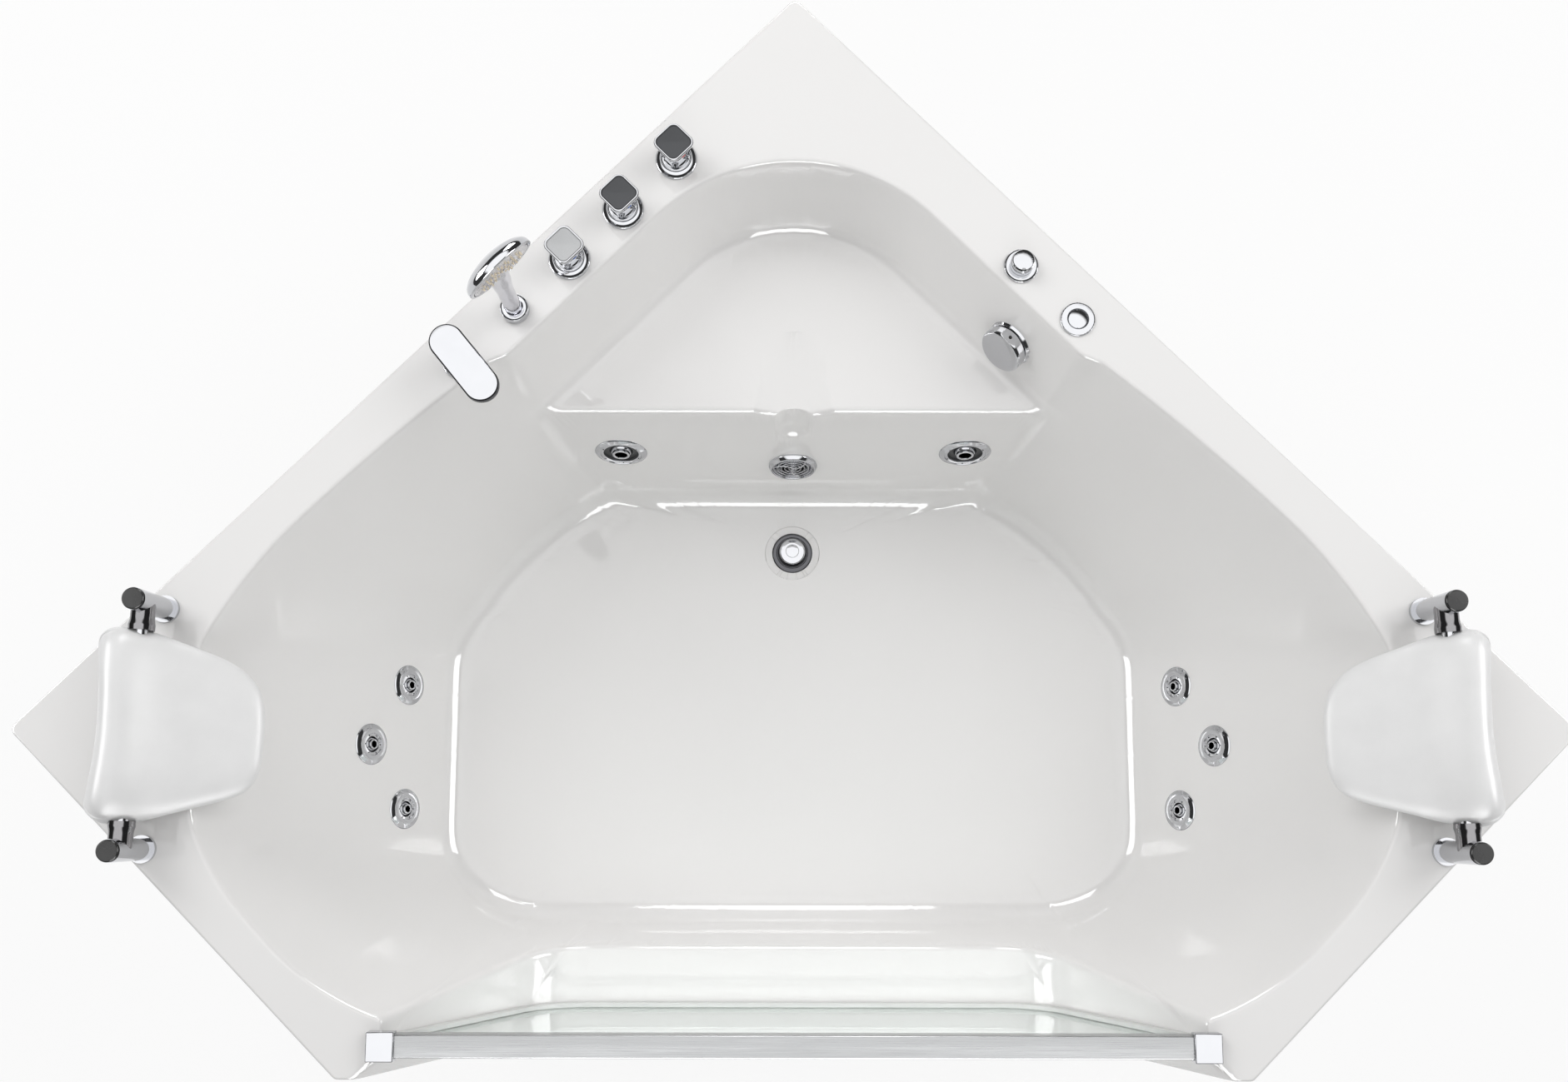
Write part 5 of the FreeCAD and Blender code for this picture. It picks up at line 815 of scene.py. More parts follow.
class BasinWall:
    """Radius of the basin's wall about the drain by angle and height, with its slopes, as tables."""

    def __init__(self, sizes):
        self.middle_y = sizes.drain_y
        self.heights = np.linspace(-sizes.basin_depth - 0.03, 0.02, 60)
        self.angles = np.linspace(-math.pi, math.pi, 1441)
        outlines = basin_outlines(sizes, self.heights)
        step = self.angles[1] - self.angles[0]
        reach = np.arange(-12, 13)
        weights = np.exp(-0.5 * (reach * step / math.radians(0.8)) ** 2)
        weights /= weights.sum()
        rows = []
        for outline in outlines:
            around = np.arctan2(outline[:, 1] - self.middle_y, outline[:, 0])
            rows.append(self.on_lines(outline, around))
        table = np.array(rows)
        padded = np.concatenate((table[:, -13:-1], table, table[:, 1:13]), axis=1)
        smooth = sum(weight * padded[:, 12 + shift:12 + shift + 1441] for weight, shift in zip(weights, reach))
        self.radius = 1 / smooth
        self.around_slope = np.gradient(self.radius, self.angles, axis=1)
        self.height_slope = np.gradient(self.radius, self.heights, axis=0)

    def on_lines(self, outline, around):
        """Inverse radius at each table angle, straight between the outline's points."""
        x, y = outline[:, 0], outline[:, 1] - self.middle_y
        order = np.argsort(around)
        x, y, around = x[order], y[order], around[order]
        x = np.concatenate((x[-1:], x, x[:1]))
        y = np.concatenate((y[-1:], y, y[:1]))
        around = np.concatenate((around[-1:] - FULL_TURN, around, around[:1] + FULL_TURN))
        cell = np.clip(np.searchsorted(around, self.angles) - 1, 0, len(around) - 2)
        ax, ay, bx, by = x[cell], y[cell], x[cell + 1], y[cell + 1]
        cosine, sine = np.cos(self.angles), np.sin(self.angles)
        cross = ax * by - ay * bx
        return ((by - ay) * cosine - (bx - ax) * sine) / np.where(np.abs(cross) < 1e-12, 1e-12, cross)

    def look_up(self, table, angle, height):
        """Value of a table at an angle and a height, straight between its entries."""
        column = (angle - self.angles[0]) / (self.angles[1] - self.angles[0])
        row = (height - self.heights[0]) / (self.heights[1] - self.heights[0])
        j = np.clip(column.astype(int), 0, len(self.angles) - 2)
        i = np.clip(row.astype(int), 0, len(self.heights) - 2)
        u, v = column - j, row - i
        low = table[i, j] * (1 - u) + table[i, j + 1] * u
        high = table[i + 1, j] * (1 - u) + table[i + 1, j + 1] * u
        return low * (1 - v) + high * v

    def distance(self, x, y, z):
        """Distance outside the wall, and the slope that the wall's normal has from the vertical."""
        angle = np.arctan2(y - self.middle_y, x)
        away = np.hypot(x, y - self.middle_y)
        radius = self.look_up(self.radius, angle, z)
        across = self.look_up(self.around_slope, angle, z) / np.maximum(radius, 0.05)
        rising = self.look_up(self.height_slope, angle, z)
        norm = np.sqrt(1 + across ** 2 + rising ** 2)
        return (away - radius) / norm, rising / norm


def air_distance(sizes, wall, x, y, z):
    """Distance of points to the air: below zero in it. The air is what lies above the deck, in the basin, over
    the rear seat and in the window's reveal, each within sloping walls and a floor with their edges rounded."""
    side = np.abs(x)
    basin_wall, leaning = wall.distance(side, y, z)
    basin = rounded_both(basin_wall, -sizes.basin_depth - z, sizes.floor_fillet, leaning)
    recess = np.maximum(
        np.hypot(x, y - sizes.drain_y) - sizes.drain_recess_radius,
        -sizes.basin_depth - sizes.drain_recess_depth - z,
    )
    basin = rounded_either(basin, recess, 0.001)
    share = np.clip(-z / sizes.seat_depth, -0.2, 1.2)
    reach = sizes.seat_rim_reach + (sizes.seat_floor_reach - sizes.seat_rim_reach) * share
    radius = sizes.seat_rim_radius + (sizes.seat_floor_radius - sizes.seat_rim_radius) * share
    near = (side + y - reach) * DIAGONAL
    far = (y - side - reach) * DIAGONAL
    lean = math.atan2((sizes.seat_rim_reach - sizes.seat_floor_reach) * DIAGONAL, sizes.seat_depth)
    seat = rounded_both(near, far, radius) * math.cos(lean)
    seat = rounded_both(seat, -sizes.seat_depth - z, sizes.seat_fillet, math.sin(lean))
    seat = np.maximum(rounded_either(seat, dip_distance(sizes, x, y, z), 0.010, 0.913), sizes.seat_front - y)
    flare = sizes.flare * np.clip((-sizes.flare_start - y) / (sizes.front_reach - sizes.flare_start), 0, 1.2)
    slope = sizes.window_slope
    half = sizes.window_half_width + flare / math.cos(slope) + z * math.tan(slope)
    window = rounded_both(
        (side - half) * math.cos(slope), -sizes.window_depth - flare - z,
        sizes.window_corner + flare, math.sin(slope),
    )
    window = np.maximum(window, y + sizes.window_inner)
    hollow = rounded_either(basin, seat, sizes.seat_nose, 0.17)
    lean_here = np.where(seat < basin, math.sin(lean), np.clip(leaning, 0, 0.7))
    lean_here = np.where(window < np.minimum(seat, basin), math.sin(slope), lean_here)
    hollow = rounded_either(hollow, window, 0.010, 0.2)
    hollow = rounded_either(hollow, scoop_distance(sizes, x, y, z), 0.006, 0.7)
    return rounded_either(hollow, -z, sizes.rim_round, lean_here)


def dip_distance(sizes, x, y, z):
    """Distance to the dip in the seat: a lying cylinder that rises to the rear until it leaves the seat."""
    slope = sizes.dip_depth / sizes.dip_reach
    lean = (sizes.rim_rear_reach - sizes.floor_rear_reach) / sizes.basin_depth
    edge = sizes.rim_rear_reach - lean * sizes.seat_depth
    centre = sizes.dip_radius - sizes.dip_depth - sizes.seat_depth + slope * (y - edge)
    away = np.hypot(x, (z - centre) * math.cos(math.atan(slope))) - sizes.dip_radius
    return np.maximum(away, y - edge - sizes.dip_reach)


def scoop_distance(sizes, x, y, z):
    """Distance to the scoop in the riser: a capsule that stands along the riser with its axis in front of it."""
    ahead = sizes.scoop_radius - sizes.scoop_cut
    top, normal = on_riser(sizes, 0, sizes.scoop_top)
    foot, _ = on_riser(sizes, 0, sizes.scoop_low)
    top = top + normal * ahead - plan_point(sizes, 0, 0, 0)
    along = foot - on_riser(sizes, 0, sizes.scoop_top)[0]
    share = np.clip(((y - top[1]) * along[1] + (z - top[2]) * along[2]) / (along ** 2).sum(), 0, 1)
    away = np.sqrt(x ** 2 + (y - top[1] - share * along[1]) ** 2 + (z - top[2] - share * along[2]) ** 2)
    return away - sizes.scoop_radius


def surface_height(sizes, wall, x, y):
    """Height of the shell's upper face over plan points: where the air's distance changes sign, by halving."""
    low = np.full(x.shape, -sizes.basin_depth - 0.02)
    high = np.full(x.shape, 0.02)
    for _ in range(21):
        middle = (low + high) / 2
        outside = air_distance(sizes, wall, x, y, middle) > 0
        low = np.where(outside, middle, low)
        high = np.where(outside, high, middle)
    return (low + high) / 2


def surface_normal(sizes, wall, x, y, z):
    """Unit normal into the air from the distance's differences over 0.4 mm."""
    step = 0.0002
    parts = [
        air_distance(sizes, wall, x + dx, y + dy, z + dz) - air_distance(sizes, wall, x - dx, y - dy, z - dz)
        for dx, dy, dz in ((step, 0, 0), (0, step, 0), (0, 0, step))
    ]
    normal = -np.stack(parts, axis=-1)
    return normal / np.maximum(np.linalg.norm(normal, axis=-1, keepdims=True), 1e-12)


def plan_corners(sizes):
    """Corners of the tub's plan, drawn in by the corner radius so that a rounded offset gives the outline."""
    diagonal = half_diagonal(sizes)
    front = sizes.front_reach
    corners = np.array((
        (0, diagonal), (diagonal, 0), (diagonal - front, -front), (front - diagonal, -front), (-diagonal, 0),
    ))
    entering = corners - np.roll(corners, 1, axis=0)
    leaving = np.roll(corners, -1, axis=0) - corners
    first = np.stack((-entering[:, 1], entering[:, 0]), axis=1) / np.linalg.norm(entering, axis=1)[:, None]
    second = np.stack((-leaving[:, 1], leaving[:, 0]), axis=1) / np.linalg.norm(leaving, axis=1)[:, None]
    share = -sizes.corner_radius / (1 + (first * second).sum(1))
    return corners + (first + second) * share[:, None]


def outline_reach(sizes, angles):
    """Distance from the drain to the tub's rounded outline along each angle, by halving."""
    corners = plan_corners(sizes)
    ends = np.roll(corners, -1, axis=0)
    low, high = np.zeros(angles.shape), np.full(angles.shape, 2.0)
    for _ in range(26):
        middle = (low + high) / 2
        points = np.stack((middle * np.cos(angles), sizes.drain_y + middle * np.sin(angles)), axis=-1)
        offset = points[..., None, :] - corners
        along = ends - corners
        share = np.clip((offset * along).sum(-1) / (along ** 2).sum(-1), 0, 1)
        away = np.linalg.norm(offset - share[..., None] * along, axis=-1).min(-1)
        side = (along[:, 0] * offset[..., 1] - along[:, 1] * offset[..., 0]).max(-1) > 0
        outside = np.where(side, away, -away) > sizes.corner_radius
        low = np.where(outside, low, middle)
        high = np.where(outside, middle, high)
    return (low + high) / 2


def shell_rays(sizes, wall):
    """Angles of the grid's rays over the right half, closer where the rim or the outline bends or runs far."""
    angles = np.linspace(math.pi / 2, -math.pi / 2, 6001)
    reach = outline_reach(sizes, angles)
    outer = np.stack((reach * np.cos(angles), reach * np.sin(angles)), axis=1)
    radius = wall.look_up(wall.radius, angles, np.zeros(angles.shape))
    rim = np.stack((radius * np.cos(angles), radius * np.sin(angles)), axis=1)
    outer_step = np.diff(outer, axis=0)
    heading = np.unwrap(np.arctan2(outer_step[:, 1], outer_step[:, 0]))
    bend = np.abs(np.diff(heading, prepend=heading[0]))
    cost = np.linalg.norm(np.diff(rim, axis=0), axis=1) + 0.35 * np.linalg.norm(outer_step, axis=1) + 0.07 * bend
    total = np.concatenate(((0,), np.cumsum(cost)))
    return np.interp(np.linspace(0, total[-1], sizes.rays + 1), total, angles)


def shell_grid(sizes):
    """Grid of the whole shell, ring by ring from the drain: the upper face, the edge and lip, the lip's inner
    face and the underside, which lies a wall's thickness behind the upper face along its normals."""
    wall = BasinWall(sizes)
    angles = shell_rays(sizes, wall)
    reach = outline_reach(sizes, angles) - sizes.edge_radius
    fine = np.linspace(0, 1, 520)[:, None] * reach
    x, y = fine * np.cos(angles), sizes.drain_y + fine * np.sin(angles)
    z = surface_height(sizes, wall, x, y)
    run, rise = np.diff(fine, axis=0), np.diff(z, axis=0)
    slope = np.arctan2(rise, run)
    turning = np.abs(np.diff(slope, axis=0, prepend=slope[:1]))
    cost = np.hypot(run, rise) + 0.3 * turning
    total = np.concatenate((np.zeros((1, len(angles))), np.cumsum(cost, axis=0)))
    share = (total / total[-1]).T + 2 * np.arange(len(angles))[:, None]
    wanted = np.linspace(0, 1, sizes.rings)[None] + 2 * np.arange(len(angles))[:, None]
    away = np.interp(wanted.ravel(), share.ravel(), fine.T.ravel()).reshape(len(angles), sizes.rings).T
    away = np.concatenate((away[:-1], away[-1:] - 0.003, away[-1:]))
    x, y = away * np.cos(angles), sizes.drain_y + away * np.sin(angles)
    z = surface_height(sizes, wall, x, y)
    top = np.stack((x, y, z), axis=-1)
    under = (top - surface_normal(sizes, wall, x, y, z) * sizes.wall)[:-3:5][::-1]
    outward = np.stack((np.cos(angles), np.sin(angles), np.zeros(len(angles))), axis=-1)
    rim = top[-1]
    turn = np.linspace(0, math.pi / 2, 6)[1:, None, None]
    edge = rim + sizes.edge_radius * (np.sin(turn) * outward - (1 - np.cos(turn)) * UP)
    foot = np.minimum(-sizes.lip_height, rim[:, 2] - sizes.wall - sizes.edge_radius)
    outer_foot = np.concatenate((edge[-1][:, :2], foot[:, None]), axis=1)
    inner_foot = outer_foot - outward * sizes.wall
    inner_top = np.concatenate((inner_foot[:, :2], (rim[:, 2] - sizes.wall)[:, None]), axis=1)
    inner_middle = (inner_foot + inner_top) / 2
    lip = np.stack((outer_foot, inner_foot, inner_middle, inner_top))
    half = np.concatenate((top, edge, lip, under))
    mirrored = half[:, 1:-1][:, ::-1] * (-1, 1, 1)
    grid = np.concatenate((half, mirrored), axis=1)
    return grid + plan_point(sizes, 0, 0, 0), len(top) + len(edge)


def cutter(holes):
    """One mesh of round bars, each from a start along a direction."""
    mesh = bpy.data.meshes.new("bores")
    work = bmesh.new()
    for start, direction, radius, reach in holes:
        turn = Vector((0, 0, 1)).rotation_difference(Vector(direction)).to_matrix().to_4x4()
        middle = Vector(start) + Vector(direction) * reach / 2
        bmesh.ops.create_cone(
            work, cap_ends=True, segments=48, radius1=radius, radius2=radius, depth=reach,
            matrix=Matrix.Translation(middle) @ turn,
        )
    work.to_mesh(mesh)
    work.free()
    return linked("bores", mesh)


def baked(item):
    """Replaces an object's mesh by what its modifiers give, and drops them."""
    depsgraph = bpy.context.evaluated_depsgraph_get()
    made = bpy.data.meshes.new_from_object(item.evaluated_get(depsgraph))
    old = item.data
    item.modifiers.clear()
    item.data = made
    bpy.data.meshes.remove(old)


class BATHTUB_OT_shell(bpy.types.Operator):
    """Moulded acrylic shell with basin, rear seat, window reveal, lip and reinforced underside"""

    bl_idname = "bathtub.shell"
    bl_label = "Moulded shell"

    def execute(self, context):
        sizes = context.scene.bathtub_shell
        fittings = context.scene.bathtub_fittings
        grid, edge_row = shell_grid(sizes)
        item = piece(
            "moulded_shell", [grid[:edge_row + 1], grid[edge_row:]], ["acrylic", "laminate"], merge=0.00002, angle=60,
        )
        walls = [(*spot, 0.0165) for spot in side_jet_places(sizes, fittings)]
        walls += [(*spot, 0.032) for spot in seat_jet_places(sizes, fittings)]
        walls.append((*on_riser(sizes, 0, fittings.suction_depth), 0.028))
        walls.append((*on_seat_wall(sizes, fittings.overflow_along, fittings.overflow_depth), 0.023))
        holes = [(place - normal * BORE_RUN, normal, radius, 0.05) for place, normal, radius in walls]
        holes.append((plan_point(sizes, 0, sizes.drain_y, -sizes.basin_depth - BORE_RUN), UP, 0.025, 0.06))
        for node in ("hot_tap_handle", "cold_tap_handle", "diverter_handle", "shower_holder", "spout_base",
                     "air_control_base", "air_button_housing"):
            middle = node_foot(node)
            holes.append((np.array((middle[0], middle[1], sizes.deck_height - 0.02)), UP, 0.016, 0.04))
        bars = cutter(holes)
        bores = item.modifiers.new("bores", "BOOLEAN")
        bores.operation = "DIFFERENCE"
        bores.solver = "EXACT"
        bores.object = bars
        baked(item)
        bpy.data.objects.remove(bars)
        item.data.set_sharp_from_angle(angle=math.radians(60))
        kept(item, "root", "acrylic", "tub_shell")
        return {"FINISHED"}


class BATHTUB_OT_window(bpy.types.Operator):
    """Glass window with its channel seal, brushed top rail and the rail's brackets"""

    bl_idname = "bathtub.window"
    bl_label = "Window and rail"

    def execute(self, context):
        smooth_copies(
            ("window_glass", "window_pane", "glass", "window_glass", 0.001),
            ("window_seal", "window_channel_seal", "seal", "window_seal", 0.0012),
            ("top_rail", "brushed_top_rail", "rail", "brushed_rail", 0.003),
            ("rail_brackets", "rail_end_brackets", "chrome", "chrome_trim", 0.0012),
        )
        return {"FINISHED"}


class BATHTUB_OT_panels(bpy.types.Operator):
    """Skirt panels under the deck"""

    bl_idname = "bathtub.panels"
    bl_label = "Skirt panels"

    def execute(self, context):
        for node in ("left_panel", "right_panel", "front_panel"):
            smooth_copy(node, f"skirt_{node}", "skirt", "skirt_acrylic", 0.0015)
        return {"FINISHED"}


class BATHTUB_OT_support(bpy.types.Operator):
    """Steel frame, base board and levelling feet"""

    bl_idname = "bathtub.support"
    bl_label = "Frame and feet"

    def execute(self, context):
        smooth_copies(
            ("support_frame", "welded_frame", "frame", "painted_frame", 0.0015),
            ("base_board", "chipboard_base", "board", "board", 0.001),
            ("foot_pads", "rubber_foot_pads", "rubber", "foot_rubber", 0.001),
            ("foot_studs", "threaded_studs", "zinc", "zinc_steel", 0.0004),
            ("foot_nuts", "lock_nuts", "zinc", "zinc_steel", 0.0005),
        )
        return {"FINISHED"}


def jet_ring_grids(places, radius, mouth):
    """A jet's ring at each place: a lower step round the mouth, six small marks on it, then a convex flange."""
    step = mouth + 0.005
    profile = eased([
        (mouth, -0.004), (mouth, 0.0030, 0.0008), (step - 0.0006, 0.0034, 0.0005), (step, 0.0050, 0.0006),
        (radius - 0.0075, 0.0050, 0.003), (radius - 0.0012, 0.0020, 0.0012), (radius, 0.0006, 0.0004),
        (radius, 0), (mouth, -0.004),
    ])
    ring = lathe(profile, 80)
    mark = lathe(eased([(0, 0.0012), (0.0009, 0.0010, 0.0003), (0.0011, 0, 0), (0, 0)], 4), 10)
    grids, finishes = [], []
    for place, normal in places:
        grids.append(carried(ring, place, normal, UP))
        finishes.append("chrome")
        for turn in np.arange(6) * math.pi / 3 + math.pi / 6:
            reach = mouth + 0.0028
            spot = mark + np.array((reach * math.cos(turn), reach * math.sin(turn), 0.0031))
            grids.append(carried(spot, place, normal, UP))
            finishes.append("well")
    return grids, finishes


def nozzle_grid(ball, outer, bore, stand=0.014, back=0.009):
    """A ball nozzle about its own centre: bore, back face, ball, shoulder and front tube in one closed turn."""
    low = math.asin(-back / ball)
    high = math.asin(back / ball)
    turn = np.linspace(low, high, 18)
    round_part = [(ball * math.cos(a), ball * math.sin(a)) for a in turn]
    corners = [(bore, -back), *round_part, (outer + 0.0003, back, 0.0008), (outer, stand, 0.0012)]
    corners += [(bore, stand, 0.0012), (bore, -back)]
    return lathe(eased(corners, 4), 56)


def nozzle_piece(name, node, body, place, normal, depth, ball, outer, bore):
    """One tilting nozzle, riding on its own body."""
    centre = place - normal * depth
    grid = carried(nozzle_grid(ball, outer, bore), centre, normal, (0, 0, 1))
    kept(piece(name, [grid], ["chrome"]), body, "chrome_trim", node)


class BATHTUB_OT_side_jets(bpy.types.Operator):
    """Six side jets: rings, tilting nozzles and the bodies behind the backrests"""

    bl_idname = "bathtub.side_jets"
    bl_label = "Side jets"

    def execute(self, context):
        sizes, fittings = context.scene.bathtub_shell, context.scene.bathtub_fittings
        places = side_jet_places(sizes, fittings)
        grids, finishes = jet_ring_grids(places, fittings.side_jet_radius, 0.0125)
        kept(piece("side_jet_rings", grids, finishes), "root", "chrome_trim", "side_jet_faces")
        smooth_copy("side_jet_bodies", "side_jet_housings", "well", "pipe_plastic", 0.0004)
        names = [f"{side}_{row}_jet" for side in ("left", "right") for row in ("rear", "middle", "front")]
        for name, (place, normal) in zip(names, places):
            nozzle_piece(f"{name}_eyeball", f"{name}_nozzle", name, place, normal, 0.007, 0.013, 0.008, 0.0053)
        return {"FINISHED"}


class BATHTUB_OT_seat_jets(bpy.types.Operator):
    """Two larger jets in the riser under the seat"""

    bl_idname = "bathtub.seat_jets"
    bl_label = "Riser jets"

    def execute(self, context):
        sizes, fittings = context.scene.bathtub_shell, context.scene.bathtub_fittings
        places = seat_jet_places(sizes, fittings)
        grids, finishes = jet_ring_grids(places, fittings.riser_jet_radius, 0.028)
        kept(piece("riser_jet_rings", grids, finishes), "root", "chrome_trim", "seat_jet_faces")
        smooth_copy("seat_jet_bodies", "riser_jet_housings", "well", "pipe_plastic", 0.0004)
        for name, (place, normal) in zip(("seat_left_jet", "seat_right_jet"), places):
            nozzle_piece(f"{name}_eyeball", f"{name}_nozzle", name, place, normal, 0.008, 0.018, 0.014, 0.010)
        return {"FINISHED"}


class BATHTUB_OT_suction(bpy.types.Operator):
    """Suction fitting: chrome rim and a grille of rings on three curved spokes"""

    bl_idname = "bathtub.suction"
    bl_label = "Suction fitting"

    def execute(self, context):
        sizes, fittings = context.scene.bathtub_shell, context.scene.bathtub_fittings
        place, normal = on_riser(sizes, 0, fittings.suction_depth)
        radius = fittings.suction_radius
        rim = lathe(eased([
            (0.023, -0.05), (0.027, -0.05), (0.027, -0.0005, 0.001), (radius, 0), (radius, 0.0032, 0.0014),
            (radius - 0.0034, 0.0088, 0.003), (radius - 0.0066, 0.0086, 0.0012), (radius - 0.0070, 0.0042, 0.0006),
            (0.023, 0.0040, 0.0008), (0.023, -0.05),
        ]), 88)
        cup = lathe(eased([(0.0229, 0.002), (0.0228, -0.018, 0.002), (0, -0.020), (0, -0.021), (0.0232, -0.021)]), 48)
        shapes = [carried(grid, place, normal, UP) for grid in (rim, cup)]
        kept(piece("suction_rim", shapes, ["chrome", "well"]), "root", "chrome_trim", "suction_body")
        grids = []
        for ring in range(5):
            outer = 0.033 - ring * 0.0062
            inner = outer - 0.0026
            grids.append(lathe(eased([
                (inner, 0.0042), (outer, 0.0042), (outer, 0.0066, 0.0009), (inner, 0.0066, 0.0009), (inner, 0.0042),
            ]), 80))
        grids.append(lathe(eased([(0, 0.0042), (0.003, 0.0042), (0.003, 0.0070, 0.001), (0, 0.0074)]), 24))
        for turn in np.arange(3) * FULL_TURN / 3:
            bow = np.linspace(0, 1.62, 24)
            x = 0.020 * np.sin(bow)
            y = 0.020 * (1 - np.cos(bow)) * 1.25
            path = np.stack((
                x * math.cos(turn) - y * math.sin(turn), x * math.sin(turn) + y * math.cos(turn),
                np.full(bow.shape, 0.0060),
            ), axis=1)
            grids.append(tube(path, 0.0014, 10))
        grids = [carried(grid, place, normal, UP) for grid in grids]
        grille = piece("suction_ring_grille", grids, ["chrome"] * len(grids))
        kept(grille, "root", "chrome_trim", "suction_grille")
        return {"FINISHED"}


class BATHTUB_OT_drain(bpy.types.Operator):
    """Drain flange in its recess, the domed plug over it and the trap below"""

    bl_idname = "bathtub.drain"
    bl_label = "Drain"

    def execute(self, context):
        sizes = context.scene.bathtub_shell
        place = plan_point(sizes, 0, sizes.drain_y, -sizes.basin_depth - sizes.drain_recess_depth)
        flange = lathe(eased([
            (0.020, -0.034), (0.024, -0.034), (0.024, -0.0005, 0.0005), (0.035, 0), (0.035, 0.0008, 0.0006),
            (0.0325, 0.0021, 0.0012), (0.0275, 0.0022, 0.0006), (0.0265, 0.0042, 0.0009), (0.0248, 0.0042, 0.0009),
            (0.0225, 0.0022, 0.001), (0.020, 0.0012, 0.001), (0.020, -0.034),
        ]), 88)
        well = lathe(eased([
            (0.0199, -0.004), (0.0198, -0.030), (0.0052, -0.0305), (0.0052, -0.033), (0.0204, -0.033), (0.0204, -0.004),
            (0.0199, -0.004),
        ]), 40)
        # The flange takes the darker chrome, whose base colour paints in the dark reflection round its ring.
        item = piece("drain_seat", [flange + place, well + place], ["dark_reflection_chrome", "well"])
        kept(item, "root", "chrome_trim", "drain_flange")
        low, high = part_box("drain_plug")
        foot = place + UP * (high.z - place[2] - 0.0078)
        plug = lathe(eased([
            (0, 0), (0.0185, 0, 0.001), (0.0222, 0.0014, 0.0014), (0.0225, 0.0034, 0.001), (0.0200, 0.0048, 0.002),
            (0.0145, 0.0060, 0.002), (0.0115, 0.0061, 0.0006), (0.0108, 0.0068, 0.0006), (0.006, 0.0077, 0.002),
            (0, 0.0078),
        ]), 80)
        reach = foot[2] - low.z
        stem = lathe(eased([(0, 0.0005), (0.004, 0.0005), (0.004, -reach, 0.0005), (0, -reach)]), 24)
        item = piece("domed_plug", [plug + foot, stem + foot], ["chrome", "chrome"])
        kept(item, "drain_plug", "chrome_trim", "drain_plug")
        smooth_copy("drain_trap", "bottle_trap", "pipe", "pipe_plastic", 0.0012)
        return {"FINISHED"}


class BATHTUB_OT_overflow(bpy.types.Operator):
    """Overflow knob with its bright facet, and the overflow's body behind the wall"""

    bl_idname = "bathtub.overflow"
    bl_label = "Overflow"

    def execute(self, context):
        sizes, fittings = context.scene.bathtub_shell, context.scene.bathtub_fittings
        smooth_copy("overflow_body", "overflow_housing", "chrome", "pipe_plastic", 0.0008)
        place, normal = on_seat_wall(sizes, fittings.overflow_along, fittings.overflow_depth)
        foot = place + normal * 0.0056
        radius = fittings.overflow_radius
        profile = eased([
            (0, 0), (radius - 0.003, 0, 0.001), (radius, 0.003, 0.0015), (radius, 0.0150, 0.0016),
            (radius - 0.0024, 0.0186, 0.0016), (0.018, 0.0190, 0.006), (0, 0.0190),
        ], 7)
        turned = lathe(profile, 160)
        flat = radius - 0.003
        facet = np.abs(turned[..., 0]) < 0.0125
        pressed = turned.copy()
        pressed[..., 1] = np.where(facet & (turned[..., 1] > flat), flat, turned[..., 1])
        hole = lathe(eased([(0, 0.0006), (0.0026, 0.0006, 0.0002), (0.0028, -0.001), (0, -0.001)]), 24)
        hole = np.stack((hole[..., 0], hole[..., 2] + flat, hole[..., 1] + 0.0095), axis=-1)
        spindle = lathe(eased([(0, 0.001), (0.0025, 0.001), (0.0025, -0.03), (0, -0.03)]), 20)
        grids = [carried(grid, foot, normal, UP) for grid in (pressed, hole, spindle)]
        item = piece("overflow_turn_knob", grids, ["chrome", "black", "chrome"], angle=28)
        kept(item, "overflow_knob", "chrome_trim", "overflow_knob")
        return {"FINISHED"}


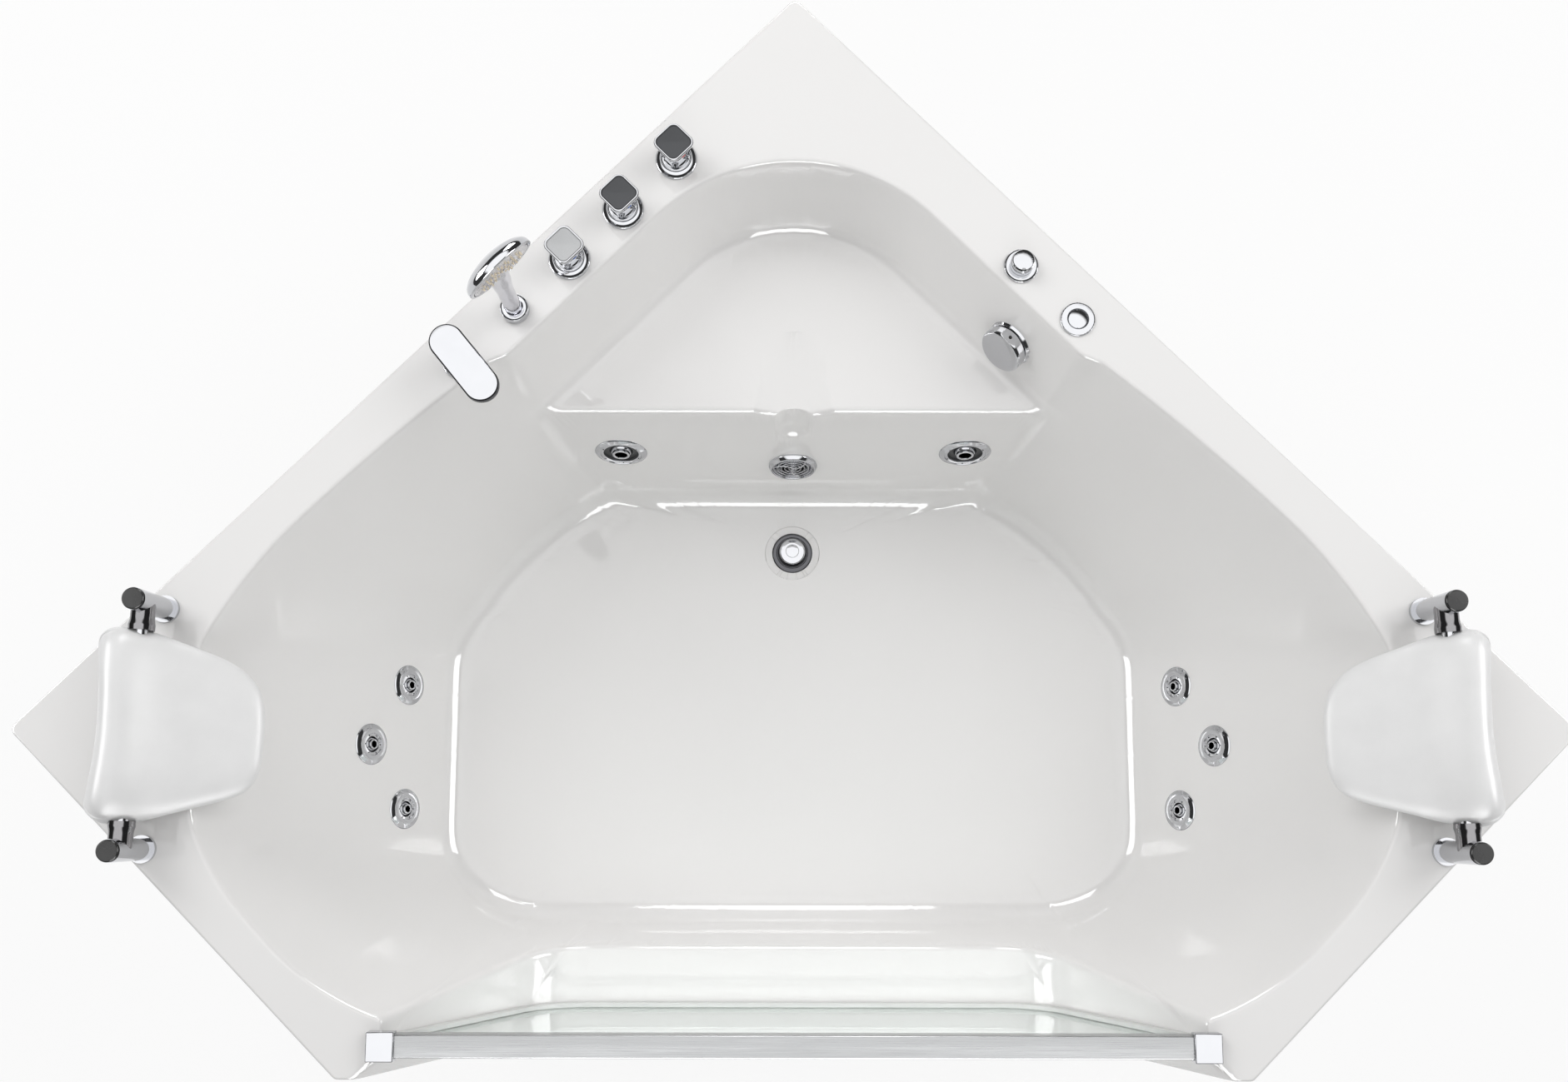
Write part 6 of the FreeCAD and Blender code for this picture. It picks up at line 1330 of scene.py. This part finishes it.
class BATHTUB_OT_taps(bpy.types.Operator):
    """Three taps: domed flanges, tapered square handles with their marks, and the valves under the deck"""

    bl_idname = "bathtub.taps"
    bl_label = "Taps"

    def execute(self, context):
        sizes, fittings = context.scene.bathtub_shell, context.scene.bathtub_fittings
        names = ("hot_tap", "cold_tap", "diverter")
        feet = [node_foot(f"{name}_handle") for name in names]
        radius = fittings.flange_radius
        profile = eased([
            (0.0082, 0), (radius, 0), (radius, 0.0030, 0.0012), (radius - 0.0024, 0.0070, 0.003),
            (0.0222, 0.0090, 0.002), (0.0208, 0.0078, 0.0008), (0.0196, 0.0088, 0.0008), (0.0152, 0.0092, 0.001),
            (0.0150, 0.0139, 0.0004), (0.0082, 0.0139), (0.0082, 0),
        ])
        grids = [lathe(profile, 88) + np.array((foot[0], foot[1], sizes.deck_height)) for foot in feet]
        kept(piece("domed_tap_flanges", grids, ["chrome"] * 3), "root", "chrome_trim", "tap_flanges")
        smooth_copies(
            ("valve_bodies", "ceramic_disc_valves", "brass", "valve_brass", 0.0004),
            ("mixer_pipe", "copper_mixer_pipe", "copper", "pipe_metal", 0.0004),
        )
        tops = ("satin_dark", "satin_dark", "satin_light")
        dots = ("hot_dot", "cold_dot", "cold_dot")
        for name, foot, top, dot in zip(names, feet, tops, dots):
            self.handle(fittings, name, foot, top, dot)
        return {"FINISHED"}

    def handle(self, fittings, name, foot, top_finish, dot_finish):
        """A square handle turned to stand on its corner as seen from the wall: it widens towards a dished top."""
        base, top, height = fittings.handle_base / 2, fittings.handle_top / 2, fittings.handle_height
        levels = np.array((
            (0.0, base * 0.92, 0.30), (0.0012, base, 0.34), (0.004, base * 1.02, 0.38), (0.012, base * 1.09, 0.42),
            (0.0205, base * 1.2, 0.44), (0.0270, top * 0.945, 0.46), (0.0305, top * 0.99, 0.47),
            (0.0322, top, 0.47), (0.0334, top * 0.985, 0.47), (0.0339, top * 0.955, 0.46), (0.0340, top * 0.9, 0.45),
        ))
        dish = ((0.9, 0.0), (0.86, 0.0003), (0.84, 0.0009), (0.5, 0.0007), (0.2, 0.0005), (0.001, 0.0004))
        outer = [self.ring(half, half * corner, level) for level, half, corner in levels]
        bottom = [outer[0] * (share, share, 1) for share in (0.001, 0.6, 1.0)]
        side = np.stack(bottom + outer)
        cap = np.stack([self.ring(top * share, top * share * 0.45, height - drop) for share, drop in dish])
        spot = lathe(eased([(0, 0.0008), (0.0033, 0.0006, 0.0004), (0.0037, -0.001), (0, -0.001)]), 28)
        oval = lathe(eased([(0, 0.0005), (0.0022, 0.0004, 0.0003), (0.0025, -0.001), (0, -0.001)]), 24) * (1.5, 1, 1)
        marks = []
        for mark, aim, reach, level in (
            (spot, np.array((0, -1, 0)), base * 1.2, 0.0205), (oval, np.array((-1, 0, 0)), base * 1.27, 0.0235),
        ):
            normal = aim * math.cos(0.25) - UP * math.sin(0.25)
            marks.append(carried(mark, aim * (reach + 0.0002) + UP * level, normal, UP))
        eighth = np.array(((DIAGONAL, -DIAGONAL, 0), (DIAGONAL, DIAGONAL, 0), (0, 0, 1)))
        grids = [grid @ eighth.T + foot for grid in (side, cap, *marks)]
        item = piece(f"{name}_square_handle", grids, ["chrome", top_finish, dot_finish, "black"], angle=30)
        kept(item, name, "tap_finish", f"{name}_handle")

    def ring(self, half, corner, level):
        """A rounded square's points at one level."""
        return np.concatenate((rounded_square(half, corner, 96), np.full((96, 1), level)), axis=1)


class BATHTUB_OT_spout(bpy.types.Operator):
    """Flat oblong spout plate on its column and base"""

    bl_idname = "bathtub.spout"
    bl_label = "Spout"

    def execute(self, context):
        smooth_copy("spout_base", "spout_column", "chrome", "chrome_trim", 0.0015)
        foot = node_foot("spout_base")
        foot[2] = context.scene.bathtub_shell.deck_height
        turn = math.radians(-51)
        ahead = np.array((math.cos(turn), math.sin(turn), 0.0))
        low, top, half = 0.059, 0.070, 0.024
        reach = np.array((
            (0.0, low), (half - 0.002, low), (half - 0.0004, low + 0.0012), (half, low + 0.003), (half, top - 0.003),
            (half - 0.0005, top - 0.0012), (half - 0.0018, top - 0.0002), (half - 0.0026, top), (half * 0.5, top),
            (0.0, top),
        ))
        angles = np.linspace(0, FULL_TURN, 96, endpoint=False)
        plate = np.stack((
            reach[:, :1] * np.cos(angles) + 0.035 + 0.038 * np.sign(np.cos(angles)), reach[:, :1] * np.sin(angles),
            np.broadcast_to(reach[:, 1:], (len(reach), 96)),
        ), axis=-1)
        column = lathe(eased([(0, 0.006), (0.019, 0.006), (0.019, 0.0595), (0, 0.0595)]), 56)
        mouth = lathe(eased([(0, 0.0588), (0.010, 0.0588), (0.010, 0.0596), (0, 0.0596)]), 40) + np.array((0.080, 0, 0))
        grids = [plate[:3], plate[2:7], plate[6:], column, mouth]
        # The plate's side and bevel (the second grid) take the darker chrome, whose base colour paints in the dark
        # reflection along the plate's edge.
        item = piece(
            "flat_spout_plate", [carried(grid, foot, UP, np.cross(UP, ahead)) for grid in grids],
            ["chrome", "dark_reflection_chrome", "chrome", "chrome", "well"], angle=50,
        )
        kept(item, "root", "chrome_trim", "spout")
        return {"FINISHED"}


class BATHTUB_OT_hand_shower(bpy.types.Operator):
    """Hand shower in its deck holder"""

    bl_idname = "bathtub.hand_shower"
    bl_label = "Hand shower"

    def execute(self, context):
        smooth_copy("shower_holder", "shower_deck_holder", "chrome", "chrome_trim", 0.0012)
        foot = node_foot("shower_holder")
        foot[2] = context.scene.bathtub_shell.deck_height
        tilt = math.radians(18)
        level = np.array((DIAGONAL, -DIAGONAL, 0.0))
        facing = level * math.cos(tilt) - UP * math.sin(tilt)
        middle = foot + UP * 0.165 + level * 0.026
        share = np.linspace(0, 1, 40)[:, None]
        path = (1 - share) ** 3 * UP * -0.040 + 3 * share * (1 - share) ** 2 * UP * 0.070
        path = path + 3 * share ** 2 * (1 - share) * UP * 0.120 + share ** 3 * (middle - foot - facing * 0.010)
        width = np.interp(share[:, 0], (0, 0.42, 0.6, 0.85, 1), (0.0118, 0.0119, 0.0146, 0.0146, 0.012))
        handle = tube(path, width, 48)
        head = lathe(eased([
            (0, -0.024), (0.0234, -0.0222, 0.008), (0.0416, -0.0168, 0.006), (0.0499, -0.0105, 0.004),
            (0.0520, -0.006, 0.002), (0.0520, -0.0004, 0.0014), (0.0470, 0.0004, 0.001), (0.0464, -0.004), (0, -0.004),
        ]), 96)
        item = piece("hand_shower_body", [handle + foot, carried(head, middle, facing, UP)], ["silver", "chrome"])
        kept(item, "hand_shower", "chrome_trim", "hand_shower")
        smooth_copy("shower_spray_face", "spray_plate", "spray", "spray_face", 0.0004, "hand_shower")
        kept(piece("amber_spray_nozzles", self.nozzles(middle, facing), ["amber"] * 37), "hand_shower", "spray_face")
        return {"FINISHED"}

    def nozzles(self, middle, facing):
        """Small soft nozzles on the spray face: one in the middle and rings of six, twelve and eighteen."""
        bud = lathe(eased([
            (0, 0.0032), (0.0012, 0.0030, 0.0004), (0.0017, 0.0006, 0.0004), (0.0020, -0.001), (0, -0.001),
        ]), 14)
        grids = []
        for ring in range(4):
            for turn in np.arange(max(1, 6 * ring)) * math.pi / 3 / max(1, ring):
                spot = np.array((0.011 * ring * math.cos(turn), 0.011 * ring * math.sin(turn), 0.0))
                grids.append(carried(bud + spot, middle, facing, UP))
        return grids


class BATHTUB_OT_air_controls(bpy.types.Operator):
    """Air control knob with its notch, and the ring button"""

    bl_idname = "bathtub.air_controls"
    bl_label = "Air knob and button"

    def execute(self, context):
        smooth_copy("air_control_base", "air_knob_ring", "chrome", "chrome_trim", 0.0012)
        smooth_copy("air_knob", "air_turn_knob", "chrome", "chrome_trim", 0.0015, "air_knob")
        smooth_copy("air_button_housing", "air_button_ring", "chrome", "chrome_trim", 0.0012)
        smooth_copy("air_button", "air_push_button", "chrome", "chrome_trim", 0.0012, "air_button")
        return {"FINISHED"}


class BATHTUB_OT_pillow_posts(bpy.types.Operator):
    """Chrome posts with black caps at the pillows' ends"""

    bl_idname = "bathtub.pillow_posts"
    bl_label = "Pillow posts"

    def execute(self, context):
        smooth_copies(
            ("pillow_posts", "chrome_pillow_posts", "chrome", "chrome_trim", 0.0012),
            ("post_caps", "black_post_caps", "black", "post_cap", 0.0015),
        )
        grids = sleeve_grids(context.scene.bathtub_shell, context.scene.bathtub_fittings)
        # The sleeves take chrome with a darker base colour, which paints in their dark reflections.
        kept(piece("pillow_end_sleeves", grids, ["dark_reflection_sleeve_chrome"] * 4), "root", "chrome_trim")
        return {"FINISHED"}


def pillow_grid(sizes, side):
    """A pillow's skin: rings from its middle to its outline, above and below. From the outer edge the top rises
    over the roll, the sum of a tall narrow and a low wide bell, and falls away to the flap; the edge is the root
    of one less a high power of the ring's share, and a groove follows the outer edge. Outside the posts' line
    the underside is high enough to clear the deck when the pillow is tipped by 30 degrees."""
    outline = closed_curve(PILLOW_PLAN, 240)
    centre = np.array((-0.835, 0.0))
    share = np.sin(np.linspace(0, math.pi / 2, 48))[:, None]
    flat = centre + share[..., None] * (outline - centre)
    x, y = flat[..., 0], flat[..., 1]
    outer = -0.917 - 0.013 * np.clip(-y / 0.11, 0, 1) ** 2 - 0.005 * np.clip(y / 0.12, 0, 1) ** 2
    across = x - outer
    top = 0.002 + 0.080 * np.exp(-((across - 0.036) / 0.050) ** 2) + 0.036 * np.exp(-((across - 0.108) / 0.062) ** 2)
    outward = -0.869 + 0.040 * (y + 0.16) - x
    cleared = 0.058 - (0.0552 - 0.5 * outward) / 0.866
    foot = np.maximum(np.minimum(0.020, top - 0.026), np.where(outward > 0.02, cleared, -1.0))
    middle = foot + (top - foot) * 0.45
    edge = np.sqrt(np.clip(1 - share ** 7, 0, 1))
    away = (1 - share) * np.linalg.norm(outline - centre, axis=1)
    seam = np.clip((-0.880 - outline[:, 0]) / 0.02, 0, 1) * np.exp(-((away - 0.009) / 0.0018) ** 2)
    upper = middle + (top - middle) * edge - 0.0045 * seam
    lower = middle - (middle - foot) * edge
    grids = [np.stack((-side * x, y, level), axis=-1) for level in (upper, lower)]
    grid = np.concatenate((grids[0], grids[1][::-1][1:]))
    return grid + plan_point(sizes, 0, 0, 0)


def sleeve_grids(sizes, fittings):
    """Four round sleeves from the posts to the pillows' ends, a little flared where they meet the pillow."""
    radius = fittings.sleeve_radius
    profile = lathe(eased([
        (0, 0), (radius, 0), (radius, 0.024, 0.004), (radius + 0.0016, 0.031, 0.001), (radius + 0.0012, 0.038),
        (0, 0.038),
    ]), 56)
    grids = []
    for side in (-1, 1):
        rear = plan_point(sizes, side * fittings.post_rear_x, fittings.post_rear_y, fittings.sleeve_height)
        front = plan_point(sizes, side * fittings.post_front_x, fittings.post_front_y, fittings.sleeve_height)
        grids += [carried(profile, rear, front - rear, UP), carried(profile, front, rear - front, UP)]
    return grids


def closed_curve(corners, count):
    """Smooth closed curve near its corners: the uniform cubic B-spline, by its four blending weights."""
    share = np.linspace(0, len(corners), count, endpoint=False)
    first = np.floor(share).astype(int)
    t = (share - first)[:, None]
    blend = ((1 - t) ** 3, 3 * t ** 3 - 6 * t ** 2 + 4, -3 * t ** 3 + 3 * t ** 2 + 3 * t + 1, t ** 3)
    return sum(corners[(first + shift) % len(corners)] * weight / 6 for shift, weight in enumerate(blend))


class BATHTUB_OT_pillows(bpy.types.Operator):
    """Two padded head pillows that swing on their posts"""

    bl_idname = "bathtub.pillows"
    bl_label = "Head pillows"

    def execute(self, context):
        for side, name in ((-1, "left_pillow"), (1, "right_pillow")):
            item = piece(f"padded_{name}", [pillow_grid(context.scene.bathtub_shell, side)], ["pillow"], angle=80)
            kept(item, name, "pillow_skin", name)
        return {"FINISHED"}


class BATHTUB_OT_pump(bpy.types.Operator):
    """Pump, water and air pipes, overflow pipe and the plug's cable"""

    bl_idname = "bathtub.pump"
    bl_label = "Pump and pipes"

    def execute(self, context):
        smooth_copies(
            ("pump_motor", "finned_pump_motor", "motor", "motor_paint", 0.001),
            ("pump_volute", "pump_wet_end", "pump", "pump_plastic", 0.002),
            ("pump_cradle", "pump_saddle", "frame", "painted_frame", 0.001),
        )
        for node, finish, slot in (
            ("water_pipe", "pipe", "pipe_plastic"), ("suction_pipe", "pipe", "pipe_plastic"),
            ("pump_outlet_pipe", "pipe", "pipe_plastic"), ("overflow_pipe", "pipe", "pipe_plastic"),
            ("air_pipe", "hose", "hose_plastic"), ("popup_cable", "sheath", "cable_sheath"),
        ):
            smooth_copy(node, f"fitted_{node}", finish, slot, 0)
        return {"FINISHED"}


# Stage, light and camera

def stage_card(name, corners, material):
    """A flat card of the stage."""
    mesh = bpy.data.meshes.new(name)
    mesh.from_pydata([tuple(corner) for corner in corners], [], [(0, 1, 2, 3)])
    mesh.materials.append(material)
    linked(name, mesh)


def soft_lamp(name, place, target, width, depth, power):
    """A wide soft lamp that faces a point."""
    light = bpy.data.lights.new(name, "AREA")
    light.shape = "RECTANGLE"
    light.size, light.size_y, light.energy = width, depth, power
    item = linked(name, light)
    item.location = place
    item.rotation_euler = (Vector(target) - Vector(place)).to_track_quat("-Z", "Y").to_euler()
    return item


def seen_directly(tree, path):
    """One for the camera's rays and for those through glass that no matt surface has scattered, else zero."""
    unscattered = combined(tree, "LESS_THAN", path.outputs["Diffuse Depth"], 0.5)
    through = combined(tree, "MULTIPLY", path.outputs["Is Transmission Ray"], unscattered)
    return combined(tree, "MAXIMUM", path.outputs["Is Camera Ray"], through)


def floor_material():
    """Painted studio floor: pale matt, near white to the camera, and it keeps a faint shadow."""
    material, tree, place = new_material("pale_studio_floor")
    tone = spread(tree, speckle(tree, place, 0.4, 3.0), 0, 1)
    matt = add_node(tree, "ShaderNodeBsdfPrincipled", {
        "Base Color": tinted(tree, tone, linear("#F4F4F4"), linear("#F7F7F7")), "Roughness": 0.9,
    })
    glow = add_node(tree, "ShaderNodeEmission", {"Color": (1, 1, 1, 1), "Strength": 1.0})
    path = add_node(tree, "ShaderNodeLightPath")
    seen = combined(tree, "MAXIMUM", seen_directly(tree, path), path.outputs["Is Glossy Ray"])
    part = combined(tree, "MULTIPLY", seen, FLOOR_GLOW)
    mixed = add_node(tree, "ShaderNodeMixShader", {0: part, 1: matt.outputs[0], 2: glow.outputs[0]})
    add_node(tree, "ShaderNodeOutputMaterial", {"Surface": mixed.outputs[0]})
    return material


class BATHTUB_OT_stage(bpy.types.Operator):
    """Pale floor, soft lamps, white surroundings and the camera"""

    bl_idname = "bathtub.stage"
    bl_label = "Stage and camera"

    def execute(self, context):
        scene = context.scene
        scene.view_settings.view_transform = "Standard"
        corners = [(x, y, -0.001) for x, y in ((-9, -9), (9, -9), (9, 9), (-9, 9))]
        stage_card("studio_floor", corners, floor_material())
        self.surroundings(scene)
        self.lamps(scene)
        self.camera(scene)
        return {"FINISHED"}

    def lamps(self, scene):
        """Four lamps seen in the acrylic's and pillows' reflections only, and four soft ones that no reflection
        shows: kept off the chrome, the first leave its round edges unbroken."""
        glossy = bpy.data.collections.new("glossy_plastic_pieces")
        for thing in scene.objects:
            finish = thing.type == "MESH" and thing.data.materials and thing.data.materials[0].name
            if finish and finish not in MIRRORS:
                glossy.objects.link(thing)
        for name, place, width in (
            ("left", (-3.6, 0.33, 2.3), 2.3), ("right", (3.6, 0.33, 2.3), 2.3),
            ("front", (0.2, -3.6, 2.3), 2.8), ("rear", (0, 3.6, 2.3), 1.6),
        ):
            lamp = soft_lamp(f"{name}_gloss_lamp", place, (0, 0, 0.3), width, 2.0, 62 * width)
            lamp.visible_diffuse = False
            lamp.visible_camera = False
            lamp.visible_transmission = False
            lamp.light_linking.receiver_collection = glossy
        for name, place, power in (
            ("key_lamp", (-2.2, 1.8, 3.0), 45), ("fill_lamp", (2.4, 1.2, 2.8), 34),
            ("front_lamp", (0.3, -3.0, 2.4), 10), ("overhead_lamp", (0.0, 0.3, 2.9), 6),
        ):
            soft_lamp(name, place, (0, 0.1, 0.4), 2.2, 2.0, power).visible_glossy = False

    def surroundings(self, scene):
        """White surroundings to the camera and through glass, a softer level as light, and in reflections a
        white ceiling over dim walls, which gives bright metal its dark lines."""
        world = bpy.data.worlds.new("white_surroundings")
        world.use_nodes = True
        tree = world.node_tree
        tree.nodes.clear()
        direction = add_node(tree, "ShaderNodeTexCoord").outputs["Generated"]
        upward = add_node(tree, "ShaderNodeSeparateXYZ", {"Vector": direction}).outputs["Z"]
        mirrored = spread(tree, upward, 0.05, 1.6, 0.70, 0.80)
        around = spread(tree, upward, 0.56, 0.37, 0.2, 0.9)
        path = add_node(tree, "ShaderNodeLightPath")
        gloss = add_node(
            tree, "ShaderNodeMix", {"Factor": path.outputs["Is Glossy Ray"], "A": around, "B": mirrored},
        ).outputs["Result"]
        level = add_node(
            tree, "ShaderNodeMix", {"Factor": seen_directly(tree, path), "A": gloss, "B": 1.0},
        ).outputs["Result"]
        glow = add_node(tree, "ShaderNodeBackground", {"Color": (1, 1, 1, 1), "Strength": level})
        add_node(tree, "ShaderNodeOutputWorld", {"Surface": glow.outputs[0]})
        scene.world = world

    def camera(self, scene):
        """The photograph's viewpoint: above the glass front, looking almost straight down."""
        data = bpy.data.cameras.new("view_from_above")
        data.sensor_width = 36
        data.lens = 28.08
        data.shift_y = 0.0895
        data.clip_start = 0.05
        scene.camera = linked("view_from_above", data)
        turn = Matrix.Rotation(math.radians(6.31), 4, "X") @ Matrix.Rotation(math.radians(0.11), 4, "Z")
        scene.camera.matrix_world = Matrix.Translation((-0.014, -0.4136, 2.266)) @ turn


OPERATORS = (
    BATHTUB_OT_shell, BATHTUB_OT_window, BATHTUB_OT_panels, BATHTUB_OT_support,
    BATHTUB_OT_side_jets, BATHTUB_OT_seat_jets, BATHTUB_OT_suction, BATHTUB_OT_drain, BATHTUB_OT_overflow,
    BATHTUB_OT_taps, BATHTUB_OT_spout, BATHTUB_OT_hand_shower, BATHTUB_OT_air_controls,
    BATHTUB_OT_pillow_posts, BATHTUB_OT_pillows, BATHTUB_OT_pump, BATHTUB_OT_stage,
)


class BATHTUB_PT_pieces(bpy.types.Panel):
    """Lists the bathtub's pieces, sizes and colours in the sidebar"""

    bl_idname = "BATHTUB_PT_pieces"
    bl_label = "Bathtub"
    bl_space_type = "VIEW_3D"
    bl_region_type = "UI"
    bl_category = "Bathtub"

    def draw(self, context):
        for operator in OPERATORS:
            self.layout.operator(operator.bl_idname, text=operator.bl_label)
        for group in (context.scene.bathtub_shell, context.scene.bathtub_fittings, context.scene.bathtub_colours):
            box = self.layout.box()
            for name in group.bl_rna.properties.keys():
                if name not in ("rna_type", "name"):
                    box.prop(group, name)


CLASSES = (BathtubShellSizes, BathtubFittingSizes, BathtubColours, *OPERATORS, BATHTUB_PT_pieces)


def register():
    """Registers the classes and hangs the sizes and colours on the scene."""
    for made in CLASSES:
        bpy.utils.register_class(made)
    bpy.types.Scene.bathtub_shell = PointerProperty(type=BathtubShellSizes)
    bpy.types.Scene.bathtub_fittings = PointerProperty(type=BathtubFittingSizes)
    bpy.types.Scene.bathtub_colours = PointerProperty(type=BathtubColours)


def unregister():
    """Takes the sizes and colours off the scene and drops the classes."""
    del bpy.types.Scene.bathtub_colours
    del bpy.types.Scene.bathtub_fittings
    del bpy.types.Scene.bathtub_shell
    for made in reversed(CLASSES):
        bpy.utils.unregister_class(made)


def main():
    """Registers the add-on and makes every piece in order."""
    register()
    for operator in OPERATORS:
        group, name = operator.bl_idname.split(".")
        getattr(getattr(bpy.ops, group), name)()
    bpy.context.view_layer.update()


if __name__ == "__main__":
    main()
